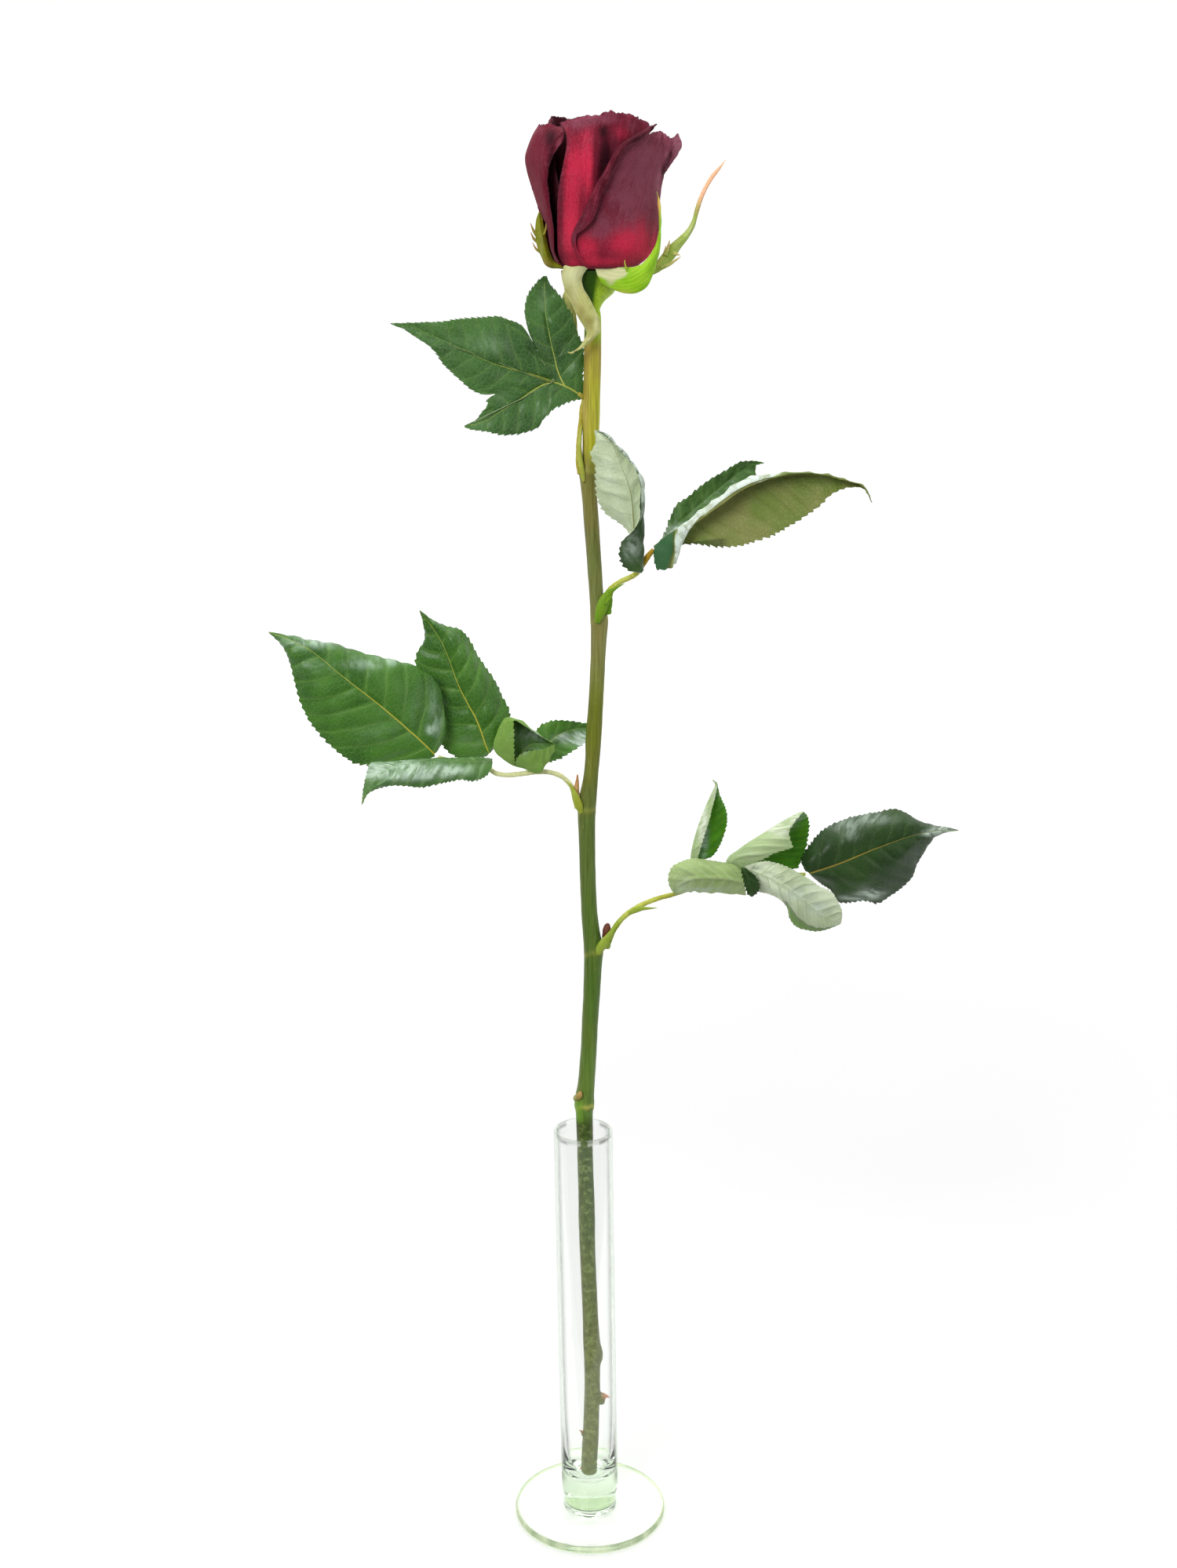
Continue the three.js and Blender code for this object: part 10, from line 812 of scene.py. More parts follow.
def petal(name, mats, light_shade_tone=None, sheen_veil=None, wave=0.25, seed=1, thick=0.38, base_tone=0.0, base_veil=0.0, edge_wave=0.35, rows=150, per=14, ripple=0.12, foot=(10.8, 584.9), rim_veil=0.35, nicks=0.35):
    info = NETS[name]
    N = np.array(info["at"], float).reshape(info["rows"], info["cols"], 3)
    light_shade_tone = PAINT.get(name, {}).get("light_shade_tone", ()) if light_shade_tone is None else light_shade_tone
    sheen_veil = PAINT.get(name, {}).get("sheen_veil", ()) if sheen_veil is None else sheen_veil
    tu = np.linspace(0, 1, rows)
    tv = np.linspace(0, info["cols"] - 1, (info["cols"] - 1) * per + 1)
    P = surface(N, tu, tv)
    if foot is not None:
        P = foot_rows(P, np.array([3.2, 15.4]), foot[0], foot[1])
        tu = np.concatenate([np.zeros(len(P) - len(tu)), tu])
    x, y, wl, wr = across(P, (info["cols"] // 2) * per)
    sa = arcs(P, 1)
    su = arcs(P, 0)
    top = su[-1:] - su
    e = np.minimum(np.minimum(sa, sa[:, -1:] - sa), top)
    n = normals(P)
    lip = np.exp(-((e / 3.2) ** 2)) * smoothstep(0.12, 0.5, tu)[:, None]
    h = wave * waves(P, seed, 21.0, 2) * smoothstep(0.05, 0.3, tu)[:, None]
    h += edge_wave * lip * waves(P, seed + 7, 7.5, 3)
    v = y
    h += ripple * (np.sin(v * 2.1 + 2.0 * np.sin(x * 0.12 + seed)) * 0.5 + np.sin(v * 3.7 + 1.3 * seed + x * 0.05) * 0.3) * smoothstep(0.1, 0.5, tu)[:, None]
    P = P + n * h[..., None]
    # small nicks along the free rim
    T = unit(np.gradient(P, axis=0))
    nick = nicks * waves(P, seed + 13, 3.2, 3) * np.exp(-((top / 1.6) ** 2))
    P = P + T * nick[..., None]
    plain = np.clip(1 - blobs(P, PAINT.get(name, {}).get("plain", ())), 0, 1)
    edge = np.exp(-e / 0.55) * smoothstep(0.1, 0.3, tu)[:, None] * plain
    # painted light and shade in the tone, painted velvet sheen in the veil, with more of it near the rims
    t = net_paint(base_tone, tu, tv, PAINT.get(name, {}).get("net", ())) + blobs(P, light_shade_tone)
    vl = base_veil + blobs(P, sheen_veil) + rim_veil * np.exp(-e / 2.2) * smoothstep(0.2, 0.6, tu)[:, None] * plain
    vl = net_paint(0.0, tu, tv, ()) + vl
    for band in PAINT.get(name, {}).get("veilnet", ()):
        one = net_paint(0.0, tu, tv, (band[:6] + (1.0,),))
        vl = vl * (1 - one) + band[6] * one
    uv = np.stack([su * 0.01, y * 0.01 + 0.5], -1)
    return build_sheet(name, P, thick, mats, 0, {"edge": edge, "light_shade_tone": t, "sheen_veil": np.clip(vl, 0, 2)}, uv)


def sepal(name, mats, rows=170, per=14, seed=1, thick=0.5, tip=(0.8, 1.0), tipmax=0.0, pale=(0.0, 0.0), rimw=0.4, crisp=0.0):
    info = NETS[name]
    N = np.array(info["at"], float).reshape(info["rows"], info["cols"], 3)
    tu = np.linspace(0.0, 0.992, rows)
    tv = np.linspace(0, info["cols"] - 1, (info["cols"] - 1) * per + 1)
    P = surface(N, tu, tv)
    P[..., 2] += blobs(P, PAINT.get(name, {}).get("lift", ()))
    x, y, wl, wr = across(P, per)
    n = normals(P)
    h = 0.06 * np.sin(y * 4.2 + np.sin(x * 0.3)) * smoothstep(0.0, 0.2, tu)[:, None]
    h += 0.18 * waves(P, seed, 9.0, 2)
    P = P + n * h[..., None]
    sa = arcs(P, 1)
    e = np.minimum(sa, sa[:, -1:] - sa)
    edge = np.exp(-e / rimw)
    one = np.ones(P.shape[:2])
    tp = tipmax * smoothstep(tip[0], tip[1], tu)[:, None] * one
    pl = np.clip((1 - smoothstep(pale[0], pale[1] + 1e-3, tu)), 0, 1)[:, None] * one if pale[1] > 0 else 0 * one
    pl = np.clip(pl + blobs(P, PAINT.get(name, {}).get("pale", ())), 0, 1)
    if crisp:
        pl = smoothstep(0.5 - crisp, 0.5 + crisp, pl)
    tp = np.clip(tp + blobs(P, PAINT.get(name, {}).get("tip", ())), 0, 1)
    uv = np.stack([np.broadcast_to(x, y.shape) * 0.01, y * 0.01 + 0.5], -1)
    return build_sheet(name, P, thick, mats, 0, {"edge": edge, "tip": tp, "pale": pl}, uv, islands=SLIVERS.get(name, ()))


# ---------------------------------------------------------------- materials in use
LEAF_UP = leaf_material("leaf_upper", 10.4, (0.011, 0.080, 0.001), (0.050, 0.176, 0.010), (0.21, 0.39, 0.08), (0.50, 0.47, 0.045), (0.14, 0.32, 0.050), 0.36, coat=0.10, net_amount=0.44, spec=0.42, sheen_col=(0.40, 0.56, 0.41))
LEAF_UP_MID = leaf_material("leaf_upper_mid", 8.8, (0.011, 0.078, 0.001), (0.048, 0.168, 0.008), (0.20, 0.38, 0.07), (0.50, 0.47, 0.045), (0.14, 0.32, 0.045), 0.36, coat=0.10, net_amount=0.44, spec=0.42, sheen_col=(0.42, 0.58, 0.42))
LEAF_UP_SMALL = leaf_material("leaf_upper_small", 5.2, (0.028, 0.118, 0.008), (0.068, 0.200, 0.020), (0.19, 0.36, 0.08), (0.28, 0.42, 0.09), (0.13, 0.29, 0.06), 0.42, coat=0.1, net_amount=0.25)
LEAF_UP_BACK = leaf_material("leaf_upper_back", 5.2, (0.060, 0.200, 0.014), (0.100, 0.280, 0.030), (0.24, 0.42, 0.10), (0.36, 0.50, 0.14), (0.18, 0.34, 0.08), 0.42, coat=0.1, net_amount=0.2)
LEAF_UP_SIDE = leaf_material("leaf_upper_side", 6.2, (0.040, 0.118, 0.018), (0.085, 0.200, 0.040), (0.20, 0.36, 0.10), (0.13, 0.26, 0.06), (0.13, 0.27, 0.07), 0.40, coat=0.12, net_amount=0.22, ribw=0.25, vein_amount=0.5)
LEAF_UP_LOW = leaf_material("leaf_upper_low", 8.0, (0.040, 0.128, 0.018), (0.080, 0.205, 0.035), (0.26, 0.42, 0.17), (0.20, 0.30, 0.10), (0.16, 0.31, 0.10), 0.40, coat=0.12, net_amount=0.2, ribw=0.35, sheen_col=(0.46, 0.62, 0.46))
# a brighter, more saturated copy of the upper leaf skin: painted light on the lit upper faces of the D leaflets
LEAF_UP_LIT = leaf_material("leaf_upper_lit", 5.2, (0.032, 0.175, 0.001), (0.066, 0.270, 0.002), (0.17, 0.36, 0.02), (0.20, 0.38, 0.02), (0.12, 0.30, 0.008), 0.55, spec=0.22, net_amount=0.25)
LEAF_UP_DARK = leaf_material("leaf_upper_dark", 8.4, (0.006, 0.032, 0.002), (0.018, 0.060, 0.005), (0.09, 0.16, 0.05), (0.32, 0.24, 0.035), (0.05, 0.11, 0.02), 0.40, spec=0.34, net_amount=0.25, coat=0.08, vein_amount=0.5, glow=0.2, sheen_col=(0.46, 0.56, 0.46))
LEAF_UP_DEEP = leaf_material("leaf_upper_deep", 5.0, (0.008, 0.034, 0.004), (0.020, 0.060, 0.008), (0.05, 0.11, 0.025), (0.06, 0.12, 0.03), (0.03, 0.08, 0.012), 0.5, net_amount=0.25, spec=0.25, ribw=0.0)
LEAF_UP_A = leaf_material("leaf_upper_lobed", 8.2, (0.013, 0.066, 0.005), (0.052, 0.156, 0.024), (0.24, 0.42, 0.10), (0.50, 0.54, 0.085), (0.13, 0.30, 0.06), 0.36, coat=0.14, net_amount=0.46, vein_amount=0.5, glow=0.2, sheen_col=(0.28, 0.44, 0.25))
LEAF_UNDER = leaf_material("leaf_under", 8.6, (0.29, 0.41, 0.19), (0.39, 0.50, 0.28), (0.22, 0.33, 0.12), (0.30, 0.34, 0.10), (0.22, 0.34, 0.14), 0.55, under=True, net_amount=0.4, spec=0.35, ribw=0.8)
LEAF_UNDER_MINT = leaf_material("leaf_under_mint", 6.5, (0.46, 0.56, 0.33), (0.62, 0.71, 0.50), (0.34, 0.40, 0.22), (0.22, 0.24, 0.06), (0.38, 0.46, 0.26), 0.55, under=True, net_amount=0.22, spec=0.3, ribw=0.85, vein_amount=0.5, glow=0.25, sheen_col=(0.80, 0.86, 0.72))
LEAF_UNDER_SOFT = leaf_material("leaf_under_soft", 6.5, (0.33, 0.46, 0.20), (0.47, 0.60, 0.31), (0.25, 0.38, 0.15), (0.27, 0.31, 0.07), (0.28, 0.41, 0.16), 0.55, under=True, net_amount=0.22, spec=0.3, ribw=0.6, vein_amount=0.5, glow=0.25, sheen_col=(0.74, 0.80, 0.64))
LEAF_UNDER_GREY = leaf_material("leaf_under_grey", 5.2, (0.40, 0.49, 0.29), (0.66, 0.74, 0.54), (0.24, 0.34, 0.13), (0.46, 0.54, 0.32), (0.40, 0.50, 0.28), 0.55, under=True, net_amount=0.22, spec=0.3, ribw=0.5, vein_amount=0.7, glow=0.3, deep=(0.16, 0.30, 0.07))
LEAF_UNDER_ROLLED = leaf_material("leaf_under_rolled", 5.0, (0.240, 0.360, 0.110), (0.36, 0.48, 0.19), (0.50, 0.61, 0.35), (0.42, 0.50, 0.26), (0.24, 0.36, 0.11), 0.55, under=True, net_amount=0.2, spec=0.3, ribw=0.3, vein_amount=0.6)
LEAF_UNDER_FRESH = leaf_material("leaf_under_fresh", 5.0, (0.135, 0.280, 0.034), (0.210, 0.380, 0.068), (0.30, 0.44, 0.12), (0.34, 0.46, 0.12), (0.13, 0.27, 0.04), 0.55, under=True, net_amount=0.3, spec=0.3, ribw=0.4)
LEAF_UNDER_OLIVE = leaf_material("leaf_under_olive", 8.8, (0.140, 0.225, 0.030), (0.265, 0.280, 0.085), (0.31, 0.36, 0.13), (0.44, 0.30, 0.08), (0.11, 0.17, 0.025), 0.52, under=True, net_amount=0.42, spec=0.28, vein_amount=0.5, sheen_col=(0.72, 0.82, 0.74), deep=(0.040, 0.130, 0.045))
PETAL_OUT = petal_material("petal_outer", (0.034, 0.0030, 0.008), (0.150, 0.009, 0.024), (0.60, 0.023, 0.066), (0.215, 0.050, 0.080), (0.42, 0.145, 0.205), 0.04)
# the inner petals take a darker copy of the petal colours: painted shade deep in the bloom
PETAL_IN_SHADED = petal_material("petal_inner", (0.014, 0.0015, 0.003), (0.090, 0.005, 0.013), (0.28, 0.008, 0.022), (0.110, 0.028, 0.042), (0.22, 0.07, 0.10), 0.1)
STEM = stem_material()
PETIOLE = simple_skin("petiole_skin", (0.36, 0.38, 0.045), (0.48, 0.52, 0.10), (0.38, 0.235, 0.012), 0.5, line=0.3, spec=0.2)
SEPAL = simple_skin("sepal_skin", (0.235, 0.520, 0.006), (0.330, 0.620, 0.020), (0.92, 0.42, 0.16), 0.55, line=0.3, rim=(0.72, 0.74, 0.42), rim_amount=0.75)
SEPAL_SIDE = simple_skin("sepal_side", (0.300, 0.430, 0.055), (0.420, 0.560, 0.130), (0.95, 0.52, 0.30), 0.55, line=0.35, rim=(0.66, 0.68, 0.36), rim_amount=0.6)
SEPAL_OLIVE = simple_skin("sepal_olive", (0.135, 0.152, 0.002), (0.230, 0.245, 0.006), (0.70, 0.30, 0.14), 0.55, line=0.35, rim=(0.56, 0.55, 0.14), rim_amount=0.7)
SEPAL_PALE = simple_skin("sepal_pale", (0.30, 0.31, 0.070), (0.54, 0.56, 0.20), (0.34, 0.28, 0.075), 0.5, line=0.3, rim=(0.70, 0.62, 0.40), rim_amount=0.6)
BUD = simple_skin("bud_skin", (0.46, 0.24, 0.09), (0.56, 0.38, 0.14), (0.36, 0.10, 0.05), 0.5)
BUD_DARK = simple_skin("bud_skin_dark", (0.12, 0.035, 0.020), (0.22, 0.08, 0.035), (0.10, 0.02, 0.015), 0.5)
STIPULE = simple_skin("stipule_skin", (0.20, 0.38, 0.012), (0.34, 0.50, 0.06), (0.45, 0.45, 0.16), 0.45)


# ---------------------------------------------------------------- vase
def build_vase():
    H, R, FR, FT = 200.0, 13.6, 36.15, 3.6
    prof = []

    def arc(cx, cz, r, a0, a1, n):
        for a in np.radians(np.linspace(a0, a1, n)):
            prof.append((cx + r * math.cos(a), cz + r * math.sin(a)))

    prof.append((0.0, 0.0))
    prof.append((20.0, 0.0))
    arc(FR - 1.2, 1.2, 1.2, -90, 0, 7)
    arc(FR - 1.2, FT - 1.2, 1.2, 0, 88, 7)
    outer = [(30.0, 3.68), (20.0, 3.78), (16.0, 3.92), (13.9, 4.2), (12.85, 4.65), (12.4, 5.4), (12.3, 6.3), (12.4, 7.5), (12.7, 9.0), (13.05, 10.6), (13.35, 12.2), (13.55, 14.2), (13.6, 17.0), (13.6, 30.0), (13.6, 60.0), (13.6, 100.0), (13.6, 140.0), (13.6, 180.0), (13.6, 196.0), (13.6, 198.6)]
    prof += outer
    arc(12.85, 199.15, 0.75, 0, 180, 9)
    prof += [(12.1, 198.2), (12.05, 196.0), (12.05, 180.0), (12.05, 140.0), (11.98, 110.0), (11.9, 80.0), (11.8, 60.0), (11.65, 48.0), (11.25, 36.0), (10.75, 30.0), (10.0, 26.0), (9.1, 23.3), (7.9, 21.4), (6.4, 20.1), (4.6, 19.4), (2.5, 19.05), (0.0, 18.9)]
    prof = np.array(prof)
    seg = 160
    a = 2 * math.pi * np.arange(seg) / seg
    ring = prof[1:-1]
    V = np.stack([ring[:, :1] * np.cos(a), ring[:, :1] * np.sin(a), np.repeat(ring[:, 1:], seg, 1)], -1).reshape(-1, 3)
    V = np.concatenate([V, [[0, 0, prof[0, 1]], [0, 0, prof[-1, 1]]]])
    n = len(ring)
    i, j = np.meshgrid(np.arange(n - 1), np.arange(seg), indexing="ij")
    A, B = i * seg + j, i * seg + (j + 1) % seg
    quads = np.stack([A, B, B + seg, A + seg], -1).reshape(-1, 4)
    k = np.arange(seg)
    c0, c1 = n * seg, n * seg + 1
    t0 = np.stack([np.full(seg, c0), (k + 1) % seg, k], 1)
    t1 = np.stack([np.full(seg, c1), (n - 1) * seg + k, (n - 1) * seg + (k + 1) % seg], 1)
    # blown tube, leaning
    z = V[:, 2]
    V[:, 0] -= 0.0169 * np.maximum(0, z - 5)
    f = outward(V, [quads, np.concatenate([t0, t1])])
    T = Tree("vase_glass")
    cc = T.coords()
    x, y, zz = T.split(cc)
    zmm = T.math("MULTIPLY", zz, 1000.0)
    cloud = T.noise(T.join(T.math("MULTIPLY", x, 2.0), T.math("MULTIPLY", y, 2.0), T.math("MULTIPLY", zz, 0.6)), 60.0, 4.0, 0.6)
    fine = T.noise(cc, 600.0, 3.0, 0.6)
    haze = T.math("ADD", 0.0005, T.math("MULTIPLY", T.step(cloud, 0.35, 0.75), 0.002))
    haze = T.math("MULTIPLY", haze, T.step(zmm, 12.0, 26.0))
    haze = T.math("MULTIPLY", haze, T.step(zmm, 196.0, 199.5, 1.0, 0.3))
    xm, ym = T.math("MULTIPLY", x, 1000.0), T.math("MULTIPLY", y, 1000.0)
    rad = T.math("SQRT", T.math("ADD", T.math("MULTIPLY", xm, xm), T.math("MULTIPLY", ym, ym)))
    brim = T.math("MULTIPLY", T.step(rad, 34.6, 35.6), T.step(cloud, 0.3, 0.7, 0.5, 0.85))
    g = T.n("ShaderNodeBsdfPrincipled")
    # thick glass is green; seen edge-on, the wall of the tube goes grey-green
    lw = T.n("ShaderNodeLayerWeight")
    lw.inputs["Blend"].default_value = 0.5
    slant = T.step(lw.outputs["Facing"], 0.62, 0.97)
    slant = T.math("MULTIPLY", slant, T.step(zmm, 5.0, 9.0, 0.35, 1.0))
    base = T.mix(T.step(zmm, 8.0, 32.0), (0.78, 0.86, 0.73), (0.985, 0.992, 0.985))
    base = T.mix(T.step(zmm, 4.4, 6.5, 1.0, 0.0), base, (0.992, 0.995, 0.990))
    base = T.mix(T.math("MULTIPLY", slant, T.step(cloud, 0.3, 0.7, 0.75, 1.0)), base, (0.78, 0.86, 0.78))
    T.put(g.inputs["Base Color"], base)
    T.put(g.inputs["Roughness"], T.math("MULTIPLY", fine, 0.03))
    g.inputs["IOR"].default_value = 1.5
    g.inputs["Transmission Weight"].default_value = 1.0
    g.inputs["Specular IOR Level"].default_value = 0.25
    T.put(g.inputs["Normal"], T.bump(cloud, 0.05, 0.0004))
    d = T.n("ShaderNodeBsdfDiffuse")
    T.put(d.inputs["Color"], (0.74, 0.80, 0.75))
    m = T.n("ShaderNodeMixShader")
    T.put(m.inputs[0], haze)
    T.t.links.new(g.outputs[0], m.inputs[1])
    T.t.links.new(d.outputs[0], m.inputs[2])
    # the fire-rounded brim of the foot is a green diffuse and translucent skin: a painted glow standing in for the
    # light the brim gathers
    d2 = T.n("ShaderNodeBsdfDiffuse")
    T.put(d2.inputs["Color"], T.mix(T.step(cloud, 0.35, 0.65), (0.60, 0.78, 0.47), (0.82, 0.88, 0.66)))
    tr = T.n("ShaderNodeBsdfTranslucent")
    T.put(tr.inputs["Color"], (0.80, 0.90, 0.62))
    add = T.n("ShaderNodeMixShader")
    add.inputs[0].default_value = 0.5
    T.t.links.new(d2.outputs[0], add.inputs[1])
    T.t.links.new(tr.outputs[0], add.inputs[2])
    m2 = T.n("ShaderNodeMixShader")
    T.put(m2.inputs[0], brim)
    T.t.links.new(m.outputs[0], m2.inputs[1])
    T.t.links.new(add.outputs[0], m2.inputs[2])
    # clear glass lets the lamps' light through to the stem and the table
    clear = T.n("ShaderNodeBsdfTransparent")
    T.put(clear.inputs["Color"], T.mix(slant, (0.96, 0.975, 0.955), (0.90, 0.945, 0.905)))
    # seen edge-on the thin wall, the lip and the rounded end of the bore pass light too
    thin = T.math("MULTIPLY", T.step(lw.outputs["Facing"], 0.45, 0.80), T.step(zmm, 26.0, 40.0, 0.62, 0.80))
    thin = T.math("MAXIMUM", T.math("MULTIPLY", thin, T.step(zmm, 14.0, 22.0)), T.step(zmm, 196.5, 198.5, 0.0, 0.66))
    m3 = T.n("ShaderNodeMixShader")
    T.put(m3.inputs[0], T.math("MAXIMUM", thin, T.math("MULTIPLY", T.n("ShaderNodeLightPath").outputs["Is Shadow Ray"], T.math("SUBTRACT", 1.0, T.math("MULTIPLY", brim, 0.6)))))
    T.t.links.new(m2.outputs[0], m3.inputs[1])
    T.t.links.new(clear.outputs[0], m3.inputs[2])
    T.t.links.new(m3.outputs[0], T.out.inputs["Surface"])
    va = T.n("ShaderNodeVolumeAbsorption")
    va.inputs["Color"].default_value = (0.55, 0.74, 0.48, 1.0)
    va.inputs["Density"].default_value = 12.0
    T.t.links.new(va.outputs[0], T.out.inputs["Volume"])
    o = make("vase_glass_body", V, f, [T.mat])
    finish_piece(o, "vase")
    return o


# ---------------------------------------------------------------- stem
def stem_axis(z):
    S = np.array(STEM_RINGS).reshape(-1, 4)
    return np.stack([np.interp(z, S[:, 2], S[:, 0]), np.interp(z, S[:, 2], S[:, 1])], -1)


def build_stem():
    S = np.array(STEM_RINGS, float).reshape(-1, 4)
    s = np.concatenate([[0], np.cumsum(np.linalg.norm(np.diff(S[:, :3], axis=0), axis=1))])
    t_of = lambda q: np.interp(q, s, np.arange(len(S)))
    low = np.arange(0, s[-1] - 24, 0.65)
    high = np.linspace(low[-1] + 0.3, s[-1], 80)
    q = np.concatenate([low, high])
    C = crom(S, t_of(q))
    # the measured radii, kept at 0.4 mm or more
    P, r = C[:, :3], np.maximum(C[:, 3], 0.4)
    sides = 56
    a = 2 * math.pi * np.arange(sides) / sides
    z = P[:, 2][:, None]
    R = r[:, None] * (1 + 0.014 * np.sin(5 * a + 0.012 * z) + 0.008 * np.sin(11 * a + 0.03 * z))
    ringed = np.zeros_like(R)
    for zc, amp, wdt, rag in ((208.3, 0.22, 1.1, 1.0), (436.0, 0.10, 1.4, 0.8), (350.0, 0.12, 1.3, 0.8), (283.0, 0.12, 1.3, 0.8), (500.3, 0.12, 1.0, 0.6)):
        zz = zc + rag * np.sin(2 * a + 1.0) + 0.5 * rag * np.sin(5 * a)
        g = np.exp(-(((z - zz) / wdt) ** 2))
        R = R + amp * g
        ringed = np.maximum(ringed, g * (1.0 if zc < 250 else 0.35))
    pts = P[:, None] + 4 * np.stack([np.cos(a), np.sin(a), 0 * a], -1)[None]
    R = R + 0.07 * waves(pts, 5, 26.0, 3) + 0.035 * waves(pts * np.array([2.2, 2.2, 0.25]), 6, 3.4, 2)
    V, F, uv = rod(P, R, sides)
    body_n = len(V)
    red = np.zeros(len(V))
    parts = [(V, F)]
    rings = [ringed.ravel()]
    reds = [red]
    for k in range(0, len(PRICKLES), 7):
        b, t, rr = np.array(PRICKLES[k : k + 3]), np.array(PRICKLES[k + 3 : k + 6]), PRICKLES[k + 6]
        u = np.linspace(-0.45, 1, 30)
        path = b + (t - b) * u[:, None]
        path[:, 2] += 0.9 * np.sin(np.clip(u, 0, 1) * math.pi) * (1 if rr > 3 else 0.4)
        rad = rr * np.clip(1 - np.clip(u, 0, 1), 0, 1) ** 1.7 * 0.8 + 0.10
        sd = 16
        aa = 2 * math.pi * np.arange(sd) / sd
        RR = rad[:, None] * (0.55 + 0.45 * np.abs(np.sin(aa)))[None]
        v, f, _ = rod(path, RR, sd)
        parts.append((v, f))
        rings.append(np.zeros(len(v)))
        reds.append(np.repeat(smoothstep(0.05, 0.6, u), sd) * (0.9 if rr > 3 else 0.6))
    V, F = join(parts)
    ax = stem_axis(V[:, 2])
    side = (V[:, 0] - ax[:, 0]) / 4.0
    o = make("stem_skin_body", V, F, [STEM], attrs={"side": np.clip(side, -1.5, 1.5), "ring": np.concatenate(rings), "red": np.concatenate(reds)})
    finish_piece(o, "stem")


def taper(name, node, stations, mat, sides=18, step=0.5, tipfn=None, palefn=None, flute=0.05, seed=3, extra=(), freshfn=None, leafy=0.9):
    S = np.array(stations, float).reshape(-1, 4)
    s = np.concatenate([[0], np.cumsum(np.linalg.norm(np.diff(S[:, :3], axis=0), axis=1))])
    q = np.linspace(0, s[-1], max(12, int(s[-1] / step)))
    C = crom(S, np.interp(q, s, np.arange(len(S))))
    r = np.maximum(C[:, 3], 0.12)
    a = 2 * math.pi * np.arange(sides) / sides
    R = r[:, None] * (1 + flute * np.cos(2 * a) + 0.03 * np.sin(3 * a + q[:, None] * 0.3))
    R = R * (1 + 0.04 * np.sin(q * 0.9 + seed) + 0.03 * np.sin(q * 2.3 + 2 * seed))[:, None]
    V, F, uv = rod(C[:, :3], R, sides)
    f = q / s[-1]
    tip = np.repeat(tipfn(f) if tipfn else 0 * f, sides)
    pale = np.repeat(palefn(f) if palefn else 0 * f, sides)
    parts = [(V, F)]
    tips, pales, uvs, edges = [tip], [pale], [uv * 0.01 + np.array([0.0, 0.5])], [np.zeros(len(V))]
    extra = list(extra)
    for st in SLIVERS.get(node, ()):
        ev, ef, eu, run = sliver(st, flat=0.4)
        extra.append((ev, ef, 0.0))
    fresh = [np.repeat(freshfn(f) if freshfn else 0 * f, sides)]
    for ev, ef, et in extra:
        fresh.append(np.full(len(ev), leafy))
        parts.append((ev, ef))
        tips.append(np.full(len(ev), et))
        pales.append(np.zeros(len(ev)))
        edges.append(np.zeros(len(ev)))
        uvs.append(np.stack([ev[:, 2] * 0.01, ev[:, 0] * 0.01 + 0.5], -1))
    V, F = join(parts)
    o = make(name, V, F, [mat], uvs={"Blade": np.concatenate(uvs)}, attrs={"tip": np.concatenate(tips), "pale": np.concatenate(pales), "edge": np.concatenate(edges), "fresh": np.concatenate(fresh)})
    finish_piece(o, node)
    return o


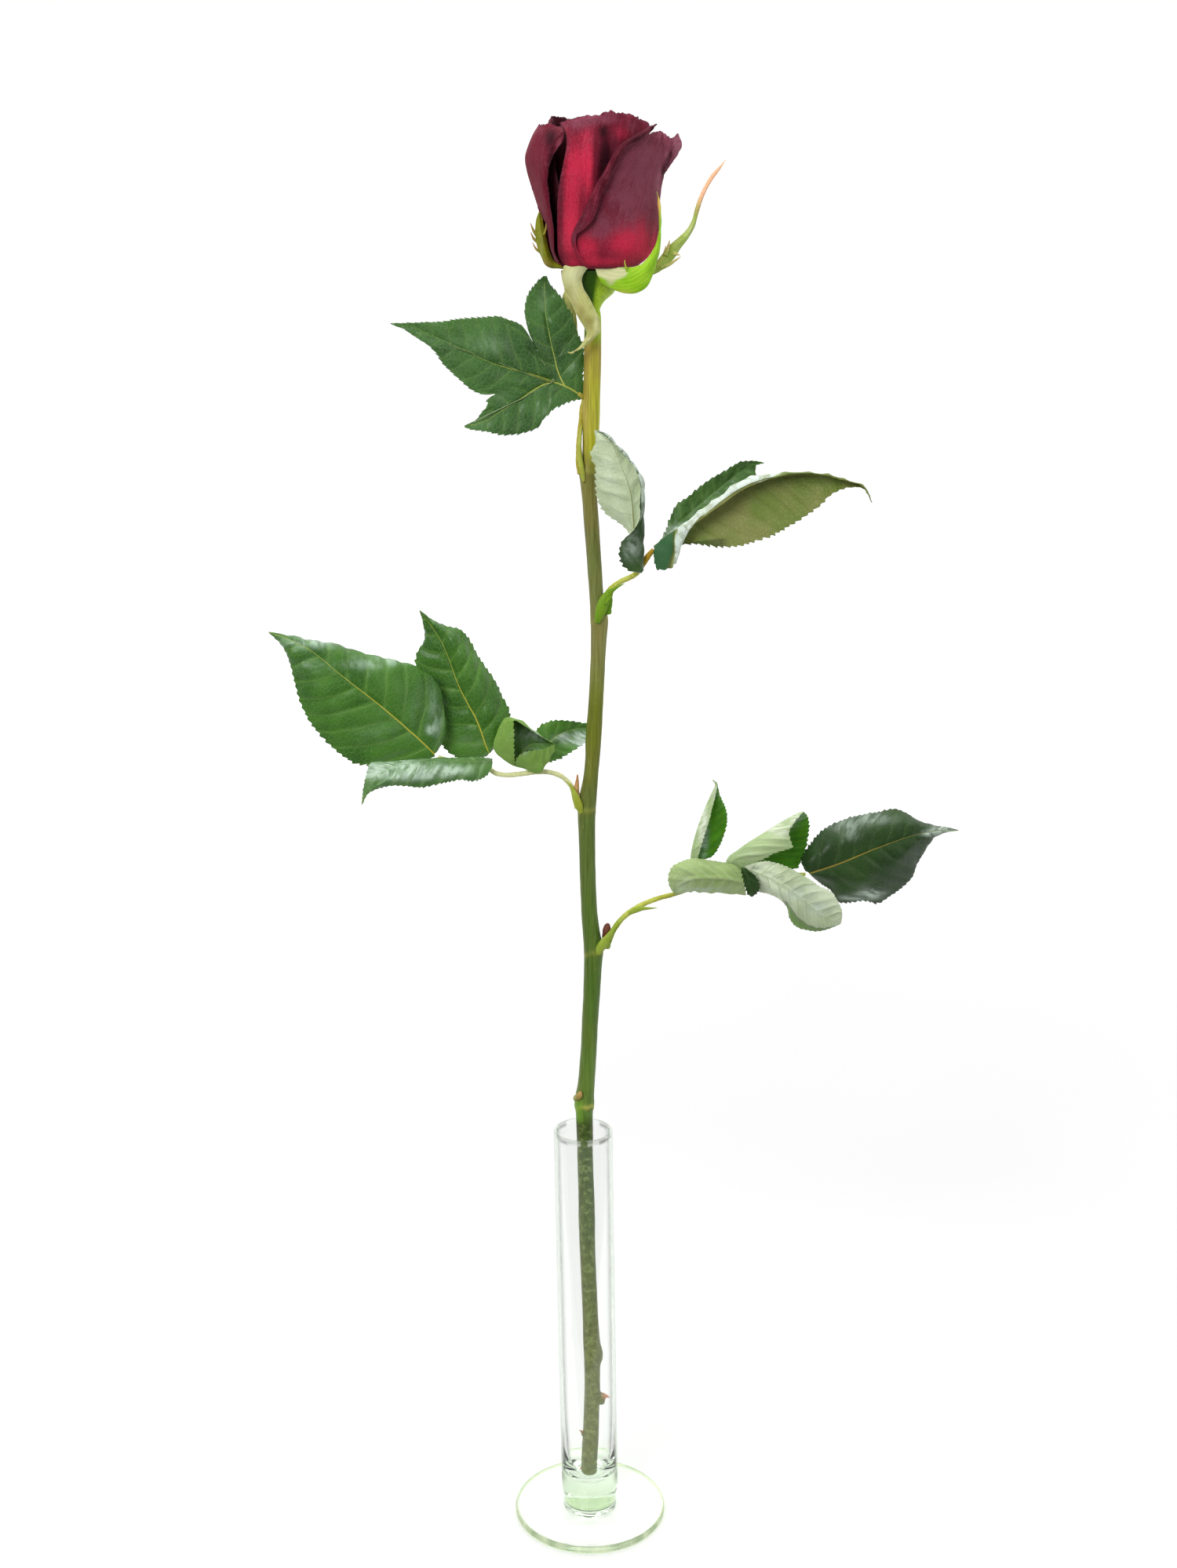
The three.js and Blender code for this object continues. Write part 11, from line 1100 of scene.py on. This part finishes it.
# ---------------------------------------------------------------- the three-lobed leaf
def build_lobed():
    rings, around = LOBED["rings"], LOBED["around"]
    G = np.array(LOBED["at"], float).reshape(rings, around, 3)
    RF = np.array(LOBED["fractions"])
    m = 9
    idx = np.arange(around * m) / m
    pad = 4
    closed = np.concatenate([G[:, -pad:], G, G[:, :pad]], 1).transpose(1, 0, 2)
    D = crom(closed, idx + pad).transpose(1, 0, 2)
    f = 1 - (1 - np.linspace(0.02, 1, 54)) ** 1.25
    D = crom(D, np.interp(f, RF, np.arange(rings)))
    centre = G[0].mean(0)
    out = D[-1]
    n_ar = len(out)
    tips = [int(np.argmin(np.linalg.norm(out - np.array(t), axis=1))) for t in LOBED["tips"]]
    rad = np.linalg.norm(out - centre, axis=1)
    tips = sorted(tips)
    sinus = [tips[0] + int(np.argmin(rad[tips[0] : tips[1]])), tips[1] + int(np.argmin(rad[tips[1] : tips[2]]))]
    seg = np.linalg.norm(np.diff(np.concatenate([out, out[:1]]), axis=0), axis=1)
    s = np.concatenate([[0], np.cumsum(seg)[:-1]])
    stops = [0, tips[0], sinus[0], tips[1], sinus[1], tips[2], n_ar - 1]
    reach = np.zeros(n_ar)
    raw = np.zeros(n_ar)
    dirn = np.zeros(n_ar)
    for k in range(6):
        i0, i1 = stops[k], stops[k + 1]
        ii = np.arange(i0, i1 + 1)
        loc = s[ii] - s[i0]
        if k % 2:
            loc = s[i1] - s[ii]
        a, r = tooth_profile(loc, s[i1] - s[i0], 2.5, 1.05, 300 + k)
        reach[ii], raw[ii], dirn[ii] = a, r, (1 if k % 2 == 0 else -1)
    T = unit(np.roll(out, -1, 0) - np.roll(out, 1, 0))
    O = unit(out - D[-6])
    dist = np.linalg.norm(D - out[None], axis=-1)
    w = np.exp(-((dist / 1.3) ** 2))
    D = D + w[..., None] * (O * (reach - 0.2)[:, None] + T * (0.35 * reach * dirn)[:, None])[None]
    # main veins
    names = list(LOBED["veins"])
    lines = [crom(np.array(LOBED["veins"][k], float).reshape(-1, 3), np.linspace(0, len(LOBED["veins"][k]) // 3 - 1, 400)) for k in names]
    flat = D.reshape(-1, 3)

    def along(pts, line):
        d = np.linalg.norm(pts[:, None, [0, 2]] - line[None, ::4][:, :, [0, 2]], axis=-1)
        k = d.argmin(1) * 4
        k = np.clip(k, 0, len(line) - 2)
        t = unit(line[np.minimum(k + 6, len(line) - 1)] - line[np.maximum(k - 6, 0)])
        off = pts - line[k]
        sgn = np.sign(t[:, 0] * off[:, 2] - t[:, 2] * off[:, 0])
        ls = np.concatenate([[0], np.cumsum(np.linalg.norm(np.diff(line, axis=0), axis=1))])
        return ls[k] + (off * t).sum(1), sgn * d.min(1), ls[-1]

    F3 = [along(flat, l) for l in lines]
    dd = np.stack([np.abs(q[1]) for q in F3], 1)
    near = dd.argmin(1)
    ay = dd.min(1)
    xx = np.choose(near, [q[0] for q in F3])
    sg = np.sign(np.choose(near, [q[1] for q in F3]))
    LL = np.choose(near, [np.full(len(flat), q[2]) for q in F3])
    sp = 8.2
    ww = (xx - VEIN_A * ay - VEIN_B * ay * ay + np.where(sg > 0, 0.43, 0.0) * sp) / sp
    ff = np.abs((ww % 1.0) - 0.5) * 2
    inner = dist.reshape(-1)
    room = smoothstep(0.0, 2.2, ay) * smoothstep(0.0, 4.0, inner)
    h = 0.45 * (np.minimum(ff * 1.5, 1.0) ** 0.8 - 0.6) * room
    h -= 0.45 * np.exp(-((ay / 0.8) ** 2)) * np.clip((LL - xx) / (0.4 * LL), 0, 1)
    h += 0.40 * waves(flat, 77, 16.0, 2) * room + 0.05 * waves(flat, 78, 2.4, 2) * room
    nr = len(D)
    du = np.gradient(D, axis=0)
    dv = np.roll(D, -1, 1) - np.roll(D, 1, 1)
    n = unit(np.cross(dv, du))
    toward = -1 if n[..., 1].mean() > 0 else 1
    n = n * toward  # faces the viewer, which is the upper side
    D = D + n * h.reshape(D.shape[:2])[..., None]
    th = 0.34 * (0.45 + 0.55 * smoothstep(0, 1.6, dist))
    up = D + n * th[..., None] / 2
    dn = D - n * th[..., None] / 2
    ribh = (0.5 * np.exp(-((ay / 0.62) ** 2)) * (0.25 + 0.75 * np.clip((LL - xx) / LL, 0, 1))).reshape(D.shape[:2])
    dn = dn - n * ribh[..., None]
    c_up, c_dn = up[0].mean(0), dn[0].mean(0)
    V = np.concatenate([up.reshape(-1, 3), dn.reshape(-1, 3), [c_up, c_dn]])
    W = n_ar
    i, j = np.meshgrid(np.arange(nr - 1), np.arange(W), indexing="ij")
    A, B = (i * W + j).ravel(), (i * W + (j + 1) % W).ravel()
    q_up = np.stack([A, A + W, B + W, B], 1)
    off = nr * W
    q_dn = np.stack([A, B, B + W, A + W], 1) + off
    k = np.arange(W)
    e = (nr - 1) * W
    rim = np.stack([e + k, e + k + off, e + (k + 1) % W + off, e + (k + 1) % W], 1)
    t_up = np.stack([np.full(W, 2 * off), k, (k + 1) % W], 1)
    t_dn = np.stack([np.full(W, 2 * off + 1), (k + 1) % W + off, k + off], 1)
    faces = [np.concatenate([q_up, q_dn, rim]), np.concatenate([t_up, t_dn])]
    if volume(V, faces) < 0:
        faces = [q[:, ::-1] for q in faces]
    fmat = np.concatenate([np.zeros(len(q_up)), np.ones(len(q_dn)), np.zeros(len(rim)), np.zeros(W), np.ones(W)])
    # each face takes its place along the vein nearest to its centre
    fu = []
    field = [(q[0], q[1]) for q in F3]
    ext = [(np.concatenate([a, a, a[:1], a[:1]]), np.concatenate([b, b, b[:1], b[:1]])) for a, b in field]
    for fc in faces:
        cen = V[fc].mean(1)
        best = np.stack([np.abs(e_[1][fc]).mean(1) for e_ in ext], 1).argmin(1)
        U = np.zeros((len(fc), fc.shape[1], 2))
        for b in range(len(ext)):
            mk = best == b
            U[mk, :, 0] = ext[b][0][fc[mk]] * 0.01
            U[mk, :, 1] = ext[b][1][fc[mk]] * 0.01 + 0.5
        fu.append(U.reshape(-1, 2))
    edge = (np.exp(-dist / 0.45) * (0.55 + 0.45 * raw[None])).ravel()
    # painted sheen and shade on the lobed leaf
    light_shade_tone = blobs(D, PAINT.get("leaf_a_blade", {}).get("light_shade_tone", ())).ravel()
    al = np.clip(xx / LL, 0, 1) * np.where(near == names.index("mid"), 1.0, 0.75) + np.where(near == names.index("mid"), 0.0, 0.25)
    attrs = {"edge": np.concatenate([edge, edge, [0, 0]]), "light_shade_tone": np.concatenate([light_shade_tone, light_shade_tone, [0, 0]]), "along": np.concatenate([al, al, [0, 0]])}
    o = make("leaf_lobed", V, faces, [LEAF_UP_A, LEAF_UNDER], fmat, attrs=attrs, face_uv={"Blade": np.concatenate(fu)})
    finish_piece(o, "leaf_a_blade")


WORLD = (0.19, 1.05, 0.68)
FLOOR_GLOW = (0.08, 0.56)  # near the vase, far behind it
LIGHTS = [
    ("key", (-0.75, -1.35, 1.25), (0, 0, 0.42), (0.9, 0.9), 23.0),
    ("fill", (1.5, -1.1, 0.7), (0, 0, 0.4), (1.2, 1.4), 8.0),
    ("top", (0.1, 0.2, 1.9), (0, 0, 0.4), (1.4, 1.0), 11.5),
]

build_vase()
build_stem()
taper("bud_lowest", "bud_low", BUD_LOW, BUD, tipfn=lambda f: 0.35 * f, freshfn=lambda f: 0.75 - 0.5 * f)
taper("bud_left", "bud_c", BUD_C, BUD, tipfn=lambda f: 0.3 * f)
taper("bud_right", "bud_d", BUD_D, BUD_DARK, tipfn=lambda f: 0.8 * f)
taper("petiole_top", "petiole_a", PETIOLE_A, PETIOLE, tipfn=lambda f: 0.45 + 0 * f, leafy=0.1)
taper("petiole_upper_right", "petiole_b", PETIOLE_B, PETIOLE, tipfn=lambda f: smoothstep(0.62, 0.9, f), freshfn=lambda f: 1 - smoothstep(0.16, 0.36, f))
taper("petiole_left", "petiole_c", PETIOLE_C, PETIOLE, tipfn=lambda f: 0.5 * smoothstep(0.85, 1.0, f), palefn=lambda f: 0.95 + 0 * f, freshfn=lambda f: 0.3 * (1 - smoothstep(0.10, 0.24, f)), leafy=0.25)
taper("petiole_lower_right", "petiole_d", PETIOLE_D, PETIOLE, freshfn=lambda f: 0.6 * (1 - smoothstep(0.08, 0.2, f)), leafy=0.5)

build_lobed()
leaf("leaflet_b_upright", 2, [LEAF_UP_DARK, LEAF_UNDER_MINT], seed=11, tooth=1.1)
leaf("leaflet_b_lateral", 1, [LEAF_UP_SIDE, LEAF_UNDER_MINT], seed=12, tooth=0.8)
leaf("leaflet_b_terminal", 3, [LEAF_UNDER_OLIVE, LEAF_UNDER_OLIVE], seed=13, tooth=1.2)
leaf("leaflet_c_terminal", 2, [LEAF_UP, LEAF_UNDER], spacing=10.4, seed=21, quilt=0.85)
leaf("leaflet_c_upper", 2, [LEAF_UP_MID, LEAF_UNDER], spacing=8.8, seed=22, quilt=0.8)
leaf("leaflet_c_lower", 3, [LEAF_UP_LOW, LEAF_UNDER_FRESH], seed=23, up=1, tooth=0.75, period=2.2)
leaf("leaflet_c_small_front", 2, [LEAF_UP_SMALL, LEAF_UNDER_FRESH], seed=24, tooth=0.8, period=2.4)
leaf("leaflet_c_small_back", 1, [LEAF_UP_BACK, LEAF_UNDER], seed=25, tooth=1.0, period=2.5, up=1)
leaf("leaflet_d_upright", 2, [LEAF_UP_LIT, LEAF_UNDER_SOFT], seed=31, tooth=0.7, period=2.0)
leaf("leaflet_d_rolled", 2, [LEAF_UP_SMALL, LEAF_UNDER_ROLLED], seed=32, tooth=0.7, period=2.4)
leaf("leaflet_d_upper", 2, [LEAF_UP_LIT, LEAF_UNDER_SOFT], seed=33, tooth=1.0, period=2.6)
leaf("leaflet_d_lower", 2, [LEAF_UP_MID, LEAF_UNDER_GREY], spacing=5.2, seed=34, tooth=0.6, period=2.0)
leaf("leaflet_d_base_lobe", 1, [LEAF_UP_DEEP, LEAF_UP_DEEP], seed=35, tooth=0.8, period=2.0)
leaf("leaflet_d_terminal", 2, [LEAF_UP_DARK, LEAF_UNDER], seed=36, tooth=1.1, period=2.4)

petal("petal_front", [PETAL_OUT], seed=41, base_veil=0.3)
petal("petal_centre", [PETAL_OUT], seed=42, nicks=0.6)
petal("petal_left", [PETAL_OUT], seed=43, rim_veil=0.10, nicks=0.45)
petal("petal_back_left", [PETAL_OUT], seed=44, base_veil=0.25)
petal("petal_back_right", [PETAL_OUT], seed=45, base_veil=0.25)
# inner petals: darker colours and a slightly lower tone, painted shade deep in the bloom
for k in range(1, 11):
    petal("petal_inner_%d" % k, [PETAL_IN_SHADED], seed=50 + k, rows=90, per=11, base_tone=-0.1, foot=None)
sepal("sepal_front", [SEPAL_PALE], seed=61, tip=(0.9, 1.0), tipmax=0.8, rimw=0.8)
sepal("sepal_right_front", [SEPAL], seed=62, crisp=0.22)
sepal("sepal_right", [SEPAL_SIDE], seed=63, tip=(0.55, 0.75), tipmax=1.0)
sepal("sepal_left", [SEPAL_OLIVE], seed=64)
sepal("sepal_back", [SEPAL_PALE], seed=65)


# ---------------------------------------------------------------- floor, light
def stage_set():
    n = 40
    g = np.linspace(-2600, 2600, n + 1)
    X, Y = np.meshgrid(g, np.linspace(-150, 4200, n + 1), indexing="ij")
    V = np.stack([X, Y, 0 * X - 0.15], -1).reshape(-1, 3)
    i, j = np.meshgrid(np.arange(n), np.arange(n), indexing="ij")
    a = (i * (n + 1) + j).ravel()
    F = [np.stack([a, a + n + 1, a + n + 2, a + 1], 1)]
    T = Tree("floor_white")
    grain = T.noise(T.coords(), 4.0, 2.0)
    xx, yy, _ = T.split(T.coords())
    far = T.math("SQRT", T.math("ADD", T.math("MULTIPLY", xx, xx), T.math("MULTIPLY", yy, yy)))
    glow = T.step(far, 0.15, 2.2, FLOOR_GLOW[0], FLOOR_GLOW[1])
    T.surface(T.mix(grain, (0.70, 0.70, 0.70), (0.72, 0.72, 0.72)), 0.9, Specular_IOR_Level=0.1, Emission_Color=(1.0, 1.0, 1.0, 1.0), Emission_Strength=glow)
    o = make("floor", V, F, [T.mat], smooth=False)

    world = bpy.data.worlds.new("studio")
    scene.world = world
    world.use_nodes = True
    t = world.node_tree
    t.nodes.clear()
    out = t.nodes.new("ShaderNodeOutputWorld")
    seen = t.nodes.new("ShaderNodeBackground")
    seen.inputs[0].default_value = (1, 1, 1, 1)
    seen.inputs[1].default_value = 1.03
    # the room: a bright sweep behind, a paler ceiling, dim towards the viewer
    lit = t.nodes.new("ShaderNodeBackground")
    lit.inputs[0].default_value = (1.0, 1.0, 1.0, 1)
    co = t.nodes.new("ShaderNodeTexCoord")
    sep = t.nodes.new("ShaderNodeSeparateXYZ")
    t.links.new(co.outputs["Generated"], sep.inputs[0])

    def ramp(sock, a, b, lo, hi):
        m = t.nodes.new("ShaderNodeMapRange")
        m.interpolation_type = "SMOOTHSTEP"
        for k, v in (("From Min", a), ("From Max", b), ("To Min", lo), ("To Max", hi)):
            m.inputs[k].default_value = v
        t.links.new(sock, m.inputs["Value"])
        return m.outputs[0]

    back = ramp(sep.outputs[1], -0.25, 0.35, WORLD[0], WORLD[1])
    lid = ramp(sep.outputs[2], 0.25, 0.85, 0.0, WORLD[2])
    top = t.nodes.new("ShaderNodeMath")
    top.operation = "MAXIMUM"
    t.links.new(back, top.inputs[0])
    t.links.new(lid, top.inputs[1])
    t.links.new(top.outputs[0], lit.inputs[1])
    path = t.nodes.new("ShaderNodeLightPath")
    mix = t.nodes.new("ShaderNodeMixShader")
    # what is seen straight through clear glass is the same white backdrop
    first = t.nodes.new("ShaderNodeMath")
    first.operation = "LESS_THAN"
    t.links.new(path.outputs["Diffuse Depth"], first.inputs[0])
    first.inputs[1].default_value = 0.5
    through = t.nodes.new("ShaderNodeMath")
    through.operation = "MULTIPLY"
    deep = t.nodes.new("ShaderNodeMath")
    deep.operation = "GREATER_THAN"
    t.links.new(path.outputs["Transmission Depth"], deep.inputs[0])
    deep.inputs[1].default_value = 0.5
    t.links.new(first.outputs[0], through.inputs[0])
    t.links.new(deep.outputs[0], through.inputs[1])
    seen_by = t.nodes.new("ShaderNodeMath")
    seen_by.operation = "MAXIMUM"
    t.links.new(path.outputs["Is Camera Ray"], seen_by.inputs[0])
    t.links.new(through.outputs[0], seen_by.inputs[1])
    t.links.new(seen_by.outputs[0], mix.inputs[0])
    t.links.new(lit.outputs[0], mix.inputs[1])
    t.links.new(seen.outputs[0], mix.inputs[2])
    t.links.new(mix.outputs[0], out.inputs[0])

    def area(name, loc, target, size, power, color=(1, 1, 1)):
        d = bpy.data.lights.new(name, "AREA")
        d.energy = power
        d.shape = "RECTANGLE"
        d.size, d.size_y = size
        d.color = color
        o = bpy.data.objects.new(name, d)
        o.location = loc
        v = np.array(target, float) - np.array(loc, float)
        yaw = math.atan2(v[1], v[0])
        pitch = math.atan2(-v[2], math.hypot(v[0], v[1]))
        from mathutils import Vector

        o.rotation_euler = Vector(v).to_track_quat("-Z", "Y").to_euler()
        scene.collection.objects.link(o)

    for spec in LIGHTS:
        area(*spec)


stage_set()
